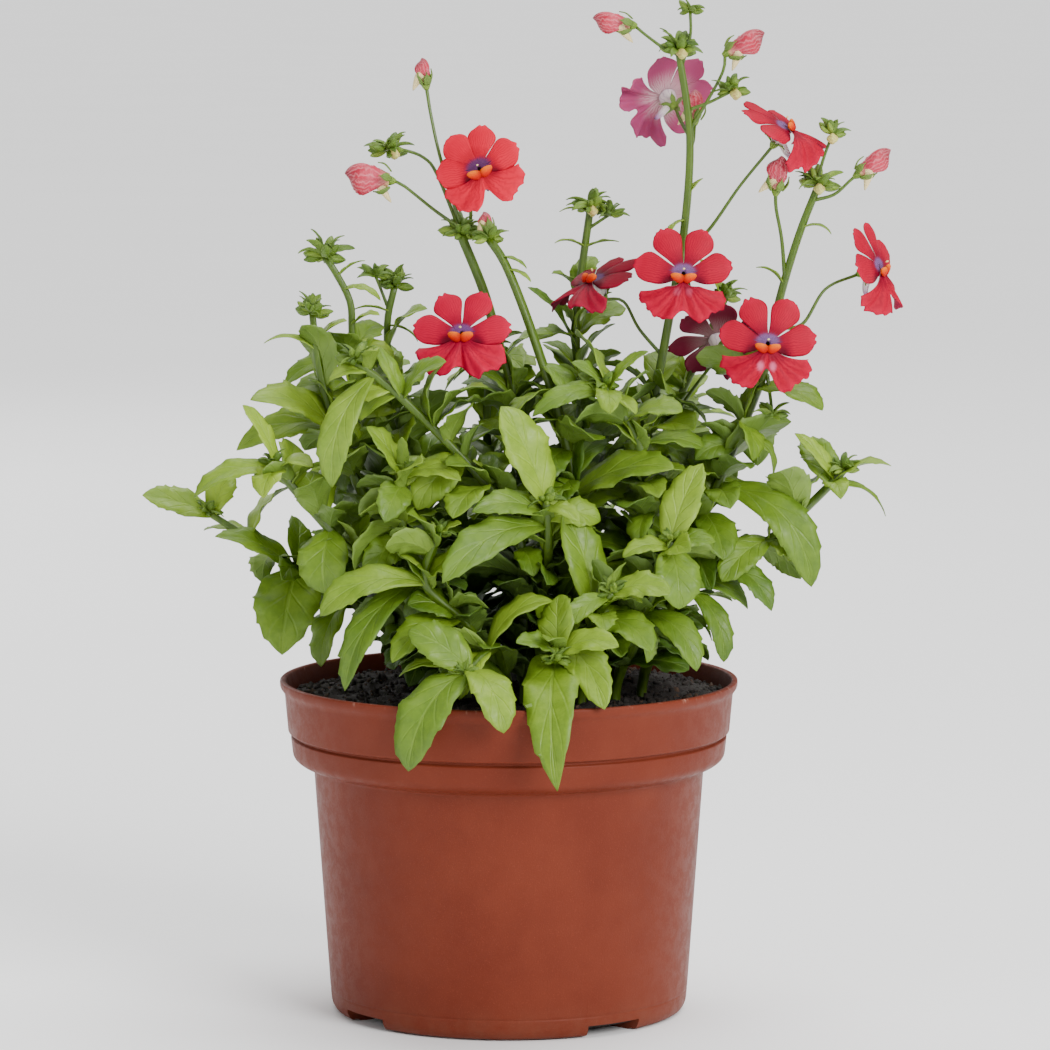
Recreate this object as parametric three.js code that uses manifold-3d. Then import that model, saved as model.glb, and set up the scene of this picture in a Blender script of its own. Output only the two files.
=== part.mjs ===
// A flowering nemesia in a round nursery pot. Millimetres, +Z up, +X to the right of the
// flowering side and -Y towards whoever looks at it. The origin is the middle of the pot's base.

import * as THREE from 'three';
import { mergeVertices } from 'three/addons/utils/BufferGeometryUtils.js';
import Module from 'manifold-3d';

const wasm = await Module();
wasm.setup();

// Driving dimensions

const RIM_RADIUS = 60;
const RIM_HEIGHT = 87.5;
const BASE_RADIUS = 46.7;
const WALL = 1.3;
const FLOOR = 1.8;
const POT_SIDES = 30;
const FOOT_NOTCH = { count: 4, first: -54, halfAngle: 10, height: 3.2, inner: 33 };
const FOOT_PAD = { halfAngle: 13, from: 1.0, to: 4.8, inner: 31, outer: 45.9 };
const DRAIN_HOLE = { radius: 3, ring: 39 };
const FIT = 0.3;
const SOIL_HEIGHT = 83.2;
const SOIL_SECTORS = 16;
const ROOT_HEIGHT = 73;
const LEAF_THICKNESS = 1.0;
const PETAL_THICKNESS = 0.8;
const PETAL_LENGTH = 13;
const STEM_SIDES = 4;
const PEDICEL_RADIUS = 0.6;
const PEDICEL_SIDES = 3;
const PEDICEL_STEP = 12;
const DEGREES = Math.PI / 180;
const TINY = 1e-6;

// Vectors are plain lists of three numbers

const plus = (a, b) => [a[0] + b[0], a[1] + b[1], a[2] + b[2]];
const minus = (a, b) => [a[0] - b[0], a[1] - b[1], a[2] - b[2]];
const times = (a, k) => [a[0] * k, a[1] * k, a[2] * k];
const dot = (a, b) => a[0] * b[0] + a[1] * b[1] + a[2] * b[2];
const cross = (a, b) => [
  a[1] * b[2] - a[2] * b[1],
  a[2] * b[0] - a[0] * b[2],
  a[0] * b[1] - a[1] * b[0],
];
const length = (a) => Math.sqrt(dot(a, a));
const unit = (a) => times(a, 1 / length(a));
const mix = (a, b, t) => plus(times(a, 1 - t), times(b, t));
const blend = (a, b, t) => a + (b - a) * t;

// A seeded draw of numbers from 0 to 1, the same on every run
const DRAW_RANGE = 2 ** 32;

function seededDraw(seed) {
  let state = seed * 7919 + 12345;
  return function draw() {
    state = (state * 1664525 + 1013904223) % DRAW_RANGE;
    return state / DRAW_RANGE;
  };
}

// The plant as a list of stems. Each names its path from the soil up, its radii, its rows of
// paired leaves, the leaves that have a place of their own, its side stalks and its bud clusters.

const stem = (name, base, tip, path, rows, leaves, stalks, clusters) => ({
  name, base, tip, path, rows, leaves, stalks, clusters,
});
const row = (count, low, high, first, last, turn, pitch) => ({
  count, low, high, first, last, turn, pitch,
});
const leaf = (rootX, rootZ, tip, width, lift, roll) => ({ rootX, rootZ, tip, width, lift, roll });
const cluster = (at, count, size) => ({ at, count, size });

const stems = [
  stem('stem_tall_right', 1.7, 0.9,
    [[22, 8, 73], [22, 8, 88], [32, 5, 118], [35.5, 5, 147], [38, 4, 160], [41.5, 2, 180],
      [45.5, 0, 204], [47, 0, 229], [44, 0, 251.5]],
    [row(4, 94, 150, 27, 20, 20, 25)],
    [],
    [[[46.5, 0, 236], [52, 0, 238], [58, 0, 241]],
      [[45, 0, 248], [47, 0, 255], [47, 0, 261.5]]],
    [cluster([44, 0, 251.5], 4, 3.2), cluster([58, 0, 241], 3, 2.8), cluster([47, 0, 261.5], 2, 2.2)]),
  stem('stem_right', 1.7, 0.9,
    [[27, 1, 73], [27, 1, 88], [38, -5, 106], [50, -9, 130], [57, -9, 146], [66, -8, 168],
      [70, -8, 187], [75, -8, 204], [80, -8, 217]],
    [row(4, 94, 146, 26, 18, 80, 20)],
    [leaf(54, 138, [79, -16, 114], 10.5, 0.42, 40), leaf(60, 152, [70, -12, 142], 3.8, 0.5, 20),
      leaf(59, 150, [48, -14, 147], 7, 0.2, 60)],
    [[[67, -8, 168], [68, -11, 160], [68, -12.5, 157.5]],
      [[78.5, -8, 213], [81, -8, 223], [83.5, -8, 230]]],
    [cluster([80, -8, 217], 4, 3.2), cluster([68, -12.5, 157.5], 2, 2.4), cluster([83.5, -8, 230], 2, 2.4)]),
  stem('stem_middle_left', 1.7, 1.1,
    [[5, 1, 73], [5, 1, 88], [4, 0, 118], [3, 0, 147], [1, 0, 164], [-2.5, 0, 175],
      [-6.5, 0, 189], [-12.5, -1, 204]],
    [row(4, 94, 160, 27, 18, 60, 25)],
    [],
    [[[-12, -0.5, 203], [-18.5, 2, 219], [-22, 3, 223.5], [-27, 2, 225.5], [-31, 2, 225.5]]],
    [cluster([-12.5, -1, 204], 4, 3.0), cluster([-31, 2, 225.5], 4, 3.2)]),
  stem('stem_arched', 1.7, 1.0,
    [[14, -8, 73], [14, -8, 88], [18, -12, 120], [16.5, -12, 143], [12.5, -12, 160],
      [9.5, -12, 169], [4, -12, 185], [-1, -10, 197], [-5, -8, 203]],
    [row(4, 94, 150, 26, 17, 10, 20)],
    [leaf(17.5, 137, [41, -24, 148.5], 11.5, 0.12, 65), leaf(9, 170, [17, -18, 161], 6, 0.3, 30)],
    [], []),
  stem('stem_far_left_back', 1.5, 0.9,
    [[-14, 8, 73], [-14, 8, 88], [-28, 6, 123], [-38, 5, 149], [-40.5, 5, 165], [-41, 5, 178],
      [-41.5, 5, 186], [-45.5, 5, 194], [-48, 5, 197.5]],
    [row(4, 94, 160, 27, 17, 95, 20)],
    [leaf(-38, 151, [-72, 3, 148], 9, 0.3, 35), leaf(-40.5, 170, [-60, -1, 166], 6.5, 0.2, 40),
      leaf(-41, 180, [-34, 0, 184], 3, 0.2, 20),
      leaf(-43, 190, [-33, 2, 187], 2.4, 0.3, 20), leaf(-41, 175, [-30, 4, 170], 5, 0.3, 40)],
    [], [cluster([-48, 5, 197.5], 4, 3.4)]),
  stem('stem_left_back', 1.5, 0.9,
    [[-6, 16, 73], [-6, 16, 88], [-18, 14, 117], [-27, 14, 146], [-31, 14, 164], [-32, 14, 179],
      [-30, 14, 189.5]],
    [row(4, 94, 162, 27, 17, 30, 25)],
    [],
    [[[-31.5, 14, 183], [-35, 14, 192]]],
    [cluster([-30, 14, 189.5], 4, 2.8), cluster([-35, 14, 192], 2, 2.6)]),
  stem('stem_left', 1.5, 0.9,
    [[-19, -3, 73], [-19, -3, 88], [-36, -3, 130], [-45.5, -3, 155], [-49.5, -3, 170], [-51, -3, 183.5]],
    [row(3, 96, 140, 25, 18, 85, 20)],
    [leaf(-45, 154, [-65.5, -14, 165], 12, 0.16, 55), leaf(-41, 144, [-53, 2, 131], 8, 0.3, 40),
      leaf(-50, 173, [-64, -4, 177], 2.5, 0.3, 30), leaf(-50, 176, [-42, -6, 182], 4, 0.2, 30)],
    [], [cluster([-51, -3, 183.5], 4, 3.0)]),
  stem('stem_diagonal', 1.6, 1.0,
    [[4, -17, 73], [4, -17, 88], [3, -22, 126], [-6.5, -25, 142], [-27, -25, 163], [-39, -25, 172.5]],
    [row(3, 94, 140, 24, 17, 60, 15)],
    [leaf(-34, 169, [-45, -33, 141], 8.5, 0.3, 30), leaf(-27, 163, [-34, -26, 177], 4, 0.1, 50),
      leaf(-27, 164, [-17, -30, 174.5], 7.5, 0.2, 50), leaf(-29, 166, [-40, -31, 163], 5, 0.2, 50),
      leaf(-12, 148, [-8, -31, 159], 2.6, 0.1, 0), leaf(-36, 171, [-46, -27, 168], 4, 0.3, 40),
      leaf(-36, 171, [-34, -31, 178], 4, 0.2, 30)],
    [], [cluster([-39, -25, 172.5], 4, 3.2)]),
  stem('stem_low_left', 1.5, 1.1,
    [[-12, -10, 73], [-12, -10, 88], [-28, -18, 110], [-46, -22, 129], [-60.5, -22, 146]],
    [row(3, 94, 122, 20, 16, 60, 10)],
    [leaf(-60, 145, [-67, -24, 162], 5.5, 0.1, 40), leaf(-59, 144, [-63.5, -31, 139], 8, 0.25, 20),
      leaf(-60, 145, [-82, -28, 139], 6.5, 0.25, 45), leaf(-46, 129, [-48, -33, 114], 13, 0.25, 0),
      leaf(-60, 145, [-50, -28, 147], 6, 0.3, 30)],
    [], []),
  stem('stem_far_left', 1.3, 0.9,
    [[-22, 6, 73], [-22, 6, 88], [-41, 2, 107], [-57, 2, 117], [-79, 2, 131]],
    [row(2, 93, 106, 20, 18, 75, 20)],
    [leaf(-78, 130, [-95.5, -3, 136], 8, 0.1, 50), leaf(-77, 130, [-72, 5, 141], 7, 0.2, 40),
      leaf(-58, 117, [-75, -8, 128], 8, 0.1, 60), leaf(-56, 116, [-59, -16, 96], 17, 0.22, 10),
      leaf(-62, 120, [-66, 14, 112], 8, 0.3, 20)],
    [], []),
  stem('stem_front_left', 1.5, 1.1,
    [[-6, -24, 73], [-6, -24, 88], [-10, -34, 105], [-21, -38, 117], [-18, -38, 130]],
    [row(2, 92, 104, 19, 16, 0, 15)],
    [leaf(-21, 118, [-49, -44, 111], 8, 0.3, 55), leaf(-19, 127, [-24, -43, 137], 9.5, 0.15, 30),
      leaf(-21, 119, [-27, -41, 125], 3.2, 0.1, 30), leaf(-18, 129, [-12, -41, 133], 4, 0.2, 30),
      leaf(-20, 118, [-10, -44, 124], 8, 0.25, 50), leaf(-13, 108, [-30, -48, 99], 9, 0.25, 40)],
    [], []),
  stem('stem_rim', 1.5, 1.2,
    [[0, -31, 73], [0, -31, 88], [-2, -36, 98], [-4, -42, 101], [-11, -51, 95.5]],
    [],
    [leaf(-11, 95, [-27, -66, 74], 14, 0.25, 10), leaf(-11, 95, [-25, -50, 107], 10, 0.15, 65),
      leaf(-11, 95, [0, -70, 81], 10.5, 0.32, 0), leaf(-10, 96, [1, -63.5, 72], 10, 0.3, 0),
      leaf(-11, 95, [-30, -54, 97], 6, 0.2, 20)],
    [], []),
  stem('stem_rim_right', 1.5, 1.2,
    [[11, -24, 73], [11, -24, 88], [13, -34, 101], [13, -42, 102], [12, -50, 99]],
    [],
    [leaf(12.5, 98, [9.5, -70.5, 72], 13.5, 0.32, 8), leaf(12, 98, [6, -61, 86], 6, 0.3, 20),
      leaf(13, 100, [24, -61, 90], 10, 0.3, 30), leaf(12, 100, [27, -56, 105], 7, 0.2, 60),
      leaf(12, 100, [2, -54, 104], 6, 0.25, 50)],
    [], []),
  stem('stem_right_front', 1.5, 1.1,
    [[19, -18, 73], [19, -18, 88], [21, -32, 105], [26.5, -40, 115]],
    [row(2, 92, 104, 19, 16, 30, 10)],
    [leaf(21.5, 106, [16.5, -34, 135], 11.5, 0.08, 60), leaf(26, 114, [41, -45, 116], 7, 0.3, 60),
      leaf(26.5, 114, [29, -42, 124], 3.4, 0.1, 20), leaf(26, 113, [14, -47, 107], 5, 0.25, 60),
      leaf(22, 107, [37, -49, 103], 10, 0.25, 40)],
    [], [cluster([26.5, -40, 115], 3, 2.2)]),
  stem('stem_right_shoulder', 1.5, 1.1,
    [[28, -17, 73], [28, -17, 88], [34, -25, 106], [42, -30, 127]],
    [row(2, 93, 112, 20, 17, 45, 10)],
    [leaf(42, 126, [49.5, -26, 147], 10, 0.1, 45), leaf(42, 125, [44, -41, 111], 11.5, 0.25, 0),
      leaf(42, 126, [29, -36, 125], 5, 0.2, 50), leaf(35, 108, [49, -38, 95], 8.5, 0.35, 30),
      leaf(42, 126, [53, -34, 128], 5, 0.2, 50)],
    [], [cluster([42, -30, 127], 3, 2.2)]),
  stem('stem_centre', 1.5, 1.1,
    [[6, -9, 73], [6, -9, 88], [10, -26, 122], [9.5, -32, 137.5]],
    [row(3, 94, 126, 22, 17, 30, 15)],
    [leaf(9.5, 136, [-1.5, -34, 162], 12.5, 0.1, 60), leaf(9.5, 136, [14, -28, 162.5], 7, 0.1, 50),
      leaf(9.5, 135, [18, -39, 134], 4, 0.2, 50), leaf(9.5, 131, [-18, -44, 119], 11, 0.25, 50),
      leaf(10, 134, [-9, -40, 136], 7, 0.25, 50), leaf(10, 128, [26, -42, 130], 7, 0.2, 45)],
    [], [cluster([9.5, -32, 137.5], 4, 2.4)]),
  stem('stem_low_right', 1.5, 1.0,
    [[35, -9, 73], [35, -9, 88], [41, -15, 106], [50, -18, 117], [67.5, -14, 125.5],
      [83.5, -10, 139.5], [87, -10, 143.5]],
    [row(2, 93, 108, 20, 16, 80, 10)],
    [leaf(67, 125, [55, -25, 116.5], 8.5, 0.2, 50), leaf(68, 126, [76, -23, 120], 8.5, 0.3, 30),
      leaf(68, 126, [69, -17, 134], 2.8, 0.1, 0), leaf(85, 141, [75, -12, 153.5], 4.2, 0.1, 50),
      leaf(84, 140, [99, -8, 131.5], 2.6, 0.35, 30), leaf(46, 114, [56, -26, 95], 6, 0.35, 30),
      leaf(56, 119, [68, -22, 108], 7, 0.3, 40)],
    [], [cluster([87, -10, 143.5], 3, 2.4)]),
  stem('stem_centre_right', 1.5, 1.0,
    [[22, -9, 73], [22, -9, 88], [31, -15, 109], [36, -18, 131], [34, -18, 150], [24.5, -18, 166]],
    [row(4, 94, 150, 23, 15, 70, 20)],
    [leaf(25, 164, [6, -22, 159], 5.5, 0.25, 50), leaf(25, 164, [35, -21, 176], 4.5, 0.15, 40),
      leaf(26, 164, [17, -21, 173], 4, 0.15, 40), leaf(26, 162, [33, -26, 160], 4, 0.2, 30)],
    [], [cluster([24.5, -18, 166], 3, 2.6)]),
  stem('stem_middle_back', 1.5, 0.9,
    [[12, 14, 73], [12, 14, 88], [19, 18, 130], [19, 18, 159], [17.5, 18, 177], [19, 18, 192],
      [21.5, 18, 210]],
    [row(5, 94, 176, 27, 15, 15, 25)],
    [leaf(18, 172, [8, 10, 191], 6, 0.1, 40)],
    [[[20.5, 18, 204], [26.5, 17, 208]]],
    [cluster([21.5, 18, 210], 4, 3.0), cluster([26.5, 17, 208], 2, 2.4)]),
  stem('stem_behind', 1.5, 1.0,
    [[29, 13, 73], [29, 13, 88], [36, 13, 118], [40, 14, 144], [44, 17.5, 157], [50, 19, 170],
      [57, 18, 186]],
    [row(4, 94, 152, 27, 16, 60, 25)],
    [leaf(55, 182, [51.5, 17, 197], 7.5, 0.2, 20)],
    [], [cluster([57, 18, 186], 4, 2.6)]),
  stem('stem_upright', 1.5, 1.1,
    [[-8, -17, 73], [-8, -17, 88], [-20, -25, 111], [-27, -28, 129], [-27, -28, 145]],
    [row(3, 94, 132, 20, 15, 30, 10)],
    [leaf(-27, 145, [-35.5, -31, 157], 8, 0.1, 50), leaf(-27, 145, [-12, -34, 143], 5.5, 0.35, 40),
      leaf(-27, 145, [-27, -29, 155], 2.6, 0.1, 0), leaf(-22, 116, [-44, -46, 92], 9, 0.25, 20),
      leaf(-26, 126, [-37, -38, 121], 8, 0.2, 50)],
    [], []),
  stem('stem_back_1', 1.5, 1.0,
    [[-16, 18, 73], [-16, 18, 88], [-30, 28, 115], [-38, 34, 140], [-38, 34, 160]],
    [row(4, 94, 154, 27, 17, 10, 20)], [], [], [cluster([-38, 34, 160], 4, 2.8)]),
  stem('stem_back_2', 1.5, 1.0,
    [[3, 24, 73], [3, 24, 88], [-3, 38, 118], [-6, 44, 146], [-5, 44, 170]],
    [row(4, 94, 162, 27, 17, 50, 20)], [], [], [cluster([-5, 44, 170], 4, 2.8)]),
  stem('stem_back_3', 1.5, 1.0,
    [[20, 25, 73], [20, 25, 88], [34, 34, 114], [42, 38, 138], [46, 38, 156]],
    [row(4, 94, 150, 27, 17, 85, 20)], [], [], [cluster([46, 38, 156], 3, 2.6)]),
  stem('stem_back_4', 1.4, 1.0,
    [[-5, 30, 73], [-5, 30, 88], [-18, 48, 104], [-24, 58, 118]],
    [row(3, 94, 117, 23, 18, 20, 10)], [], [], []),
  stem('stem_back_5', 1.4, 1.0,
    [[13, 33, 73], [13, 33, 88], [20, 48, 106], [24, 56, 122]],
    [row(3, 94, 121, 23, 18, 60, 10)], [], [], []),
];

// Each bloom: the stem that bears it, its throat, the way it faces, the way its upper petals
// point, its size as a share of the full size, and the bends of its stalk from the stem on
const blooms = [
  { on: 'stem_middle_left', at: [-7.5, -14, 221.5], face: [-0.1, -0.95, 0.15], up: [-0.34, 0, 0.94],
    size: 0.88, stalk: [[-10, 0, 203], [-9.5, -3, 213]] },
  { on: 'stem_middle_left', at: [-12, -16, 179], face: [-0.15, -0.9, 0.45], up: [0.05, 0.4, 0.9],
    size: 1, stalk: [[-1.5, 0, 172], [-5, -3, 175]] },
  { on: 'stem_tall_right', at: [45, -15, 194.5], face: [0.02, -0.97, 0.25], up: [0.03, 0, 1],
    size: 1, stalk: [[43.5, 1, 191], [44, -3, 192]] },
  { on: 'stem_right', at: [66.5, -21, 177], face: [0.02, -0.98, 0.18], up: [0.06, 0, 1],
    size: 1, stalk: [[68, -8, 175], [67.5, -10.5, 175.5]] },
  { on: 'stem_right', at: [95.5, -6, 195.5], face: [0.85, -0.38, 0.32], up: [-0.36, 0, 0.93],
    size: 1, stalk: [[69, -8, 180], [76, -8, 181], [82, -7, 190]] },
  { on: 'stem_tall_right', at: [71, -6.5, 231.5], face: [0.5, -0.24, 0.83], up: [-0.84, 0, 0.54],
    size: 1, stalk: [[45.5, 0, 201], [51.5, -1, 204.5], [60, -2, 216.5]] },
  { on: 'stem_tall_right', at: [22.5, 1, 191.5], face: [-0.45, -0.25, 0.86], up: [0.75, 0.45, 0.5],
    size: 1, stalk: [[40, 3, 172], [34, 3, 179], [30, 4, 186]] },
  { on: 'stem_tall_right', at: [41.5, 14.5, 239], face: [-0.35, 0.78, 0.45], up: [0.85, 0.1, 0.45],
    size: 1, stalk: [[47, 0, 229], [44.5, 5, 233.5]] },
  { on: 'stem_behind', at: [54.5, 5, 176], face: [-0.1, 0.72, 0.6], up: [-0.9, 0, 0.4],
    size: 1, stalk: [[42, 15.5, 151], [47, 7, 161]] },
];

// Each coloured bud: the stem that bears it, its calyx end, its tip, its radius and its stalk
const buds = [
  { on: 'stem_middle_left', from: [-31, -4, 218], to: [-41.5, -5, 219.5], radius: 3.8,
    stalk: [[-12, 0, 205], [-19, -2, 210], [-27, -4, 216.5]] },
  { on: 'stem_tall_right', from: [31.5, 0, 258], to: [22.5, -1, 259.5], radius: 2.6,
    stalk: [[44, 0, 251], [41, 0, 251.5], [36, 0, 255]] },
  { on: 'stem_tall_right', from: [57, 0, 251], to: [65.5, -2, 255.5], radius: 2.9,
    stalk: [[47, 0, 231], [51.3, 0, 238], [55.5, 0, 246]] },
  { on: 'stem_right', from: [69, -10, 216], to: [70, -11, 224], radius: 2.6,
    stalk: [[71.5, -8, 192], [70.5, -9.5, 203], [69, -10, 211]] },
  { on: 'stem_right', from: [90.5, -8, 220], to: [98, -9, 225.5], radius: 2.6,
    stalk: [[78.5, -8, 213], [84, -8, 214.5], [88, -8, 218]] },
  { on: 'stem_arched', from: [-5, -6, 204.8], to: [-6.5, -5, 209.5], radius: 1.7,
    stalk: [[-3, -9, 201], [-4.5, -7.5, 203]] },
  { on: 'stem_middle_left', from: [-21.5, 0, 243], to: [-22.5, -1, 249], radius: 1.8,
    stalk: [[-12.5, 0, 206], [-17.5, -2, 223], [-20, -1, 234]] },
  { on: 'stem_tall_right', from: [48.4, 6, 233.5], to: [48.2, 6.4, 240.5], radius: 2.6,
    stalk: [[46.8, 0, 226], [48, 3, 228]] },
];

// Solids from lists of cross-sections. A section is a list of points, counter-clockwise as seen
// against the way of travel, or a single point.

function solidOf(points, faces) {
  const mesh = new wasm.Mesh({
    numProp: 3,
    vertProperties: new Float32Array(points.flat()),
    triVerts: new Uint32Array(faces.flat()),
  });
  return new wasm.Manifold(mesh);
}

function loft(sections, alternate = false) {
  const points = [];
  const faces = [];
  const starts = [];
  for (const section of sections) {
    starts.push(points.length);
    points.push(...section);
  }
  for (let i = 0; i + 1 < sections.length; i += 1) {
    const a = starts[i];
    const b = starts[i + 1];
    const sides = Math.max(sections[i].length, sections[i + 1].length);
    for (let j = 0; j < sides; j += 1) {
      const k = (j + 1) % sides;
      if (sections[i].length === 1) {
        faces.push([a, b + k, b + j]);
      } else if (sections[i + 1].length === 1) {
        faces.push([a + j, a + k, b]);
      } else if (alternate && j % 2 === 0) {
        faces.push([a + j, a + k, b + j], [a + k, b + k, b + j]);
      } else {
        faces.push([a + j, a + k, b + k], [a + j, b + k, b + j]);
      }
    }
  }
  for (let j = 1; j + 1 < sections[0].length; j += 1) {
    faces.push([0, j + 1, j]);
  }
  const last = starts[starts.length - 1];
  for (let j = 1; j + 1 < sections[sections.length - 1].length; j += 1) {
    faces.push([last, last + j, last + j + 1]);
  }
  return solidOf(points, faces);
}

function unite(solids) {
  return solids.reduce((whole, next) => whole.add(next));
}

// Two directions square to an axis, the second turned a quarter from the first
function acrossAxis(axis) {
  const guide = Math.abs(axis[2]) > 0.9 ? [1, 0, 0] : [0, 0, 1];
  const first = unit(cross(guide, axis));
  return [first, cross(axis, first)];
}

function ring(centre, first, second, radius, sides) {
  const points = [];
  for (let i = 0; i < sides; i += 1) {
    const angle = (i / sides) * 2 * Math.PI;
    const outward = plus(times(first, Math.cos(angle)), times(second, Math.sin(angle)));
    points.push(plus(centre, times(outward, radius)));
  }
  return points;
}

// A tapering rod along a list of points, its sections carried along without twist from the
// direction given for its first corner
function rod(points, fromRadius, toRadius, sides, corner = [1, 0, 0]) {
  const sections = [];
  let first = corner;
  for (let i = 0; i < points.length; i += 1) {
    const before = points[Math.max(i - 1, 0)];
    const after = points[Math.min(i + 1, points.length - 1)];
    const axis = unit(minus(after, before));
    first = unit(minus(first, times(axis, dot(first, axis))));
    const radius = blend(fromRadius, toRadius, i / (points.length - 1));
    sections.push(ring(points[i], first, cross(axis, first), radius, sides));
  }
  return loft(sections);
}

// A spindle between two points, its widest place given as a share of the way
function spindle(from, to, radius, sides, widest = 0.45) {
  const axis = unit(minus(to, from));
  const [first, second] = acrossAxis(axis);
  return loft([
    [from],
    ring(mix(from, to, widest * 0.45), first, second, radius * 0.8, sides),
    ring(mix(from, to, widest + 0.15), first, second, radius, sides),
    [to],
  ]);
}

function bipyramid(from, to, radius, widest, sides) {
  const [first, second] = acrossAxis(unit(minus(to, from)));
  return loft([[from], ring(mix(from, to, widest), first, second, radius, sides), [to]]);
}

function spike(from, to, radius, sides) {
  const axis = unit(minus(to, from));
  const [first, second] = acrossAxis(axis);
  return loft([ring(from, first, second, radius, sides), [to]]);
}

// A point on a smooth curve through the listed points, and the whole curve in even steps

function curvePoint(points, index, t) {
  const p1 = points[index];
  const p2 = points[index + 1];
  const p0 = index > 0 ? points[index - 1] : minus(times(p1, 2), p2);
  const p3 = index + 2 < points.length ? points[index + 2] : minus(times(p2, 2), p1);
  const out = [];
  for (let c = 0; c < 3; c += 1) {
    const a = 2 * p1[c];
    const b = p2[c] - p0[c];
    const d = 2 * p0[c] - 5 * p1[c] + 4 * p2[c] - p3[c];
    const e = 3 * p1[c] - p0[c] - 3 * p2[c] + p3[c];
    out.push(0.5 * (a + b * t + d * t * t + e * t * t * t));
  }
  return out;
}

function smoothCurve(points, step) {
  const curve = [points[0]];
  for (let i = 0; i + 1 < points.length; i += 1) {
    const pieces = Math.max(1, Math.round(length(minus(points[i + 1], points[i])) / step));
    for (let j = 1; j <= pieces; j += 1) {
      curve.push(curvePoint(points, i, j / pieces));
    }
  }
  return curve;
}

// Points in even steps along the straight stretches between the listed points
function straightSteps(points, step) {
  const steps = [points[0]];
  for (let i = 0; i + 1 < points.length; i += 1) {
    const pieces = Math.ceil(length(minus(points[i + 1], points[i])) / step);
    for (let j = 1; j <= pieces; j += 1) {
      steps.push(mix(points[i], points[i + 1], j / pieces));
    }
  }
  return steps;
}

// Blades: leaves and petals. A blade runs on an arch from its root to its tip.

const LEAF_LARGE = [[0, 0], [0.22, 0.58], [0.44, 1], [0.5, 0.84], [0.74, 0.64], [1, 0]];
const LEAF_MEDIUM = [[0, 0], [0.28, 0.66], [0.5, 1], [0.58, 0.78], [1, 0]];
const LEAF_SMALL = [[0, 0], [0.38, 1], [0.62, 0.78], [1, 0]];
const LEAF_NARROW = [[0, 0], [0.4, 1], [1, 0]];
const LEAF_FOLD = 0.22;
const ROW_LEAF = { width: 0.6, lift: 0.24, turnSpread: 30, pitchSpread: 40, rollSpread: 70 };
const ROW_LEAF_SIZES = { least: 0.88, spread: 0.24 };
const LARGE_LEAF = 22;
const MEDIUM_LEAF = 17;
const NARROW_LEAF = 4.1;

function leafFrame(blade) {
  const run = minus(blade.tip, blade.root);
  const size = length(run);
  const flat = Math.sqrt(run[0] * run[0] + run[1] * run[1]) + TINY;
  const heading = [run[0] / flat, run[1] / flat, 0];
  const rise = run[2] / size;
  const level = flat / size;
  const upward = [-rise * heading[0], -rise * heading[1], level];
  const control = plus(mix(blade.root, blade.tip, 0.5), times(upward, blade.lift * size));
  return { heading, control, size };
}

// The middle of a leaf, its way across and its upper side at a share s of its length
function leafStation(blade, frame, s) {
  const near = mix(blade.root, frame.control, s);
  const far = mix(frame.control, blade.tip, s);
  const middle = mix(near, far, s);
  const along = unit(minus(far, near));
  const level = dot(along, frame.heading);
  const h = frame.heading;
  const face = [-along[2] * h[0], -along[2] * h[1], level];
  const side = cross(face, along);
  const roll = blade.roll * DEGREES;
  const across = plus(times(side, Math.cos(roll)), times(face, Math.sin(roll)));
  const upper = minus(times(face, Math.cos(roll)), times(side, Math.sin(roll)));
  return { middle, across, upper };
}

function leafOutline(blade, size) {
  if (blade.width < NARROW_LEAF) {
    return LEAF_NARROW;
  }
  if (size < MEDIUM_LEAF) {
    return LEAF_SMALL;
  }
  return size < LARGE_LEAF ? LEAF_MEDIUM : LEAF_LARGE;
}

function bladeSection(middle, across, upper, half) {
  const edge = times(upper, LEAF_FOLD * half);
  return [
    plus(minus(middle, times(across, half)), edge),
    minus(middle, times(upper, LEAF_THICKNESS / 2)),
    plus(plus(middle, times(across, half)), edge),
    plus(middle, times(upper, LEAF_THICKNESS / 2)),
  ];
}

function leafSolid(blade) {
  const frame = leafFrame(blade);
  const sections = leafOutline(blade, frame.size).map(([s, share]) => {
    const { middle, across, upper } = leafStation(blade, frame, s);
    if (share === 0) {
      return [middle];
    }
    return bladeSection(middle, across, upper, (blade.width / 2) * share);
  });
  return loft(sections, true);
}

// Room kept between the nodes. Every piece leaves samples, each a point with a radius, in a
// grid of cells, and a leaf is taken only where its own samples stay clear of other stems' ones.

const CELL = 4;
const LEAF_SAMPLE = 0.7;
const CLEARANCE = 0.8;
const JOINED_REACH = 5;
const ROOT_REACH = 2;
const RIM_CLEARANCE = { outward: 1.8, above: 2 };
const CELL_SHIFT = 100;
const CELL_SPAN = 1024;
const cells = new Map();

function cellKey(i, j, k) {
  return (i * CELL_SPAN + j) * CELL_SPAN + k;
}

function cellOf(point) {
  return point.map((value) => Math.floor(value / CELL) + CELL_SHIFT);
}

function keepSample(point, radius, owner, joins = true) {
  const key = cellKey(...cellOf(point));
  if (!cells.has(key)) {
    cells.set(key, []);
  }
  cells.get(key).push({ point, radius, owner, joins });
}

function isClear(point, radius, owner, joins) {
  const [i, j, k] = cellOf(point);
  for (let a = i - 1; a <= i + 1; a += 1) {
    for (let b = j - 1; b <= j + 1; b += 1) {
      for (let c = k - 1; c <= k + 1; c += 1) {
        const found = cells.get(cellKey(a, b, c));
        if (found === undefined) {
          continue;
        }
        for (const other of found) {
          const gap = length(minus(point, other.point)) - radius - other.radius;
          const own = other.owner === owner;
          if ((!own && gap < CLEARANCE) || (own && !joins && !other.joins && gap < 0)) {
            return false;
          }
        }
      }
    }
  }
  const outward = Math.sqrt(point[0] * point[0] + point[1] * point[1]);
  const beyond = outward > RIM_RADIUS + RIM_CLEARANCE.outward;
  return beyond || point[2] > RIM_HEIGHT + RIM_CLEARANCE.above;
}

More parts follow.
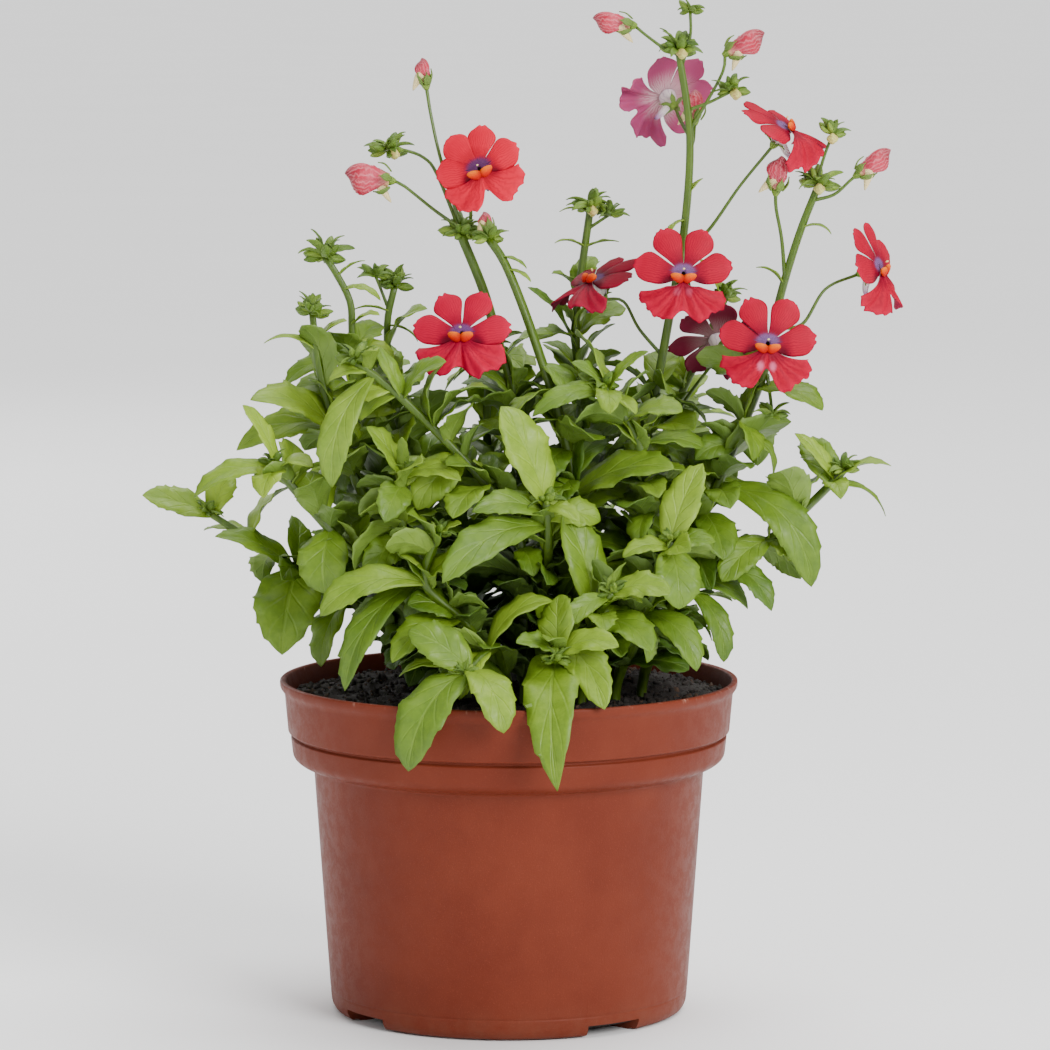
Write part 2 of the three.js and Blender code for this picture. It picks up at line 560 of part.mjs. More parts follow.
function leafSamples(blade) {
  const frame = leafFrame(blade);
  const steps = Math.max(3, Math.ceil(frame.size / 2));
  const half = Math.max(1, Math.ceil(blade.width / 4));
  const samples = [];
  for (let i = 1; i <= steps; i += 1) {
    const s = i / steps;
    const { middle, across, upper } = leafStation(blade, frame, s);
    const wide = (blade.width / 2) * Math.min(1, 1.9 * Math.sqrt(s) * (1 - s) + 0.1);
    for (let j = -half; j <= half; j += 1) {
      const offset = (j / half) * wide;
      const edge = times(upper, LEAF_FOLD * Math.abs(offset));
      samples.push(plus(plus(middle, times(across, offset)), edge));
    }
  }
  return samples;
}

function fits(blade, owner) {
  return leafSamples(blade).every((point) => {
    const fromRoot = length(minus(point, blade.root));
    return fromRoot < ROOT_REACH || isClear(point, LEAF_SAMPLE, owner, fromRoot < JOINED_REACH);
  });
}

function rodSamples(points, radius, owner) {
  for (let i = 0; i + 1 < points.length; i += 1) {
    const pieces = Math.max(1, Math.ceil(length(minus(points[i + 1], points[i])) / 1.5));
    for (let j = 0; j <= pieces; j += 1) {
      keepSample(mix(points[i], points[i + 1], j / pieces), radius, owner);
    }
  }
}

// Flowers

const PETALS = [
  { angle: 26, width: 8 },
  { angle: -26, width: 8 },
  { angle: 78, width: 8.2 },
  { angle: -78, width: 8.2 },
];
const LIP_LOBES = [146, -146];
const PETAL_OUTLINE = [[0.02, 0], [0.46, 0.6], [0.8, 1], [1, 0.44]];
const LOBE_OUTLINE = [[0.02, 0], [0.46, 0.58], [0.82, 1], [1, 0.62]];
const LOBE_WIDTH = 11.2;
const LOBE_LENGTH = 12.8;
const TUBE_LENGTH = 4.4;
const CALYX_GAP = 0.5;
const PETAL_SLOPE = 0.22;
const LOBE_SLOPE = 0.3;
const PETAL_WAVE = 0.1;
const LOBE_WAVE = 0.7;
const PETAL_BEND = 0.02;

// The directions of a bloom, each as long as one millimetre of a full-sized one
function bloomFrame(bloom) {
  const { at, size } = bloom;
  const face = unit(bloom.face);
  const up = unit(minus(bloom.up, times(face, dot(bloom.up, face))));
  return { face: times(face, size), up: times(up, size), right: times(cross(up, face), size), at };
}

function placed(frame, x, y, z) {
  const across = plus(times(frame.right, x), times(frame.up, y));
  return plus(plus(frame.at, across), times(frame.face, z));
}

// A petal at an angle from the upward way, rising off the throat's plane and bending back
function petalPoint(frame, angle, reach, offset, rise) {
  const x = Math.sin(angle) * reach + Math.cos(angle) * offset;
  const y = Math.cos(angle) * reach - Math.sin(angle) * offset;
  return placed(frame, x, y, rise);
}

function petalSolid(frame, angle, size, width, outline, slope, wave) {
  const turn = angle * DEGREES;
  const half = width / 2;
  const thick = PETAL_THICKNESS / 2;
  const sections = outline.map(([s, share], i) => {
    const reach = s * size;
    const rise = slope * reach - PETAL_BEND * reach * reach;
    const edge = rise + wave * (i % 2 === 0 ? 1 : -1) * share;
    if (share === 0) {
      return [petalPoint(frame, turn, reach, 0, rise)];
    }
    return [
      petalPoint(frame, turn, reach, half * share, edge),
      petalPoint(frame, turn, reach, 0, rise - thick),
      petalPoint(frame, turn, reach, -half * share, edge),
      petalPoint(frame, turn, reach, 0, rise + thick),
    ];
  });
  return loft(sections, true);
}

function corolla(bloom) {
  const frame = bloomFrame(bloom);
  const petals = PETALS.map((petal) => petalSolid(
    frame, petal.angle, PETAL_LENGTH, petal.width, PETAL_OUTLINE, PETAL_SLOPE, PETAL_WAVE,
  ));
  const lip = LIP_LOBES.map((angle) => petalSolid(
    frame, angle, LOBE_LENGTH, LOBE_WIDTH, LOBE_OUTLINE, LOBE_SLOPE, LOBE_WAVE,
  ));
  const tube = loft([
    ring(placed(frame, 0, 0, -TUBE_LENGTH), frame.right, frame.up, 1.5, 6),
    ring(placed(frame, 0, 0, 0.9), frame.right, frame.up, 2.6, 6),
  ]);
  const spur = spike(placed(frame, 0, -0.6, -TUBE_LENGTH + 1.6), placed(frame, 0, -6.5, -6), 1, 3);
  return unite([tube, spur, ...petals, ...lip]);
}

function palate(bloom) {
  const frame = bloomFrame(bloom);
  const humps = [-1, 1].map((side) => {
    const low = placed(frame, side * 0.9, -3.5, 1.9);
    const high = placed(frame, side * 1.7, 0, 3.1);
    return bipyramid(low, high, 1.8 * bloom.size, 0.66, 6);
  });
  return unite(humps);
}

// The slender stalk of a flower or bud
function pedicel(path) {
  return rod(path, PEDICEL_RADIUS * 1.3, PEDICEL_RADIUS, PEDICEL_SIDES);
}

// The five sepals as one star, and the place where the stalk meets it
function calyxParts(frame, back) {
  const hub = placed(frame, 0, 0, -back - CALYX_GAP);
  const behind = placed(frame, 0, 0, -back - CALYX_GAP - 1.3);
  const star = [];
  for (let i = 0; i < 10; i += 1) {
    const angle = (i / 10) * 2 * Math.PI;
    const [reach, depth] = i % 2 === 0 ? [3.4, 0.2] : [1.15, -CALYX_GAP - 0.4];
    star.push(placed(frame, Math.sin(-angle) * reach, Math.cos(angle) * reach, depth - back));
  }
  const end = placed(frame, 0, 0, -back - CALYX_GAP - 0.6);
  return { solid: loft([[behind], star, [hub]]), end };
}

function budFrame(bud) {
  const face = unit(minus(bud.to, bud.from));
  const [right, up] = acrossAxis(face);
  return { face, up, right, at: bud.from };
}

function budSolid(bud) {
  const frame = budFrame(bud);
  const pouch = spindle(bud.from, bud.to, bud.radius, 6, 0.5);
  const spurRoot = placed(frame, 0, 0, 2.2);
  const spurTip = placed(frame, 0, -bud.radius - 1.6, -0.6);
  return pouch.add(spike(spurRoot, spurTip, 0.8, 3));
}

// Samples of the flowers and buds, for the leaves to keep clear of

function bloomSamples(bloom, owner) {
  const frame = bloomFrame(bloom);
  const spokes = [...PETALS.map((petal) => petal.angle), 120, 150, 180, 210, 240];
  for (const angle of spokes) {
    for (const reach of [3, 6.2, 9.4, 12.6]) {
      for (const offset of [-2.5, 0, 2.5]) {
        const rise = 0.25 * reach - PETAL_BEND * reach * reach;
        keepSample(petalPoint(frame, angle * DEGREES, reach, offset, rise), 1, owner);
      }
    }
  }
  for (const depth of [-4, -2, 0, 2]) {
    keepSample(placed(frame, 0, 0, depth), 2.4, owner);
  }
  keepSample(placed(frame, 0, -4, -5), 1, owner);
  keepSample(placed(frame, 0, -6, -6), 1, owner);
}

// The green parts of one stem

const CLUSTER_TURN = 137.5;

// A head of small buds round a knob at the end of a stem or stalk
function clusterSolids(group, draw) {
  const { at, count, size } = group;
  const knob = size * 0.4;
  const solids = [bipyramid(minus(at, [0, 0, knob * 1.3]), plus(at, [0, 0, knob]), knob, 0.5, 4)];
  for (let i = 0; i < count; i += 1) {
    const turn = (i * CLUSTER_TURN + 40 * draw()) * DEGREES;
    const height = blend(-0.3, 0.95, (i + 0.5) / count);
    const flat = Math.sqrt(1 - height * height);
    const way = [Math.cos(turn) * flat, Math.sin(turn) * flat, height];
    const from = plus(at, times(way, knob * 0.3));
    const to = plus(at, times(way, size * (1.4 + 0.3 * draw())));
    solids.push(bipyramid(from, to, size * 0.42, 0.62, 3));
  }
  return solids;
}

function nearestOn(curve, x, z) {
  let best = curve[0];
  let least = Infinity;
  for (const point of curve) {
    const gap = Math.abs(point[0] - x) + Math.abs(point[2] - z);
    if (gap < least) {
      least = gap;
      best = point;
    }
  }
  return best;
}

function nearestHeight(curve, height) {
  return curve.reduce((best, point) => {
    return Math.abs(point[2] - height) < Math.abs(best[2] - height) ? point : best;
  });
}

// Other ways to lay a leaf that has its own place: tip moved in depth, in height, and scaled
const PLACED_TRIES = [
  [0, 0, 1], [-3, 0, 1], [3, 0, 1], [-6, 0, 1], [6, 0, 1], [0, -3, 0.95], [0, 3, 0.95],
  [-9, 0, 0.95], [9, 0, 0.95], [0, -6, 0.85], [0, 6, 0.85], [0, 0, 0.8], [-4, -4, 0.8],
  [4, 4, 0.8], [-5, 5, 0.8], [-8, -5, 0.8], [0, 0, 0.65], [-6, 4, 0.65], [-7, -6, 0.65],
  [7, 0, 0.65], [0, 8, 0.65],
];
// Other ways to lay a leaf of a row: turned, raised, and scaled
const ROW_TRIES = [
  [0, 0, 1], [18, 0, 1], [-18, 0, 1], [0, 15, 1], [0, -15, 1], [30, 10, 0.9], [-30, 10, 0.9],
  [0, 30, 0.85], [20, -20, 0.85], [-20, -20, 0.85], [45, 0, 0.85], [-45, 0, 0.85],
  [60, 10, 0.8], [-60, 10, 0.8], [0, 45, 0.8], [0, -35, 0.8], [0, 0, 0.65], [25, 25, 0.65],
  [-25, 25, 0.65], [90, 20, 0.65], [-90, 20, 0.65], [0, 0, 0.5],
];

function layPlacedLeaf(plan, curve, owner) {
  const root = nearestOn(curve, plan.rootX, plan.rootZ);
  for (const [depth, height, scale] of PLACED_TRIES) {
    const tip = mix(root, plus(plan.tip, [0, depth, height]), scale);
    const run = minus(tip, root);
    const flat = Math.sqrt(run[0] * run[0] + run[1] * run[1]) + TINY;
    const roll = plan.roll * (run[0] / flat);
    const blade = { root, tip, width: plan.width * scale, lift: plan.lift, roll };
    if (fits(blade, owner)) {
      return blade;
    }
  }
  return null;
}

function layRowLeaf(root, turn, pitch, size, roll, owner) {
  for (const [aside, raised, scale] of ROW_TRIES) {
    const around = (turn + aside) * DEGREES;
    const rise = (pitch + raised) * DEGREES;
    const way = [
      Math.cos(around) * Math.cos(rise),
      Math.sin(around) * Math.cos(rise),
      Math.sin(rise),
    ];
    const tip = plus(root, times(way, size * scale));
    const blade = { root, tip, width: size * scale * ROW_LEAF.width, lift: ROW_LEAF.lift, roll };
    if (fits(blade, owner)) {
      return blade;
    }
  }
  return null;
}

function keepLeaf(blade, owner) {
  for (const point of leafSamples(blade)) {
    const joins = length(minus(point, blade.root)) < JOINED_REACH;
    keepSample(point, LEAF_SAMPLE, owner, joins);
  }
}

function rowLeaves(plan, curve, draw, owner) {
  const blades = [];
  for (const line of plan.rows) {
    for (let k = 0; k < line.count; k += 1) {
      const share = line.count > 1 ? k / (line.count - 1) : 0;
      const root = nearestHeight(curve, blend(line.low, line.high, share));
      const size = blend(line.first, line.last, share);
      for (const half of [0, 180]) {
        const turn = line.turn + 90 * k + half + ROW_LEAF.turnSpread * (draw() - 0.5);
        const pitch = line.pitch + ROW_LEAF.pitchSpread * (draw() - 0.5);
        const grown = size * (ROW_LEAF_SIZES.least + ROW_LEAF_SIZES.spread * draw());
        const roll = ROW_LEAF.rollSpread * (draw() - 0.5);
        const blade = layRowLeaf(root, turn, pitch, grown, roll, owner);
        if (blade !== null) {
          blades.push(blade);
          keepLeaf(blade, owner);
        }
      }
    }
  }
  return blades;
}

// The whole plant: first every rod, flower and bud leaves its samples, then the leaves are laid

const SPINE_STEP = 16;
const ROOT_STEP = 2;
const greens = new Map();

for (const plan of stems) {
  const spine = smoothCurve(plan.path, SPINE_STEP);
  const curve = straightSteps(spine, ROOT_STEP).slice(0, -1);
  greens.set(plan.name, { plan, spine, curve, solids: [], blades: [] });
  rodSamples(curve, plan.base, plan.name);
  for (const stalk of plan.stalks) {
    rodSamples(stalk, PEDICEL_RADIUS, plan.name);
  }
  for (const group of plan.clusters) {
    keepSample(group.at, group.size * 1.4, plan.name);
  }
}

const flowers = blooms.map((bloom, i) => {
  const number = i + 1;
  const owner = `bloom_${number}`;
  bloomSamples(bloom, owner);
  const frame = bloomFrame(bloom);
  const calyx = calyxParts(frame, TUBE_LENGTH);
  const path = smoothCurve([...bloom.stalk, calyx.end], PEDICEL_STEP);
  rodSamples(path, PEDICEL_RADIUS, bloom.on);
  greens.get(bloom.on).solids.push(calyx.solid, pedicel(path));
  return { number, bloom };
});

const colouredBuds = buds.map((bud, i) => {
  const number = i + 1;
  const owner = `bud_${number}`;
  rodSamples([bud.from, bud.to], bud.radius, owner);
  const frame = budFrame(bud);
  const calyx = calyxParts(frame, 0);
  const path = smoothCurve([...bud.stalk, calyx.end], PEDICEL_STEP);
  rodSamples(path, PEDICEL_RADIUS, bud.on);
  greens.get(bud.on).solids.push(calyx.solid, pedicel(path));
  return { number, bud };
});

for (const green of greens.values()) {
  for (const plan of green.plan.leaves) {
    const blade = layPlacedLeaf(plan, green.curve, green.plan.name);
    if (blade !== null) {
      green.blades.push(blade);
      keepLeaf(blade, green.plan.name);
    }
  }
}

let stemNumber = 0;
for (const green of greens.values()) {
  stemNumber += 1;
  const draw = seededDraw(stemNumber);
  green.blades.push(...rowLeaves(green.plan, green.curve, draw, green.plan.name));
  green.draw = draw;
}

// The way to a stem's first corner, which turns its flat sides to its rows of leaves
function cornerOf(plan) {
  const turn = plan.rows.length > 0 ? (plan.rows[0].turn + 45) * DEGREES : 0;
  return [Math.cos(turn), Math.sin(turn), 0];
}

function greenSolid(green) {
  const { plan, spine, solids, blades, draw } = green;
  const main = rod(spine, plan.base, plan.tip, STEM_SIDES, cornerOf(plan));
  const stalks = plan.stalks.map((stalk) => {
    return pedicel(smoothCurve(stalk, PEDICEL_STEP));
  });
  const clusters = plan.clusters.flatMap((group) => clusterSolids(group, draw));
  return unite([main, ...stalks, ...solids, ...clusters, ...blades.map(leafSolid)]);
}

// The pot and the soil in it

function mergedSolid(geometry) {
  const bare = geometry.index ? geometry.toNonIndexed() : geometry;
  bare.deleteAttribute('normal');
  bare.deleteAttribute('uv');
  const merged = mergeVertices(bare, 1e-4);
  const points = [];
  for (let i = 0; i < merged.attributes.position.count; i += 1) {
    points.push([
      merged.attributes.position.getX(i),
      merged.attributes.position.getY(i),
      merged.attributes.position.getZ(i),
    ]);
  }
  const faces = [];
  for (let i = 0; i < merged.index.count; i += 3) {
    const [a, b, c] = [merged.index.getX(i), merged.index.getX(i + 1), merged.index.getX(i + 2)];
    if (a !== b && b !== c && c !== a) {
      faces.push([a, b, c]);
    }
  }
  return solidOf(points, faces);
}

function turned(profile, sides) {
  const outline = profile.map(([radius, height]) => new THREE.Vector2(radius, height));
  const geometry = new THREE.LatheGeometry(outline, sides);
  geometry.rotateX(Math.PI / 2);
  return mergedSolid(geometry);
}

// A block between two radii and two heights, over an angle either side of a middle one
function sector(inner, outer, low, high, middle, halfAngle) {
  const shape = new THREE.Shape();
  const from = (middle - halfAngle) * DEGREES;
  const to = (middle + halfAngle) * DEGREES;
  shape.absarc(0, 0, outer, from, to, false);
  shape.absarc(0, 0, inner, to, from, true);
  shape.closePath();
  const geometry = new THREE.ExtrudeGeometry(shape, {
    depth: high - low, bevelEnabled: false, curveSegments: 2,
  });
  geometry.translate(0, 0, low);
  return mergedSolid(geometry);
}

function post(x, y, low, high, radius, sides) {
  const geometry = new THREE.CylinderGeometry(radius, radius, high - low, sides);
  geometry.rotateX(Math.PI / 2);
  geometry.translate(x, y, (low + high) / 2);
  return mergedSolid(geometry);
}

const footAngles = Array.from(
  { length: FOOT_NOTCH.count },
  (unused, i) => FOOT_NOTCH.first + (i * 360) / FOOT_NOTCH.count,
);

function potSolid() {
  const outside = [
    [0, 0], [BASE_RADIUS - 1.6, 0], [BASE_RADIUS, 2.2], [51.2, 64.6],
    [54.6, 65.8], [56.5, 67.4], [57.2, 72.6], [57.9, 73.4], [58.8, 84.2], [RIM_RADIUS, 86.4],
    [RIM_RADIUS - 0.2, RIM_HEIGHT],
  ];
  const inside = [
    [58.4, RIM_HEIGHT], [57.2, 83.2], [55.6, 68.6], [50.2, 65.8],
    [BASE_RADIUS - WALL, 3.4], [BASE_RADIUS - 2.6, FLOOR], [0, FLOOR],
  ];
  let pot = turned([...outside, ...inside], POT_SIDES);
  for (const angle of footAngles) {
    pot = pot.add(sector(
      FOOT_PAD.inner, FOOT_PAD.outer, FOOT_PAD.from, FOOT_PAD.to, angle, FOOT_PAD.halfAngle,
    ));
    pot = pot.subtract(sector(
      FOOT_NOTCH.inner, 60, -1, FOOT_NOTCH.height, angle, FOOT_NOTCH.halfAngle,
    ));
    const x = DRAIN_HOLE.ring * Math.cos(angle * DEGREES);
    const y = DRAIN_HOLE.ring * Math.sin(angle * DEGREES);
    pot = pot.subtract(post(x, y, 2, FOOT_PAD.to + 1, DRAIN_HOLE.radius, 8));
  }
  return pot;
}

// The soil's surface: low rounded heaps and hollows
function soilRelief(radius, angle) {
  const x = radius * Math.cos(angle);
  const y = radius * Math.sin(angle);
  const broad = Math.sin(x * 0.11 + 1.3) * Math.cos(y * 0.13 - 0.4);
  const fine = Math.sin(x * 0.47 + y * 0.21) * Math.sin(y * 0.53 - x * 0.17 + 2);
  return 0.9 * broad + 0.7 * fine;
}

function soilSolid() {
  const radii = [56.2, 43, 28, 14];
  const walls = [
    [BASE_RADIUS - 2.8, FLOOR + FIT], [BASE_RADIUS - WALL - FIT, 3.8], [49.8, 65.9], [55, 69.5],
  ];
  const level = ([radius, height]) => {
    const points = [];
    for (let i = 0; i < SOIL_SECTORS; i += 1) {
      const angle = (i / SOIL_SECTORS) * 2 * Math.PI;
      points.push([radius * Math.cos(angle), radius * Math.sin(angle), height]);
    }
    return points;
  };
  const top = radii.map((radius) => level([radius, SOIL_HEIGHT]).map(([x, y, z]) => {
    const rim = radius > 50 ? 0.4 : 1;
    return [x, y, z + rim * soilRelief(radius, Math.atan2(y, x))];
  }));
  const sections = [...walls.map(level), ...top, [[0, 0, SOIL_HEIGHT + soilRelief(0, 0)]]];
  let soil = loft(sections);
  for (const angle of footAngles) {
    soil = soil.subtract(sector(
      FOOT_PAD.inner - FIT, 60, 0, FOOT_PAD.to + FIT, angle, FOOT_PAD.halfAngle + 0.6,
    ));
  }
  for (const plan of stems) {
    const [x, y] = plan.path[0];
    const hole = [[x, y, ROOT_HEIGHT - FIT], [x, y, SOIL_HEIGHT + 8]];
    const radius = plan.base + FIT * Math.SQRT2;
    soil = soil.subtract(rod(hole, radius, radius, STEM_SIDES, cornerOf(plan)));
  }
  return soil;
}

// Nodes. Of a fused solid's closed surfaces only the outer one is kept, which fills any hollow
// that the fusing sealed and drops any crumb.

function outerSurface(vertices, corners) {
  const parent = Array.from({ length: vertices.length / 3 }, (unused, i) => i);
  const rootOf = (i) => {
    let at = i;
    while (parent[at] !== at) {
      parent[at] = parent[parent[at]];
      at = parent[at];
    }
    return at;
  };
  for (let i = 0; i < corners.length; i += 3) {
    parent[rootOf(corners[i + 1])] = rootOf(corners[i]);
    parent[rootOf(corners[i + 2])] = rootOf(corners[i]);
  }
  const volumes = new Map();
  const corner = (i) => Array.from(vertices.slice(corners[i] * 3, corners[i] * 3 + 3));
  for (let i = 0; i < corners.length; i += 3) {
    const volume = dot(corner(i), cross(corner(i + 1), corner(i + 2))) / 6;
    const key = rootOf(corners[i]);
    volumes.set(key, (volumes.get(key) ?? 0) + volume);
  }
  const [outer] = [...volumes.entries()].reduce((a, b) => (b[1] > a[1] ? b : a));
  return corners.filter((unused, i) => rootOf(corners[i - (i % 3)]) === outer);
}

function node(name, solid, colour, roughness) {
  const { vertProperties, triVerts } = solid.getMesh();
  const corners = outerSurface(vertProperties, triVerts);
  const geometry = new THREE.BufferGeometry();
  geometry.setAttribute('position', new THREE.BufferAttribute(Float32Array.from(vertProperties), 3));
  geometry.setIndex(new THREE.BufferAttribute(Uint32Array.from(corners), 1));
  geometry.computeVertexNormals();
  const material = new THREE.MeshStandardMaterial({ color: colour, roughness, metalness: 0 });
  const mesh = new THREE.Mesh(geometry, material);
  mesh.name = name;
  return mesh;
}

const nemesia = new THREE.Group();
nemesia.add(node('pot', potSolid(), 0x96492f, 0.5));
nemesia.add(node('soil', soilSolid(), 0x241b17, 0.95));
for (const green of greens.values()) {
  nemesia.add(node(green.plan.name, greenSolid(green), 0x6f8f2a, 0.55));
}
for (const { number, bloom } of flowers) {
  nemesia.add(node(`bloom_${number}`, corolla(bloom), 0xe02a45, 0.6));
  nemesia.add(node(`palate_${number}`, palate(bloom), 0xe8641e, 0.6));
}
for (const { number, bud } of colouredBuds) {
  nemesia.add(node(`bud_${number}`, budSolid(bud), 0xd06a80, 0.6));
}

export default nemesia;
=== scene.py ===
"""A nemesia in flower in a round nursery pot.

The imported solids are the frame. Every green stem, bloom, palate, bud, the soil and the pot get a
finer piece in the same place. Lengths are millimetres until a mesh is made, and metres there.
"""

import logging
import math
from dataclasses import dataclass
from enum import Enum
from typing import ClassVar

import bpy
import numpy as np
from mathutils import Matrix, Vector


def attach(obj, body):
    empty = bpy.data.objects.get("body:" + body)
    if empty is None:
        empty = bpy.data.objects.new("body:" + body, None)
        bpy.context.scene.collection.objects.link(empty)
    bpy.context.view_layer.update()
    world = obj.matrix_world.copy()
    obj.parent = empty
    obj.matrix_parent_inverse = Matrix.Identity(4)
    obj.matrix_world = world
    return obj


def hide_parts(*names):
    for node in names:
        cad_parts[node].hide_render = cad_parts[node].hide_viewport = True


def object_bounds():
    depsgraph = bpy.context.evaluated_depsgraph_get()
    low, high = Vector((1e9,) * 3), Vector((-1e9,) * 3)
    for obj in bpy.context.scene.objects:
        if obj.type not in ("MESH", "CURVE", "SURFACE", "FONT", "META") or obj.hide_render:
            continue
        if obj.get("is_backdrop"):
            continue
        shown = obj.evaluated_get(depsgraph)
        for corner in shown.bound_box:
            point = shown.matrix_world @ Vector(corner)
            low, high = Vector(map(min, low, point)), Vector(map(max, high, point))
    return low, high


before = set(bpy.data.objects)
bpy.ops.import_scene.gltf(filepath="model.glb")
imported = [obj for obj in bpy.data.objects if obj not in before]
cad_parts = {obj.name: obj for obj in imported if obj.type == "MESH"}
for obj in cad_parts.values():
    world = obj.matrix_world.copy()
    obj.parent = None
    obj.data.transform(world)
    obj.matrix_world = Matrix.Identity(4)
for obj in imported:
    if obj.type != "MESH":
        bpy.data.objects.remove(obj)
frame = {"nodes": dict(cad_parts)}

LOG = logging.getLogger("nemesia")
METRES = 0.001
DEGREES = math.pi / 180
TINY = 1e-6

Array = np.ndarray
Numbers = list[float]


def colour(red: float, green: float, blue: float) -> tuple[float, float, float, float]:
    """Turns a displayed colour of 0 to 255 into the linear colour that a shader takes.

    Args:
        red: The red share, 0 to 255.
        green: The green share, 0 to 255.
        blue: The blue share, 0 to 255.

    Returns:
        The linear colour with an alpha of 1.
    """
    def linear(value: float) -> float:
        """Undoes the display curve of one share."""
        share = value / 255
        return share / 12.92 if share <= 0.04045 else ((share + 0.055) / 1.055) ** 2.4
    return (linear(red), linear(green), linear(blue), 1.0)


def unit(vector: Array) -> Array:
    """Scales a vector, or each row of an array of vectors, to a length of 1."""
    return vector / np.maximum(np.linalg.norm(vector, axis=-1, keepdims=True), TINY)


def mix(first: Array, second: Array, share: float) -> Array:
    """Goes from the first value to the second by a share of the way."""
    return first * (1 - share) + second * share


def smoothstep(low: float, high: float, value: Array) -> Array:
    """Rises smoothly from 0 at the low value to 1 at the high one."""
    share = np.clip((value - low) / (high - low), 0, 1)
    return share * share * (3 - 2 * share)


def across_axis(axis: Array) -> tuple[Array, Array]:
    """Finds two directions square to an axis, the second turned a quarter from the first."""
    guide = np.array([1.0, 0, 0]) if abs(axis[2]) > 0.9 else np.array([0, 0, 1.0])
    first = unit(np.cross(guide, axis))
    return first, np.cross(axis, first)


# Smooth curves, by the same rule as the solids

def curve_point(points: Array, index: int, share: float) -> Array:
    """Finds a point of the smooth curve that runs through listed points.

    Args:
        points: The listed points, one a row.
        index: The point that the stretch starts from.
        share: How far along the stretch, 0 to 1.

    Returns:
        The point.
    """
    here = points[index]
    ahead = points[index + 1]
    before = points[index - 1] if index > 0 else 2 * here - ahead
    beyond = points[index + 2] if index + 2 < len(points) else 2 * ahead - here
    linear = ahead - before
    square = 2 * before - 5 * here + 4 * ahead - beyond
    cube = 3 * here - before - 3 * ahead + beyond
    return 0.5 * (2 * here + linear * share + square * share ** 2 + cube * share ** 3)


def smooth_curve(points: Array, step: float) -> Array:
    """Walks the smooth curve through listed points in steps of about one size."""
    curve = [points[0]]
    for index in range(len(points) - 1):
        gap = np.linalg.norm(points[index + 1] - points[index])
        pieces = max(1, math.floor(gap / step + 0.5))
        curve += [curve_point(points, index, j / pieces) for j in range(1, pieces + 1)]
    return np.array(curve)


def straight_steps(points: Array, step: float) -> Array:
    """Walks the straight stretches between listed points in even steps."""
    steps = [points[0]]
    for here, ahead in zip(points[:-1], points[1:]):
        pieces = math.ceil(np.linalg.norm(ahead - here) / step)
        steps += [mix(here, ahead, j / pieces) for j in range(1, pieces + 1)]
    return np.array(steps)


class SeededDraw:
    """A draw of numbers from 0 to 1, the same on every run and in the solids."""

    MULTIPLIER = 1664525
    STEP = 1013904223
    RANGE = 2 ** 32
    SEED_FACTOR = 7919
    SEED_START = 12345

    def __init__(self, seed: int) -> None:
        """Starts the draw from a seed."""
        self.state = seed * self.SEED_FACTOR + self.SEED_START

    def __call__(self) -> float:
        """Gives the next number."""
        self.state = (self.state * self.MULTIPLIER + self.STEP) % self.RANGE
        return self.state / self.RANGE

    def around(self, middle: float, spread: float) -> float:
        """Gives a number within half a spread of a middle."""
        return middle + spread * (self() - 0.5)


# The plant as a list of stems, with the same places as the solids

@dataclass(frozen=True)
class Row:
    """A row of paired leaves: how many, between which heights, their sizes, turn and pitch."""

    count: int
    low: float
    high: float
    first: float
    last: float
    turn: float
    pitch: float


@dataclass(frozen=True)
class Leaf:
    """A leaf with a place of its own: where it leaves the stem, its tip, width, lift and roll."""

    root_x: float
    root_z: float
    tip: Numbers
    width: float
    lift: float
    roll: float


@dataclass(frozen=True)
class Cluster:
    """A head of small green buds at a place."""

    at: Numbers
    count: int
    size: float


@dataclass(frozen=True)
class Stem:
    """One stem: its name, base and tip radius, path, leaf rows, leaves, stalks and bud heads."""

    name: str
    base: float
    tip: float
    path: list[Numbers]
    rows: list[Row]
    leaves: list[Leaf]
    stalks: list[list[Numbers]]
    clusters: list[Cluster]


@dataclass(frozen=True)
class Bloom:
    """One flower: its stem, throat, facing, upward way, the bends of its stalk, and its size as
    a share of the full size."""

    on: str
    at: Numbers
    face: Numbers
    up: Numbers
    stalk: list[Numbers]
    size: float = 1.0


@dataclass(frozen=True)
class Bud:
    """One coloured bud: its stem, calyx end, tip, radius and the bends of its stalk."""

    on: str
    base: Numbers
    tip: Numbers
    radius: float
    stalk: list[Numbers]


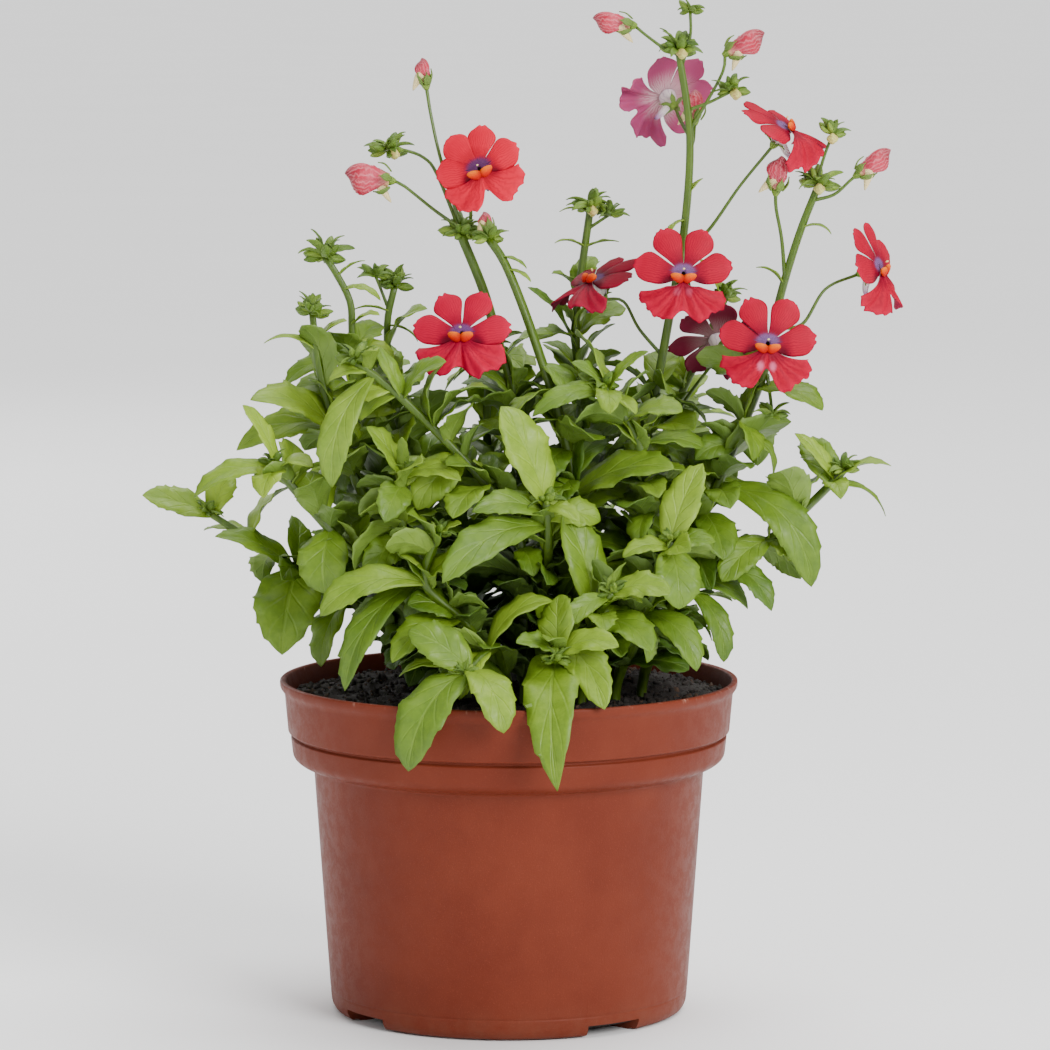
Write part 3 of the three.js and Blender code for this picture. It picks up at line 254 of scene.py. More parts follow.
STEMS: list[Stem] = [
    Stem("stem_tall_right", 1.7, 0.9,
        [[22, 8, 73], [22, 8, 88], [32, 5, 118], [35.5, 5, 147], [38, 4, 160], [41.5, 2, 180],
            [45.5, 0, 204], [47, 0, 229], [44, 0, 251.5]],
        [Row(4, 94, 150, 27, 20, 20, 25)],
        [],
        [[[46.5, 0, 236], [52, 0, 238], [58, 0, 241]],
            [[45, 0, 248], [47, 0, 255], [47, 0, 261.5]]],
        [Cluster([44, 0, 251.5], 4, 3.2), Cluster([58, 0, 241], 3, 2.8), Cluster([47, 0, 261.5], 2, 2.2)]),
    Stem("stem_right", 1.7, 0.9,
        [[27, 1, 73], [27, 1, 88], [38, -5, 106], [50, -9, 130], [57, -9, 146], [66, -8, 168],
            [70, -8, 187], [75, -8, 204], [80, -8, 217]],
        [Row(4, 94, 146, 26, 18, 80, 20)],
        [Leaf(54, 138, [79, -16, 114], 10.5, 0.42, 40), Leaf(60, 152, [70, -12, 142], 3.8, 0.5, 20),
            Leaf(59, 150, [48, -14, 147], 7, 0.2, 60)],
        [[[67, -8, 168], [68, -11, 160], [68, -12.5, 157.5]],
            [[78.5, -8, 213], [81, -8, 223], [83.5, -8, 230]]],
        [Cluster([80, -8, 217], 4, 3.2), Cluster([68, -12.5, 157.5], 2, 2.4),
            Cluster([83.5, -8, 230], 2, 2.4)]),
    Stem("stem_middle_left", 1.7, 1.1,
        [[5, 1, 73], [5, 1, 88], [4, 0, 118], [3, 0, 147], [1, 0, 164], [-2.5, 0, 175],
            [-6.5, 0, 189], [-12.5, -1, 204]],
        [Row(4, 94, 160, 27, 18, 60, 25)],
        [],
        [[[-12, -0.5, 203], [-18.5, 2, 219], [-22, 3, 223.5], [-27, 2, 225.5], [-31, 2, 225.5]]],
        [Cluster([-12.5, -1, 204], 4, 3.0), Cluster([-31, 2, 225.5], 4, 3.2)]),
    Stem("stem_arched", 1.7, 1.0,
        [[14, -8, 73], [14, -8, 88], [18, -12, 120], [16.5, -12, 143], [12.5, -12, 160],
            [9.5, -12, 169], [4, -12, 185], [-1, -10, 197], [-5, -8, 203]],
        [Row(4, 94, 150, 26, 17, 10, 20)],
        [Leaf(17.5, 137, [41, -24, 148.5], 11.5, 0.12, 65), Leaf(9, 170, [17, -18, 161], 6, 0.3, 30)],
        [], []),
    Stem("stem_far_left_back", 1.5, 0.9,
        [[-14, 8, 73], [-14, 8, 88], [-28, 6, 123], [-38, 5, 149], [-40.5, 5, 165], [-41, 5, 178],
            [-41.5, 5, 186], [-45.5, 5, 194], [-48, 5, 197.5]],
        [Row(4, 94, 160, 27, 17, 95, 20)],
        [Leaf(-38, 151, [-72, 3, 148], 9, 0.3, 35), Leaf(-40.5, 170, [-60, -1, 166], 6.5, 0.2, 40),
            Leaf(-41, 180, [-34, 0, 184], 3, 0.2, 20),
            Leaf(-43, 190, [-33, 2, 187], 2.4, 0.3, 20), Leaf(-41, 175, [-30, 4, 170], 5, 0.3, 40)],
        [], [Cluster([-48, 5, 197.5], 4, 3.4)]),
    Stem("stem_left_back", 1.5, 0.9,
        [[-6, 16, 73], [-6, 16, 88], [-18, 14, 117], [-27, 14, 146], [-31, 14, 164], [-32, 14, 179],
            [-30, 14, 189.5]],
        [Row(4, 94, 162, 27, 17, 30, 25)],
        [],
        [[[-31.5, 14, 183], [-35, 14, 192]]],
        [Cluster([-30, 14, 189.5], 4, 2.8), Cluster([-35, 14, 192], 2, 2.6)]),
    Stem("stem_left", 1.5, 0.9,
        [[-19, -3, 73], [-19, -3, 88], [-36, -3, 130], [-45.5, -3, 155], [-49.5, -3, 170], [-51, -3, 183.5]],
        [Row(3, 96, 140, 25, 18, 85, 20)],
        [Leaf(-45, 154, [-65.5, -14, 165], 12, 0.16, 55), Leaf(-41, 144, [-53, 2, 131], 8, 0.3, 40),
            Leaf(-50, 173, [-64, -4, 177], 2.5, 0.3, 30), Leaf(-50, 176, [-42, -6, 182], 4, 0.2, 30)],
        [], [Cluster([-51, -3, 183.5], 4, 3.0)]),
    Stem("stem_diagonal", 1.6, 1.0,
        [[4, -17, 73], [4, -17, 88], [3, -22, 126], [-6.5, -25, 142], [-27, -25, 163], [-39, -25, 172.5]],
        [Row(3, 94, 140, 24, 17, 60, 15)],
        [Leaf(-34, 169, [-45, -33, 141], 8.5, 0.3, 30), Leaf(-27, 163, [-34, -26, 177], 4, 0.1, 50),
            Leaf(-27, 164, [-17, -30, 174.5], 7.5, 0.2, 50), Leaf(-29, 166, [-40, -31, 163], 5, 0.2, 50),
            Leaf(-12, 148, [-8, -31, 159], 2.6, 0.1, 0), Leaf(-36, 171, [-46, -27, 168], 4, 0.3, 40),
            Leaf(-36, 171, [-34, -31, 178], 4, 0.2, 30)],
        [], [Cluster([-39, -25, 172.5], 4, 3.2)]),
    Stem("stem_low_left", 1.5, 1.1,
        [[-12, -10, 73], [-12, -10, 88], [-28, -18, 110], [-46, -22, 129], [-60.5, -22, 146]],
        [Row(3, 94, 122, 20, 16, 60, 10)],
        [Leaf(-60, 145, [-67, -24, 162], 5.5, 0.1, 40), Leaf(-59, 144, [-63.5, -31, 139], 8, 0.25, 20),
            Leaf(-60, 145, [-82, -28, 139], 6.5, 0.25, 45), Leaf(-46, 129, [-48, -33, 114], 13, 0.25, 0),
            Leaf(-60, 145, [-50, -28, 147], 6, 0.3, 30)],
        [], []),
    Stem("stem_far_left", 1.3, 0.9,
        [[-22, 6, 73], [-22, 6, 88], [-41, 2, 107], [-57, 2, 117], [-79, 2, 131]],
        [Row(2, 93, 106, 20, 18, 75, 20)],
        [Leaf(-78, 130, [-95.5, -3, 136], 8, 0.1, 50), Leaf(-77, 130, [-72, 5, 141], 7, 0.2, 40),
            Leaf(-58, 117, [-75, -8, 128], 8, 0.1, 60), Leaf(-56, 116, [-59, -16, 96], 17, 0.22, 10),
            Leaf(-62, 120, [-66, 14, 112], 8, 0.3, 20)],
        [], []),
    Stem("stem_front_left", 1.5, 1.1,
        [[-6, -24, 73], [-6, -24, 88], [-10, -34, 105], [-21, -38, 117], [-18, -38, 130]],
        [Row(2, 92, 104, 19, 16, 0, 15)],
        [Leaf(-21, 118, [-49, -44, 111], 8, 0.3, 55), Leaf(-19, 127, [-24, -43, 137], 9.5, 0.15, 30),
            Leaf(-21, 119, [-27, -41, 125], 3.2, 0.1, 30), Leaf(-18, 129, [-12, -41, 133], 4, 0.2, 30),
            Leaf(-20, 118, [-10, -44, 124], 8, 0.25, 50), Leaf(-13, 108, [-30, -48, 99], 9, 0.25, 40)],
        [], []),
    Stem("stem_rim", 1.5, 1.2,
        [[0, -31, 73], [0, -31, 88], [-2, -36, 98], [-4, -42, 101], [-11, -51, 95.5]],
        [],
        [Leaf(-11, 95, [-27, -66, 74], 14, 0.25, 10), Leaf(-11, 95, [-25, -50, 107], 10, 0.15, 65),
            Leaf(-11, 95, [0, -70, 81], 10.5, 0.32, 0), Leaf(-10, 96, [1, -63.5, 72], 10, 0.3, 0),
            Leaf(-11, 95, [-30, -54, 97], 6, 0.2, 20)],
        [], []),
    Stem("stem_rim_right", 1.5, 1.2,
        [[11, -24, 73], [11, -24, 88], [13, -34, 101], [13, -42, 102], [12, -50, 99]],
        [],
        [Leaf(12.5, 98, [9.5, -70.5, 72], 13.5, 0.32, 8), Leaf(12, 98, [6, -61, 86], 6, 0.3, 20),
            Leaf(13, 100, [24, -61, 90], 10, 0.3, 30), Leaf(12, 100, [27, -56, 105], 7, 0.2, 60),
            Leaf(12, 100, [2, -54, 104], 6, 0.25, 50)],
        [], []),
    Stem("stem_right_front", 1.5, 1.1,
        [[19, -18, 73], [19, -18, 88], [21, -32, 105], [26.5, -40, 115]],
        [Row(2, 92, 104, 19, 16, 30, 10)],
        [Leaf(21.5, 106, [16.5, -34, 135], 11.5, 0.08, 60), Leaf(26, 114, [41, -45, 116], 7, 0.3, 60),
            Leaf(26.5, 114, [29, -42, 124], 3.4, 0.1, 20), Leaf(26, 113, [14, -47, 107], 5, 0.25, 60),
            Leaf(22, 107, [37, -49, 103], 10, 0.25, 40)],
        [], [Cluster([26.5, -40, 115], 3, 2.2)]),
    Stem("stem_right_shoulder", 1.5, 1.1,
        [[28, -17, 73], [28, -17, 88], [34, -25, 106], [42, -30, 127]],
        [Row(2, 93, 112, 20, 17, 45, 10)],
        [Leaf(42, 126, [49.5, -26, 147], 10, 0.1, 45), Leaf(42, 125, [44, -41, 111], 11.5, 0.25, 0),
            Leaf(42, 126, [29, -36, 125], 5, 0.2, 50), Leaf(35, 108, [49, -38, 95], 8.5, 0.35, 30),
            Leaf(42, 126, [53, -34, 128], 5, 0.2, 50)],
        [], [Cluster([42, -30, 127], 3, 2.2)]),
    Stem("stem_centre", 1.5, 1.1,
        [[6, -9, 73], [6, -9, 88], [10, -26, 122], [9.5, -32, 137.5]],
        [Row(3, 94, 126, 22, 17, 30, 15)],
        [Leaf(9.5, 136, [-1.5, -34, 162], 12.5, 0.1, 60), Leaf(9.5, 136, [14, -28, 162.5], 7, 0.1, 50),
            Leaf(9.5, 135, [18, -39, 134], 4, 0.2, 50), Leaf(9.5, 131, [-18, -44, 119], 11, 0.25, 50),
            Leaf(10, 134, [-9, -40, 136], 7, 0.25, 50), Leaf(10, 128, [26, -42, 130], 7, 0.2, 45)],
        [], [Cluster([9.5, -32, 137.5], 4, 2.4)]),
    Stem("stem_low_right", 1.5, 1.0,
        [[35, -9, 73], [35, -9, 88], [41, -15, 106], [50, -18, 117], [67.5, -14, 125.5],
            [83.5, -10, 139.5], [87, -10, 143.5]],
        [Row(2, 93, 108, 20, 16, 80, 10)],
        [Leaf(67, 125, [55, -25, 116.5], 8.5, 0.2, 50), Leaf(68, 126, [76, -23, 120], 8.5, 0.3, 30),
            Leaf(68, 126, [69, -17, 134], 2.8, 0.1, 0), Leaf(85, 141, [75, -12, 153.5], 4.2, 0.1, 50),
            Leaf(84, 140, [99, -8, 131.5], 2.6, 0.35, 30), Leaf(46, 114, [56, -26, 95], 6, 0.35, 30),
            Leaf(56, 119, [68, -22, 108], 7, 0.3, 40)],
        [], [Cluster([87, -10, 143.5], 3, 2.4)]),
    Stem("stem_centre_right", 1.5, 1.0,
        [[22, -9, 73], [22, -9, 88], [31, -15, 109], [36, -18, 131], [34, -18, 150], [24.5, -18, 166]],
        [Row(4, 94, 150, 23, 15, 70, 20)],
        [Leaf(25, 164, [6, -22, 159], 5.5, 0.25, 50), Leaf(25, 164, [35, -21, 176], 4.5, 0.15, 40),
            Leaf(26, 164, [17, -21, 173], 4, 0.15, 40), Leaf(26, 162, [33, -26, 160], 4, 0.2, 30)],
        [], [Cluster([24.5, -18, 166], 3, 2.6)]),
    Stem("stem_middle_back", 1.5, 0.9,
        [[12, 14, 73], [12, 14, 88], [19, 18, 130], [19, 18, 159], [17.5, 18, 177], [19, 18, 192],
            [21.5, 18, 210]],
        [Row(5, 94, 176, 27, 15, 15, 25)],
        [Leaf(18, 172, [8, 10, 191], 6, 0.1, 40)],
        [[[20.5, 18, 204], [26.5, 17, 208]]],
        [Cluster([21.5, 18, 210], 4, 3.0), Cluster([26.5, 17, 208], 2, 2.4)]),
    Stem("stem_behind", 1.5, 1.0,
        [[29, 13, 73], [29, 13, 88], [36, 13, 118], [40, 14, 144], [44, 17.5, 157], [50, 19, 170],
            [57, 18, 186]],
        [Row(4, 94, 152, 27, 16, 60, 25)],
        [Leaf(55, 182, [51.5, 17, 197], 7.5, 0.2, 20)],
        [], [Cluster([57, 18, 186], 4, 2.6)]),
    Stem("stem_upright", 1.5, 1.1,
        [[-8, -17, 73], [-8, -17, 88], [-20, -25, 111], [-27, -28, 129], [-27, -28, 145]],
        [Row(3, 94, 132, 20, 15, 30, 10)],
        [Leaf(-27, 145, [-35.5, -31, 157], 8, 0.1, 50), Leaf(-27, 145, [-12, -34, 143], 5.5, 0.35, 40),
            Leaf(-27, 145, [-27, -29, 155], 2.6, 0.1, 0), Leaf(-22, 116, [-44, -46, 92], 9, 0.25, 20),
            Leaf(-26, 126, [-37, -38, 121], 8, 0.2, 50)],
        [], []),
    Stem("stem_back_1", 1.5, 1.0,
        [[-16, 18, 73], [-16, 18, 88], [-30, 28, 115], [-38, 34, 140], [-38, 34, 160]],
        [Row(4, 94, 154, 27, 17, 10, 20)], [], [], [Cluster([-38, 34, 160], 4, 2.8)]),
    Stem("stem_back_2", 1.5, 1.0,
        [[3, 24, 73], [3, 24, 88], [-3, 38, 118], [-6, 44, 146], [-5, 44, 170]],
        [Row(4, 94, 162, 27, 17, 50, 20)], [], [], [Cluster([-5, 44, 170], 4, 2.8)]),
    Stem("stem_back_3", 1.5, 1.0,
        [[20, 25, 73], [20, 25, 88], [34, 34, 114], [42, 38, 138], [46, 38, 156]],
        [Row(4, 94, 150, 27, 17, 85, 20)], [], [], [Cluster([46, 38, 156], 3, 2.6)]),
    Stem("stem_back_4", 1.4, 1.0,
        [[-5, 30, 73], [-5, 30, 88], [-18, 48, 104], [-24, 58, 118]],
        [Row(3, 94, 117, 23, 18, 20, 10)], [], [], []),
    Stem("stem_back_5", 1.4, 1.0,
        [[13, 33, 73], [13, 33, 88], [20, 48, 106], [24, 56, 122]],
        [Row(3, 94, 121, 23, 18, 60, 10)], [], [], []),
]
BLOOMS: list[Bloom] = [
    Bloom("stem_middle_left", [-7.5, -14, 221.5], [-0.1, -0.95, 0.15], [-0.34, 0, 0.94],
        [[-10, 0, 203], [-9.5, -3, 213]], 0.88),
    Bloom("stem_middle_left", [-12, -16, 179], [-0.15, -0.9, 0.45], [0.05, 0.4, 0.9],
        [[-1.5, 0, 172], [-5, -3, 175]]),
    Bloom("stem_tall_right", [45, -15, 194.5], [0.02, -0.97, 0.25], [0.03, 0, 1],
        [[43.5, 1, 191], [44, -3, 192]]),
    Bloom("stem_right", [66.5, -21, 177], [0.02, -0.98, 0.18], [0.06, 0, 1],
        [[68, -8, 175], [67.5, -10.5, 175.5]]),
    Bloom("stem_right", [95.5, -6, 195.5], [0.85, -0.38, 0.32], [-0.36, 0, 0.93],
        [[69, -8, 180], [76, -8, 181], [82, -7, 190]]),
    Bloom("stem_tall_right", [71, -6.5, 231.5], [0.5, -0.24, 0.83], [-0.84, 0, 0.54],
        [[45.5, 0, 201], [51.5, -1, 204.5], [60, -2, 216.5]]),
    Bloom("stem_tall_right", [22.5, 1, 191.5], [-0.45, -0.25, 0.86], [0.75, 0.45, 0.5],
        [[40, 3, 172], [34, 3, 179], [30, 4, 186]]),
    Bloom("stem_tall_right", [41.5, 14.5, 239], [-0.35, 0.78, 0.45], [0.85, 0.1, 0.45],
        [[47, 0, 229], [44.5, 5, 233.5]]),
    Bloom("stem_behind", [54.5, 5, 176], [-0.1, 0.72, 0.6], [-0.9, 0, 0.4],
        [[42, 15.5, 151], [47, 7, 161]]),
]
BUDS: list[Bud] = [
    Bud("stem_middle_left", [-31, -4, 218], [-41.5, -5, 219.5], 3.8,
        [[-12, 0, 205], [-19, -2, 210], [-27, -4, 216.5]]),
    Bud("stem_tall_right", [31.5, 0, 258], [22.5, -1, 259.5], 2.6,
        [[44, 0, 251], [41, 0, 251.5], [36, 0, 255]]),
    Bud("stem_tall_right", [57, 0, 251], [65.5, -2, 255.5], 2.9,
        [[47, 0, 231], [51.3, 0, 238], [55.5, 0, 246]]),
    Bud("stem_right", [69, -10, 216], [70, -11, 224], 2.6,
        [[71.5, -8, 192], [70.5, -9.5, 203], [69, -10, 211]]),
    Bud("stem_right", [90.5, -8, 220], [98, -9, 225.5], 2.6,
        [[78.5, -8, 213], [84, -8, 214.5], [88, -8, 218]]),
    Bud("stem_arched", [-5, -6, 204.8], [-6.5, -5, 209.5], 1.7,
        [[-3, -9, 201], [-4.5, -7.5, 203]]),
    Bud("stem_middle_left", [-21.5, 0, 243], [-22.5, -1, 249], 1.8,
        [[-12.5, 0, 206], [-17.5, -2, 223], [-20, -1, 234]]),
    Bud("stem_tall_right", [48.4, 6, 233.5], [48.2, 6.4, 240.5], 2.6,
        [[46.8, 0, 226], [48, 3, 228]]),
]

# Narrow bracts and young shoot tips that the solids leave out, by stem
BRACTS: dict[str, list[Leaf]] = {
    "stem_tall_right": [
        Leaf(46, 207, [41, -3, 200], 1.8, 0.5, 0), Leaf(47, 212, [50, 1, 219], 1.8, 0.2, 0)],
    "stem_right": [
        Leaf(76, 206, [84, -10, 205.5], 1.8, 0.3, 0), Leaf(71, 190, [64, -9, 196.5], 1.8, 0.3, 0)],
    "stem_arched": [
        Leaf(-2, 199, [5, -11, 196], 2, 0.2, 0), Leaf(0, 195, [6, -12, 192.5], 2, 0.2, 0)],
    "stem_far_left_back": [Leaf(-44, 193, [-38, 3, 198], 1.6, 0.1, 0)],
    "stem_left_back": [
        Leaf(-32, 182, [-42, 12, 184], 2, 0.2, 0), Leaf(-32, 180, [-23, 12, 176], 2, 0.2, 0)],
    "stem_middle_back": [
        Leaf(20, 199, [12, 16, 202], 2, 0.2, 0), Leaf(20, 199, [29, 16, 201], 2, 0.2, 0),
        Leaf(21.5, 208, [13, 17, 210], 1.8, 0.2, 0)],
}
SHOOT_TIPS: dict[str, Cluster] = {
    "stem_low_left": Cluster([-60.5, -22, 146], 3, 2.2),
    "stem_far_left": Cluster([-79, 2, 131], 3, 2.2),
    "stem_front_left": Cluster([-18, -38, 130], 4, 2.4),
    "stem_upright": Cluster([-27, -28, 145], 4, 2.4),
    "stem_rim": Cluster([-11, -51, 95.5], 4, 2.2),
    "stem_rim_right": Cluster([12, -50, 99], 4, 2.2),
    "stem_arched": Cluster([-5, -8, 203], 3, 2.4),
    "stem_back_4": Cluster([-24, 58, 118], 3, 2.4),
    "stem_back_5": Cluster([24, 56, 122], 3, 2.4),
}


# Room kept between the stems: every piece leaves samples, and a leaf is laid where its own
# samples stay clear of those of other stems. The rules are those of the solids.

@dataclass(frozen=True)
class LaidLeaf:
    """A leaf in its place, with its tone from 0, dark, to 1, bright: its age, with painted shade deep and low
    in the bush.
    """

    root: Array
    tip: Array
    width: float
    lift: float
    roll: float
    tone: float = 0.5

    @property
    def size(self) -> float:
        """The straight length from root to tip."""
        return float(np.linalg.norm(self.tip - self.root))

    def arch(self) -> tuple[Array, Array]:
        """Finds the level heading of the leaf and the control point of its arch."""
        run = self.tip - self.root
        flat = math.hypot(run[0], run[1]) + TINY
        heading = np.array([run[0] / flat, run[1] / flat, 0])
        rise = run[2] / self.size
        upward = np.array([-rise * heading[0], -rise * heading[1], flat / self.size])
        return heading, mix(self.root, self.tip, 0.5) + upward * (self.lift * self.size)

    def stations(self, shares: Array) -> tuple[Array, Array, Array, Array]:
        """Finds the leaf's middle line and its directions.

        Args:
            shares: Shares of the leaf's length, 0 at the root.

        Returns:
            The middles, the ways along, across and up, one row for each share.
        """
        heading, control = self.arch()
        share = shares[:, None]
        near = self.root * (1 - share) + control * share
        far = control * (1 - share) + self.tip * share
        middle = near * (1 - share) + far * share
        along = unit(far - near)
        level = along @ heading
        face = np.stack([-along[:, 2] * heading[0], -along[:, 2] * heading[1], level], axis=1)
        side = np.cross(face, along)
        roll = self.roll * DEGREES
        across = side * math.cos(roll) + face * math.sin(roll)
        upper = face * math.cos(roll) - side * math.sin(roll)
        return middle, along, across, upper


class Clearances:
    """The samples of every piece of the plant, and the test that a leaf stays clear of them."""

    CELL = 4.0
    LEAF_SAMPLE = 0.7
    CLEARANCE = 0.8
    CLOSE_CLEARANCE = -0.45
    JOINED_REACH = 5.0
    ROOT_REACH = 2.0
    ROD_STEP = 1.5
    FOLD = 0.22
    RIM_OUTWARD = 61.8
    RIM_ABOVE = 89.5
    CAPACITY = 200000

    def __init__(self) -> None:
        """Makes room for the samples."""
        self.position = np.zeros((self.CAPACITY, 3))
        self.radius = np.zeros(self.CAPACITY)
        self.owner = np.zeros(self.CAPACITY, dtype=int)
        self.joins = np.zeros(self.CAPACITY, dtype=bool)
        self.cell = np.zeros((self.CAPACITY, 3), dtype=int)
        self.count = 0
        self.owners: dict[str, int] = {}

    def number(self, owner: str) -> int:
        """Gives each owner's name a number."""
        return self.owners.setdefault(owner, len(self.owners))

    def keep(self, points: Array, radius: float, owner: str, joins: Array | bool = True) -> None:
        """Keeps samples of one piece.

        Args:
            points: The samples' middles, one a row.
            radius: The samples' radius.
            owner: The piece's owner.
            joins: Whether each sample may touch its own stem's leaves.
        """
        points = np.atleast_2d(points)
        room = slice(self.count, self.count + len(points))
        self.position[room] = points
        self.radius[room] = radius
        self.owner[room] = self.number(owner)
        self.joins[room] = joins
        self.cell[room] = np.floor(points / self.CELL).astype(int)
        self.count += len(points)

    def keep_rod(self, points: Array, radius: float, owner: str) -> None:
        """Keeps samples along the straight stretches of a rod."""
        for here, ahead in zip(points[:-1], points[1:]):
            pieces = max(1, math.ceil(np.linalg.norm(ahead - here) / self.ROD_STEP))
            shares = np.arange(pieces + 1)[:, None] / pieces
            self.keep(here * (1 - shares) + ahead * shares, radius, owner)

    def samples(self, leaf: LaidLeaf) -> Array:
        """Lays a leaf's samples on its blade."""
        steps = max(3, math.ceil(leaf.size / 2))
        half = max(1, math.ceil(leaf.width / 4))
        shares = np.arange(1, steps + 1) / steps
        middle, _, across, upper = leaf.stations(shares)
        wide = (leaf.width / 2) * np.minimum(1, 1.9 * np.sqrt(shares) * (1 - shares) + 0.1)
        offset = (np.arange(-half, half + 1) / half)[None, :] * wide[:, None]
        points = middle[:, None] + across[:, None] * offset[..., None]
        points = points + upper[:, None] * (self.FOLD * np.abs(offset))[..., None]
        return points.reshape(-1, 3)

    def keep_leaf(self, leaf: LaidLeaf, owner: str) -> None:
        """Keeps a laid leaf's samples."""
        points = self.samples(leaf)
        joins = np.linalg.norm(points - leaf.root, axis=1) < self.JOINED_REACH
        self.keep(points, self.LEAF_SAMPLE, owner, joins)

    def fits(self, leaf: LaidLeaf, owner: str, clearance: float) -> bool:
        """Tests that a leaf stays clear of other stems, blooms, buds, the soil and the rim."""
        points = self.samples(leaf)
        from_root = np.linalg.norm(points - leaf.root, axis=1)
        away = from_root >= self.ROOT_REACH
        points = points[away]
        joins = from_root[away] < self.JOINED_REACH
        if len(points) == 0:
            return True
        outward = np.hypot(points[:, 0], points[:, 1])
        if not np.all((outward > self.RIM_OUTWARD) | (points[:, 2] > self.RIM_ABOVE)):
            return False
        cells = np.floor(points / self.CELL).astype(int)
        known = self.cell[:self.count]
        beside = (known >= cells.min(axis=0) - 1) & (known <= cells.max(axis=0) + 1)
        near = np.flatnonzero(beside.all(axis=1))
        if near.size == 0:
            return True
        reach = self.LEAF_SAMPLE + self.radius[near]
        own = self.owner[near] == self.number(owner)
        apart = ~self.joins[near]
        for some in (slice(2, None, 6), slice(None)):
            touching = (np.abs(cells[some, None] - known[near][None]) <= 1).all(axis=2)
            gap = np.linalg.norm(points[some, None] - self.position[near][None], axis=2) - reach
            own_clash = ~joins[some, None] & apart & (gap < 0)
            if (touching & np.where(own, own_clash, gap < clearance)).any():
                return False
        return True


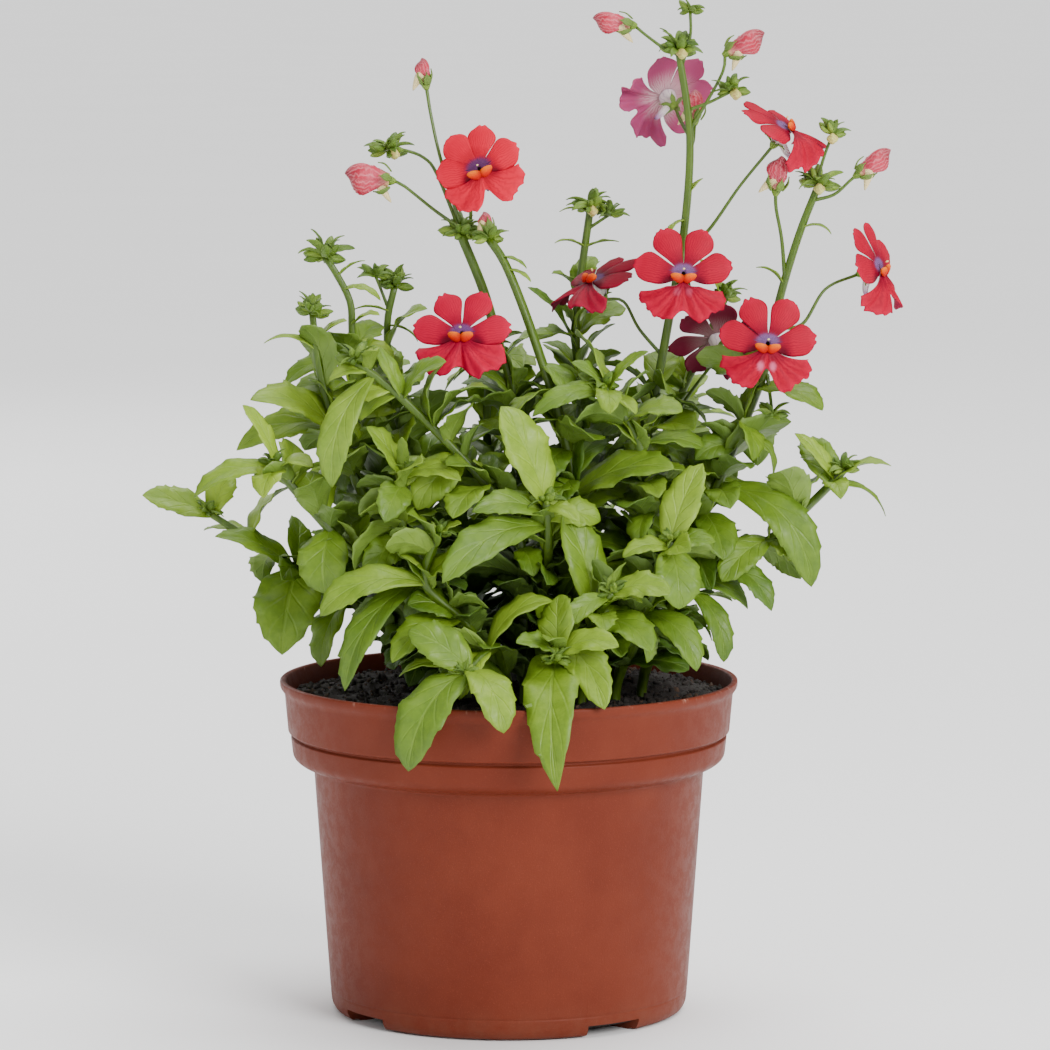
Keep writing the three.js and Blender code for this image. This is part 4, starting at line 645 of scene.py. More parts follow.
class Layout:
    """Lays every leaf of the plant, in the order of the solids, and then the finer ones."""

    PEDICEL_RADIUS = 0.6
    PEDICEL_STEP = 12.0
    SPINE_STEP = 16.0
    ROOT_STEP = 2.0
    ROW_WIDTH = 0.6
    ROW_LIFT = 0.24
    TURN_SPREAD = 30.0
    PITCH_SPREAD = 40.0
    ROLL_SPREAD = 70.0
    LEAST_SIZE = 0.88
    SIZE_SPREAD = 0.24
    FINE_SEED = 500
    FILL_LOW = 92.0
    FILL_HIGH = 168.0
    FILL_STEP = 8.0
    FILL_EACH = 3
    # Other ways to lay a leaf with its own place: tip moved in depth, in height, and scaled
    PLACED_TRIES = [
        [0, 0, 1], [-3, 0, 1], [3, 0, 1], [-6, 0, 1], [6, 0, 1], [0, -3, 0.95], [0, 3, 0.95],
        [-9, 0, 0.95], [9, 0, 0.95], [0, -6, 0.85], [0, 6, 0.85], [0, 0, 0.8], [-4, -4, 0.8],
        [4, 4, 0.8], [-5, 5, 0.8], [-8, -5, 0.8], [0, 0, 0.65], [-6, 4, 0.65], [-7, -6, 0.65],
        [7, 0, 0.65], [0, 8, 0.65],
    ]
    # Other ways to lay a leaf of a row: turned, raised, and scaled
    ROW_TRIES = [
        [0, 0, 1], [18, 0, 1], [-18, 0, 1], [0, 15, 1], [0, -15, 1], [30, 10, 0.9], [-30, 10, 0.9],
        [0, 30, 0.85], [20, -20, 0.85], [-20, -20, 0.85], [45, 0, 0.85], [-45, 0, 0.85],
        [60, 10, 0.8], [-60, 10, 0.8], [0, 45, 0.8], [0, -35, 0.8], [0, 0, 0.65], [25, 25, 0.65],
        [-25, 25, 0.65], [90, 20, 0.65], [-90, 20, 0.65], [0, 0, 0.5],
    ]

    def __init__(self) -> None:
        """Makes the empty layout."""
        self.room = Clearances()
        self.curves: dict[str, Array] = {}
        self.leaves: dict[str, list[LaidLeaf]] = {plan.name: [] for plan in STEMS}
        self.draws: dict[str, SeededDraw] = {}

    def lay(self) -> None:
        """Lays the whole plant."""
        for plan in STEMS:
            spine = smooth_curve(np.array(plan.path, float), self.SPINE_STEP)
            curve = straight_steps(spine, self.ROOT_STEP)[:-1]
            self.curves[plan.name] = curve
            self.room.keep_rod(curve, plan.base, plan.name)
            for stalk in plan.stalks:
                self.room.keep_rod(np.array(stalk, float), self.PEDICEL_RADIUS, plan.name)
            for group in plan.clusters:
                self.room.keep(np.array(group.at, float), group.size * 1.4, plan.name)
        for number, bloom in enumerate(BLOOMS, 1):
            flower = Flower(number, bloom)
            flower.keep_samples(self.room)
            self.room.keep_rod(flower.pedicel(self.PEDICEL_STEP), self.PEDICEL_RADIUS, bloom.on)
        for number, bud in enumerate(BUDS, 1):
            furled = FurledBud(number, bud)
            ends = np.array([bud.base, bud.tip], float)
            self.room.keep_rod(ends, bud.radius, f"bud_{number}")
            self.room.keep_rod(furled.pedicel(self.PEDICEL_STEP), self.PEDICEL_RADIUS, bud.on)
        for plan in STEMS:
            for leaf in plan.leaves:
                self.lay_placed(plan, leaf, self.room.CLEARANCE)
        for number, plan in enumerate(STEMS, 1):
            self.draws[plan.name] = SeededDraw(number)
            self.lay_rows(plan, self.draws[plan.name])
        for number, plan in enumerate(STEMS, 1):
            self.lay_fine(plan, SeededDraw(self.FINE_SEED + number))

    def keep(self, leaf: LaidLeaf, owner: str) -> None:
        """Takes a leaf into the plant."""
        self.leaves[owner].append(leaf)
        self.room.keep_leaf(leaf, owner)

    def tone(self, plan: Stem, root: Array, tip: Array, size: float) -> float:
        """Works out a leaf's tone from its age on the stem and its size, with painted shade and light by its
        place in the bush.
        """
        start = plan.path[1][2]
        height = (root[2] - start) / (plan.path[-1][2] - start + TINY)
        # painted shade and light: leaves deep inside and low in the bush are darker, those outside and high
        # up brighter
        outward = smoothstep(15, 62, float(np.hypot(tip[0] - 4, tip[1] * 1.25)))
        raised = smoothstep(95, 165, tip[2])
        ripple = 0.5 + 0.5 * math.sin(root[0] * 1.7 + tip[2] * 2.3 + tip[1] * 3.1)
        young = 0.2 if size < 12 else 0.0
        return float(np.clip(0.06 + 0.34 * height + 0.2 * outward + 0.18 * raised
                             + 0.24 * ripple + young, 0, 1))

    def lay_placed(self, plan: Stem, leaf: Leaf, clearance: float) -> None:
        """Lays a leaf that has a place of its own, in the first way that fits."""
        curve = self.curves[plan.name]
        away = np.abs(curve[:, 0] - leaf.root_x) + np.abs(curve[:, 2] - leaf.root_z)
        root = curve[int(np.argmin(away))]
        for depth, height, scale in self.PLACED_TRIES:
            tip = mix(root, np.array(leaf.tip, float) + np.array([0, depth, height]), scale)
            run = tip - root
            roll = leaf.roll * run[0] / (math.hypot(run[0], run[1]) + TINY)
            tone = self.tone(plan, root, tip, float(np.linalg.norm(run)))
            laid = LaidLeaf(root, tip, leaf.width * scale, leaf.lift, roll, tone)
            if self.room.fits(laid, plan.name, clearance):
                self.keep(laid, plan.name)
                return

    def lay_turned(
        self, plan: Stem, root: Array, turn: float, pitch: float, size: float, roll: float,
        clearance: float, width: float,
    ) -> bool:
        """Lays a leaf that leaves its stem at a turn and pitch, in the first way that fits.

        Args:
            plan: The stem.
            root: The place on the stem.
            turn: The turn round the stem, in degrees.
            pitch: The rise above level, in degrees.
            size: The leaf's length.
            roll: The blade's roll about its length, in degrees.
            clearance: The room kept to other stems.
            width: The blade's width as a share of its length.

        Returns:
            Whether it was laid.
        """
        for aside, raised, scale in self.ROW_TRIES:
            around = (turn + aside) * DEGREES
            rise = (pitch + raised) * DEGREES
            way = np.array([
                math.cos(around) * math.cos(rise), math.sin(around) * math.cos(rise), math.sin(rise),
            ])
            tip = root + way * (size * scale)
            tone = self.tone(plan, root, tip, size)
            laid = LaidLeaf(root, tip, size * scale * width, self.ROW_LIFT, roll, tone)
            if self.room.fits(laid, plan.name, clearance):
                self.keep(laid, plan.name)
                return True
        return False

    def lay_rows(self, plan: Stem, draw: SeededDraw) -> None:
        """Lays the rows of paired leaves."""
        curve = self.curves[plan.name]
        for row in plan.rows:
            for k in range(row.count):
                share = k / (row.count - 1) if row.count > 1 else 0
                root = curve[int(np.argmin(np.abs(curve[:, 2] - mix(row.low, row.high, share))))]
                size = mix(row.first, row.last, share)
                for half in (0, 180):
                    turn = row.turn + 90 * k + half + self.TURN_SPREAD * (draw() - 0.5)
                    pitch = row.pitch + self.PITCH_SPREAD * (draw() - 0.5)
                    grown = size * (self.LEAST_SIZE + self.SIZE_SPREAD * draw())
                    roll = self.ROLL_SPREAD * (draw() - 0.5)
                    self.lay_turned(
                        plan, root, turn, pitch, grown, roll, self.room.CLEARANCE, self.ROW_WIDTH)

    def lay_fine(self, plan: Stem, draw: SeededDraw) -> None:
        """Lays what the solids leave out: bracts, leaves between the pairs and axil leaves."""
        clearance = self.room.CLOSE_CLEARANCE
        curve = self.curves[plan.name]
        for leaf in BRACTS.get(plan.name, []):
            self.lay_placed(plan, leaf, clearance)
        for row in plan.rows:
            gap = (row.high - row.low) / max(row.count - 1, 1)
            for k in range(row.count):
                share = k / max(row.count - 1, 1)
                height = mix(row.low, row.high, share)
                size = mix(row.first, row.last, share)
                between = curve[int(np.argmin(np.abs(curve[:, 2] - height - gap / 2)))]
                for half in (0, 180):
                    turn = draw.around(row.turn + 90 * k + 45 + half, 40)
                    pitch = draw.around(46, 36) if draw() < 0.68 else draw.around(-24, 34)
                    self.lay_turned(plan, between, turn, pitch,
                                    size * (0.72 + 0.3 * draw()), draw.around(0, 70), clearance,
                                    draw.around(0.52, 0.14))
                axil = curve[int(np.argmin(np.abs(curve[:, 2] - height - 1.0)))]
                for half in (0, 180):
                    turn = row.turn + 90 * k + half + draw.around(0, 80)
                    self.lay_turned(plan, axil, turn, draw.around(48, 40), draw.around(13, 6),
                                    draw.around(0, 80), clearance, draw.around(0.48, 0.12))
        self.fill(plan, draw)

    def fill(self, plan: Stem, draw: SeededDraw) -> None:
        """Fills the inside of the bush with leaves at odd turns, where there is room."""
        curve = self.curves[plan.name]
        inside = curve[(curve[:, 2] > self.FILL_LOW) & (curve[:, 2] < self.FILL_HIGH)]
        for height in np.arange(self.FILL_LOW, self.FILL_HIGH, self.FILL_STEP):
            if len(inside) == 0 or height > inside[:, 2].max():
                continue
            root = inside[int(np.argmin(np.abs(inside[:, 2] - height)))]
            for number in range(self.FILL_EACH):
                turn = draw.around(360 / self.FILL_EACH * number + 29 * height, 60)
                pitch = draw.around(46, 40) if draw() < 0.6 else draw.around(-26, 40)
                self.lay_turned(plan, root, turn, pitch, draw.around(19, 7), draw.around(0, 110),
                                self.room.CLOSE_CLEARANCE, draw.around(0.54, 0.12))


# Meshes

class MeshBuilder:
    """Collects closed patches of mesh, in millimetres, and makes one object of them."""

    def __init__(self) -> None:
        """Makes an empty mesh."""
        self.points: list[Array] = []
        self.corners: list[Array] = []
        self.totals: list[Array] = []
        self.places: list[Array] = []
        self.grown: list[Array] = []
        self.slots: list[Array] = []
        self.count = 0

    def add(
        self, points: Array, faces: list[Array], place: Array, grown: Array, slot: int,
        closed: bool = True,
    ) -> None:
        """Adds a patch.

        Args:
            points: The vertices, one a row.
            faces: Arrays of faces, each with one number of corners.
            place: The place on the surface, U and V, for each vertex.
            grown: Three masks for each vertex.
            slot: The material's place in the object's list.
            closed: Whether the patch is closed, so that its faces are turned outwards.
        """
        faces = [face for face in faces if len(face)]
        if closed and self.volume(points, faces) < 0:
            faces = [face[:, ::-1] for face in faces]
        for face in faces:
            self.corners.append((face + self.count).ravel())
            self.totals.append(np.full(len(face), face.shape[1]))
            self.slots.append(np.full(len(face), slot))
        self.points.append(points)
        self.places.append(place)
        self.grown.append(grown)
        self.count += len(points)

    @staticmethod
    def volume(points: Array, faces: list[Array]) -> float:
        """Measures the signed volume inside closed faces, which is negative if they point in."""
        total = 0.0
        middle = points.mean(axis=0)
        for face in faces:
            first = points[face[:, 0]] - middle
            for corner in range(1, face.shape[1] - 1):
                second = points[face[:, corner]] - middle
                third = points[face[:, corner + 1]] - middle
                total += float(np.einsum("ij,ij->i", first, np.cross(second, third)).sum())
        return total / 6

    def add_object(self, piece: bpy.types.Object, slot: int) -> None:
        """Adds the mesh of another object, whose vertices are in metres, and removes it."""
        mesh = piece.data
        points = np.zeros(len(mesh.vertices) * 3)
        mesh.vertices.foreach_get("co", points)
        corners = np.zeros(len(mesh.loops), dtype=int)
        mesh.loops.foreach_get("vertex_index", corners)
        totals = np.zeros(len(mesh.polygons), dtype=int)
        mesh.polygons.foreach_get("loop_total", totals)
        grown = np.zeros(len(mesh.vertices) * 4)
        mesh.attributes["grown"].data.foreach_get("color", grown)
        self.corners.append(corners + self.count)
        self.totals.append(totals)
        self.slots.append(np.full(len(totals), slot))
        self.points.append(points.reshape(-1, 3) / METRES)
        self.places.append(np.zeros((len(mesh.vertices), 2)))
        self.grown.append(grown.reshape(-1, 4)[:, :3])
        self.count += len(mesh.vertices)
        bpy.data.objects.remove(piece)

    def build(self, name: str, materials: list[bpy.types.Material]) -> bpy.types.Object:
        """Makes the object, at the origin with its place in its mesh.

        Args:
            name: The piece's name.
            materials: The materials of its slots.

        Returns:
            The object.
        """
        mesh = bpy.data.meshes.new(name)
        points = np.concatenate(self.points)
        corners = np.concatenate(self.corners).astype(np.int32)
        totals = np.concatenate(self.totals)
        starts = np.concatenate([[0], np.cumsum(totals)[:-1]]).astype(np.int32)
        mesh.vertices.add(len(points))
        mesh.vertices.foreach_set("co", (points * METRES).ravel())
        mesh.loops.add(len(corners))
        mesh.loops.foreach_set("vertex_index", corners)
        mesh.polygons.add(len(totals))
        mesh.polygons.foreach_set("loop_start", starts)
        mesh.polygons.foreach_set("material_index", np.concatenate(self.slots).astype(np.int32))
        mesh.polygons.foreach_set("use_smooth", np.ones(len(totals), dtype=bool))
        mesh.update(calc_edges=True)
        places = mesh.uv_layers.new(name="UVMap")
        places.data.foreach_set("uv", np.concatenate(self.places)[corners].ravel())
        masks = mesh.attributes.new("grown", "FLOAT_COLOR", "POINT")
        full = np.ones((len(points), 4))
        full[:, :3] = np.concatenate(self.grown)
        masks.data.foreach_set("color", full.ravel())
        for material in materials:
            mesh.materials.append(material)
        mesh.validate()
        piece = bpy.data.objects.new(name, mesh)
        bpy.context.scene.collection.objects.link(piece)
        return piece


def sheet_faces(rows: int, columns: int) -> list[Array]:
    """Lists the faces of a thin closed sheet: an upper grid, a lower grid and the rim."""
    i, j = np.meshgrid(np.arange(rows - 1), np.arange(columns - 1), indexing="ij")
    corner = (i * columns + j).ravel()
    upper = np.stack([corner, corner + 1, corner + columns + 1, corner + columns], axis=1)
    lower = upper[:, ::-1] + rows * columns
    low = rows * columns
    down = np.arange(rows - 1) * columns
    along = np.arange(columns - 1)
    last = columns - 1
    end = (rows - 1) * columns
    left = np.stack([down, down + columns, down + columns + low, down + low], axis=1)
    right = np.stack([down + last, down + last + low, down + last + columns + low,
                      down + last + columns], axis=1)
    start = np.stack([along, along + low, along + 1 + low, along + 1], axis=1)
    finish = np.stack([along + end, along + 1 + end, along + 1 + end + low, along + end + low], axis=1)
    return [np.concatenate([upper, lower, left, right, start, finish])]


def add_sheet(
    builder: MeshBuilder, grid: Array, thickness: Array, place: Array, masks: Array, slot: int,
    groove: Array | float = 0.0,
) -> None:
    """Adds a thin closed sheet about a grid of points.

    Args:
        builder: The mesh that takes it.
        grid: The middle surface, rows by columns of points.
        thickness: The thickness at each point.
        place: U and V at each point.
        masks: The tone mask, which for a leaf is its age with painted shade, and the mark mask at each point;
            the middle one says the underside.
        slot: The material's place.
        groove: How far the surface is pressed down at each point.
    """
    rows, columns = grid.shape[:2]
    way_down = np.gradient(grid, axis=0)
    way_across = np.gradient(grid, axis=1)
    normal = unit(np.cross(way_down, way_across))
    half = (normal * (np.asarray(thickness) / 2)[..., None])
    press = normal * np.broadcast_to(groove, (rows, columns))[..., None]
    upper = (grid + half - press).reshape(-1, 3)
    lower = (grid - half - press * 2).reshape(-1, 3)
    flat = place.reshape(-1, 2)
    flags = masks.reshape(-1, 3).copy()
    under = flags.copy()
    flags[:, 1] = 0
    under[:, 1] = 1
    builder.add(np.concatenate([upper, lower]), sheet_faces(rows, columns),
                np.concatenate([flat, flat]), np.concatenate([flags, under]), slot)


def add_rings(
    builder: MeshBuilder, rings: Array, slot: int, masks: Array | None = None,
) -> None:
    """Adds a closed body of rings, whose ends are drawn in to a pole.

    Args:
        builder: The mesh that takes it.
        rings: The rings, ring by ring of points.
        slot: The material's place.
        masks: Three masks for each ring point.
    """
    count, around = rings.shape[:2]
    poles = np.stack([rings[0].mean(axis=0), rings[-1].mean(axis=0)])
    points = np.concatenate([rings.reshape(-1, 3), poles])
    i, j = np.meshgrid(np.arange(count - 1), np.arange(around), indexing="ij")
    ahead = (j + 1) % around
    quads = np.stack([i * around + j, i * around + ahead, (i + 1) * around + ahead,
                      (i + 1) * around + j], axis=-1).reshape(-1, 4)
    ring = np.arange(around)
    beside = (ring + 1) % around
    first = np.stack([beside, ring, np.full(around, count * around)], axis=1)
    base = (count - 1) * around
    last = np.stack([base + ring, base + beside, np.full(around, count * around + 1)], axis=1)
    share = np.repeat(np.linspace(0, 1, count), around)
    turn = np.tile(np.arange(around) / around, count)
    place = np.concatenate([np.stack([turn, share], axis=1), [[0.5, 0], [0.5, 1]]])
    if masks is None:
        masks = np.zeros((count, around, 3))
    flat = np.concatenate([masks.reshape(-1, 3), [masks[0].mean(axis=0), masks[-1].mean(axis=0)]])
    builder.add(points, [quads, np.concatenate([first, last])], place, flat, slot)


def swept_rings(path: Array, radii: Array, around: int, lobes: int = 0, depth: float = 0.0) -> Array:
    """Carries rings along a path without twist.

    Args:
        path: The middles of the rings.
        radii: The radius of each ring.
        around: How many points a ring has.
        lobes: How many ribs run along it.
        depth: The ribs' depth as a share of the radius.

    Returns:
        The rings, ring by ring of points.
    """
    axes = unit(np.gradient(path, axis=0))
    first, _ = across_axis(axes[0])
    angle = np.arange(around) / around * 2 * math.pi
    swell = 1 + depth * np.cos(lobes * angle)
    rings = []
    for middle, axis, radius in zip(path, axes, radii):
        first = unit(first - axis * float(first @ axis))
        second = np.cross(axis, first)
        outward = first * np.cos(angle)[:, None] + second * np.sin(angle)[:, None]
        rings.append(middle + outward * (radius * swell)[:, None])
    return np.array(rings)


# Leaves

class GreenPart(Enum):
    """The materials of a leafy stem, by their place in its list."""

    BLADE = 0
    STEM = 1
    CALYX = 2


@dataclass(frozen=True)
class BladeForm:
    """How a leaf blade is shaped: its outline's rise and fall, teeth, fold and waves."""

    rising: float
    falling: float
    teeth: int
    tooth_depth: float
    fold: float
    wave: float
    rows: int
    columns: tuple[float, ...]

    WIDE = (-1.0, -0.62, -0.18, 0.0, 0.18, 0.62, 1.0)
    SLIM = (-1.0, -0.3, 0.0, 0.3, 1.0)
    TINY = (-1.0, 0.0, 1.0)
    BROAD_SIZE = 13
    PLAIN_SIZE = 7
    TINY_SIZE = 4
    NARROW_WIDTH = 4.1
    TOOTHLESS_WIDTH = 2.6

    @classmethod
    def for_leaf(cls, leaf: LaidLeaf, draw: SeededDraw) -> "BladeForm":
        """Chooses the form of a leaf by its size, with seeded changes from leaf to leaf."""
        size = leaf.size
        slim = leaf.width < cls.NARROW_WIDTH
        rising = draw.around(0.82, 0.3)
        falling = draw.around(0.76, 0.24)
        wave = 0.05 + 0.07 * draw()
        if size >= cls.BROAD_SIZE and not slim:
            teeth = 2 + round(1.3 * draw() + size / 40)
            return cls(rising, falling, teeth, 0.17 * min(1, 7.5 / leaf.width), 0.2, wave, 27, cls.WIDE)
        if size >= cls.PLAIN_SIZE:
            teeth = 0 if slim and leaf.width < cls.TOOTHLESS_WIDTH else 2
            return cls(rising, falling, teeth, 0.16, 0.28, wave, 17, cls.SLIM)
        return cls(0.8, 0.9, 0, 0.0, 0.3, 0.03, 9, cls.SLIM if size > cls.TINY_SIZE else cls.TINY)


class LeafShape:
    """Makes the fine blade of a laid leaf."""

    PETIOLE = 0.5
    THICK = 0.46
    THIN = 0.24
    TIP_HALF = 0.07
    TEETH_FROM = 0.4
    TEETH_TO = 0.9

    def __init__(self, leaf: LaidLeaf, form: BladeForm, draw: SeededDraw) -> None:
        """Keeps the leaf and its form.

        Args:
            leaf: The laid leaf.
            form: Its form.
            draw: The draw that gives the teeth their places.
        """
        self.leaf = leaf
        self.form = form
        self.draw = draw

    def halves(self, shares: Array) -> tuple[Array, Array, Array]:
        """Works out the half widths on the left and right and how far the teeth lean forward."""
        form = self.form
        body = shares ** form.rising * (1 - shares) ** form.falling
        body = body / body.max()
        half = self.leaf.width / 2 * body + self.PETIOLE * (1 - shares) ** 1.5 + self.TIP_HALF
        inside = smoothstep(self.TEETH_FROM - 0.06, self.TEETH_FROM + 0.04, shares)
        inside = inside * (1 - smoothstep(self.TEETH_TO - 0.03, self.TEETH_TO + 0.03, shares))
        sides = []
        leans = []
        for _ in range(2):
            phase = (shares - self.TEETH_FROM) / (self.TEETH_TO - self.TEETH_FROM) * form.teeth
            saw = np.mod(phase + self.draw(), 1.0) ** 3 * inside * (form.teeth > 0)
            depth = form.tooth_depth * self.draw.around(1, 0.7)
            sides.append(half * (1 + depth * (saw - 0.2 * inside)))
            leans.append(saw)
        return sides[0], sides[1], (leans[0] + leans[1]) / 2

    def add_to(self, builder: MeshBuilder, slot: GreenPart) -> None:
        """Adds the blade to a mesh."""
        form = self.form
        shares = np.linspace(0, 1, form.rows)
        middle, along, across, upper = self.leaf.stations(shares)
        twist = self.draw.around(0, 50) * DEGREES * shares[:, None]
        across, upper = (across * np.cos(twist) + upper * np.sin(twist),
                         upper * np.cos(twist) - across * np.sin(twist))
        droop = self.draw.around(0.09, 0.17) * self.leaf.size * shares[:, None] ** 3
        middle = middle - upper * droop
        left, right, lean = self.halves(shares)
        offset = np.array(form.columns)
        reach = np.abs(offset)
        half = np.where(offset[None] < 0, left[:, None], right[:, None])
        phase = 6.3 * self.draw()
        waves = 2.2 + 1.2 * self.draw()
        wave = np.sin(shares * 2 * math.pi * waves + phase)[:, None] * reach[None] ** 2
        wave = wave * np.where(offset[None] < 0, 1.0, -0.7) * form.wave * 1.5 * half
        cup = form.fold * half * (reach - 0.28 * reach ** 2)[None]
        body = np.sin(np.clip(shares, 0, 1) * math.pi)[:, None]
        grid = middle[:, None] + across[:, None] * (half * offset[None])[..., None]
        grid = grid + upper[:, None] * (cup + wave * body)[..., None]
        lean_by = (0.05 * self.leaf.size * lean)[:, None] * reach[None] ** 3
        grid = grid + along[:, None] * lean_by[..., None]
        thickness = (self.THICK - (self.THICK - self.THIN) * reach[None] ** 1.5)
        thickness = thickness * (1 - 0.55 * shares[:, None])
        groove = 0.1 * np.exp(-(offset / 0.13) ** 2)[None] * np.minimum(half / 2, 1) * body
        place = np.stack(np.broadcast_arrays((offset[None] + 1) / 2, shares[:, None]), axis=-1)
        masks = np.zeros(grid.shape)
        # the tone: the leaf's age, with painted shade deep and low in the bush
        masks[..., 0] = self.leaf.tone
        masks[..., 2] = self.draw()
        add_sheet(builder, grid, thickness, place, masks, slot.value, groove)


# Flowers and buds

@dataclass(frozen=True)
class FaceFrame:
    """The place and directions of a flower or bud: its face looks away from its stalk."""

    at: Array
    right: Array
    up: Array
    face: Array

    def place(self, x: Array | float, y: Array | float, z: Array | float) -> Array:
        """Turns distances to the right, upwards and outwards into points."""
        x, y, z = np.broadcast_arrays(np.asarray(x, float), np.asarray(y, float), np.asarray(z, float))
        return (self.at + x[..., None] * self.right + y[..., None] * self.up
                + z[..., None] * self.face)

    def petal_point(self, turn: Array | float, reach: Array, offset: Array, rise: Array) -> Array:
        """Finds points of a petal that leaves the throat at a turn from the upward way."""
        x = np.sin(turn) * reach + np.cos(turn) * offset
        y = np.cos(turn) * reach - np.sin(turn) * offset
        return self.place(x, y, rise)


class FlowerPart(Enum):
    """The materials of a flower, by their place in its list."""

    PETAL = 0
    TUBE = 1
    KNOB = 2


@dataclass
class Calyx:
    """The five sepals behind a flower or bud."""

    frame: FaceFrame
    back: float
    gap: float = 0.5
    cup_depth: float = 1.3
    cup_radius: float = 1.25
    reach: float = 3.7
    sepal_width: float = 1.25
    thickness: float = 0.3
    hug: float = 0.0

    @property
    def end(self) -> Array:
        """The place where the stalk meets the calyx."""
        return self.frame.place(0, 0, -self.back - self.gap - 0.6)

    def add_to(self, builder: MeshBuilder, draw: SeededDraw) -> None:
        """Adds the cup and the sepals to a stem's mesh."""
        share = np.linspace(0, 1, 7)
        depth = -self.back - self.gap - self.cup_depth + share * (self.cup_depth + 0.5)
        path = self.frame.place(0, 0, depth)
        radii = 0.55 + (self.cup_radius - 0.55) * np.sin(share * math.pi / 2)
        masks = np.full((7, 15, 3), 0.75)
        masks[..., 1] = 0
        add_rings(builder, swept_rings(path, radii, 15, 5, 0.06), GreenPart.CALYX.value, masks)
        rows = np.linspace(0, 1, 9)
        offset = np.array([1.0, 0.45, 0, -0.45, -1.0])
        for number in range(5):
            turn = -number * 72 * DEGREES + draw.around(0, 0.25)
            length = self.reach * draw.around(1, 0.14)
            half = self.sepal_width / 2 * (np.sin(np.clip(rows * 1.12 + 0.12, 0, 1) * math.pi) ** 0.8 + 0.08)
            bend = draw.around(0.1, 0.5)
            along = 0.7 + rows * (length - 0.7)
            depth = -self.back - self.gap * 0.8 + 0.9 * np.sin(rows * math.pi * 0.62) + bend * rows ** 2
            if self.hug:
                depth = -self.gap * 0.8 + along - 0.7
                along = self.hug * (0.62 + 0.5 * np.sin(np.clip(rows * 1.5, 0, 1) * math.pi / 2))
            depth = depth[:, None] + 0.22 * half[:, None] * (offset ** 2)[None]
            grid = self.frame.petal_point(
                turn, np.broadcast_to(along[:, None], (9, 5)), half[:, None] * offset[None], depth)
            place = np.stack(np.broadcast_arrays((1 - offset[None]) / 2, rows[:, None]), axis=-1)
            masks = np.zeros(grid.shape)
            masks[..., 0] = 0.62
            masks[..., 2] = draw()
            add_sheet(builder, grid, np.full((9, 5), self.thickness), place, masks,
                      GreenPart.CALYX.value)


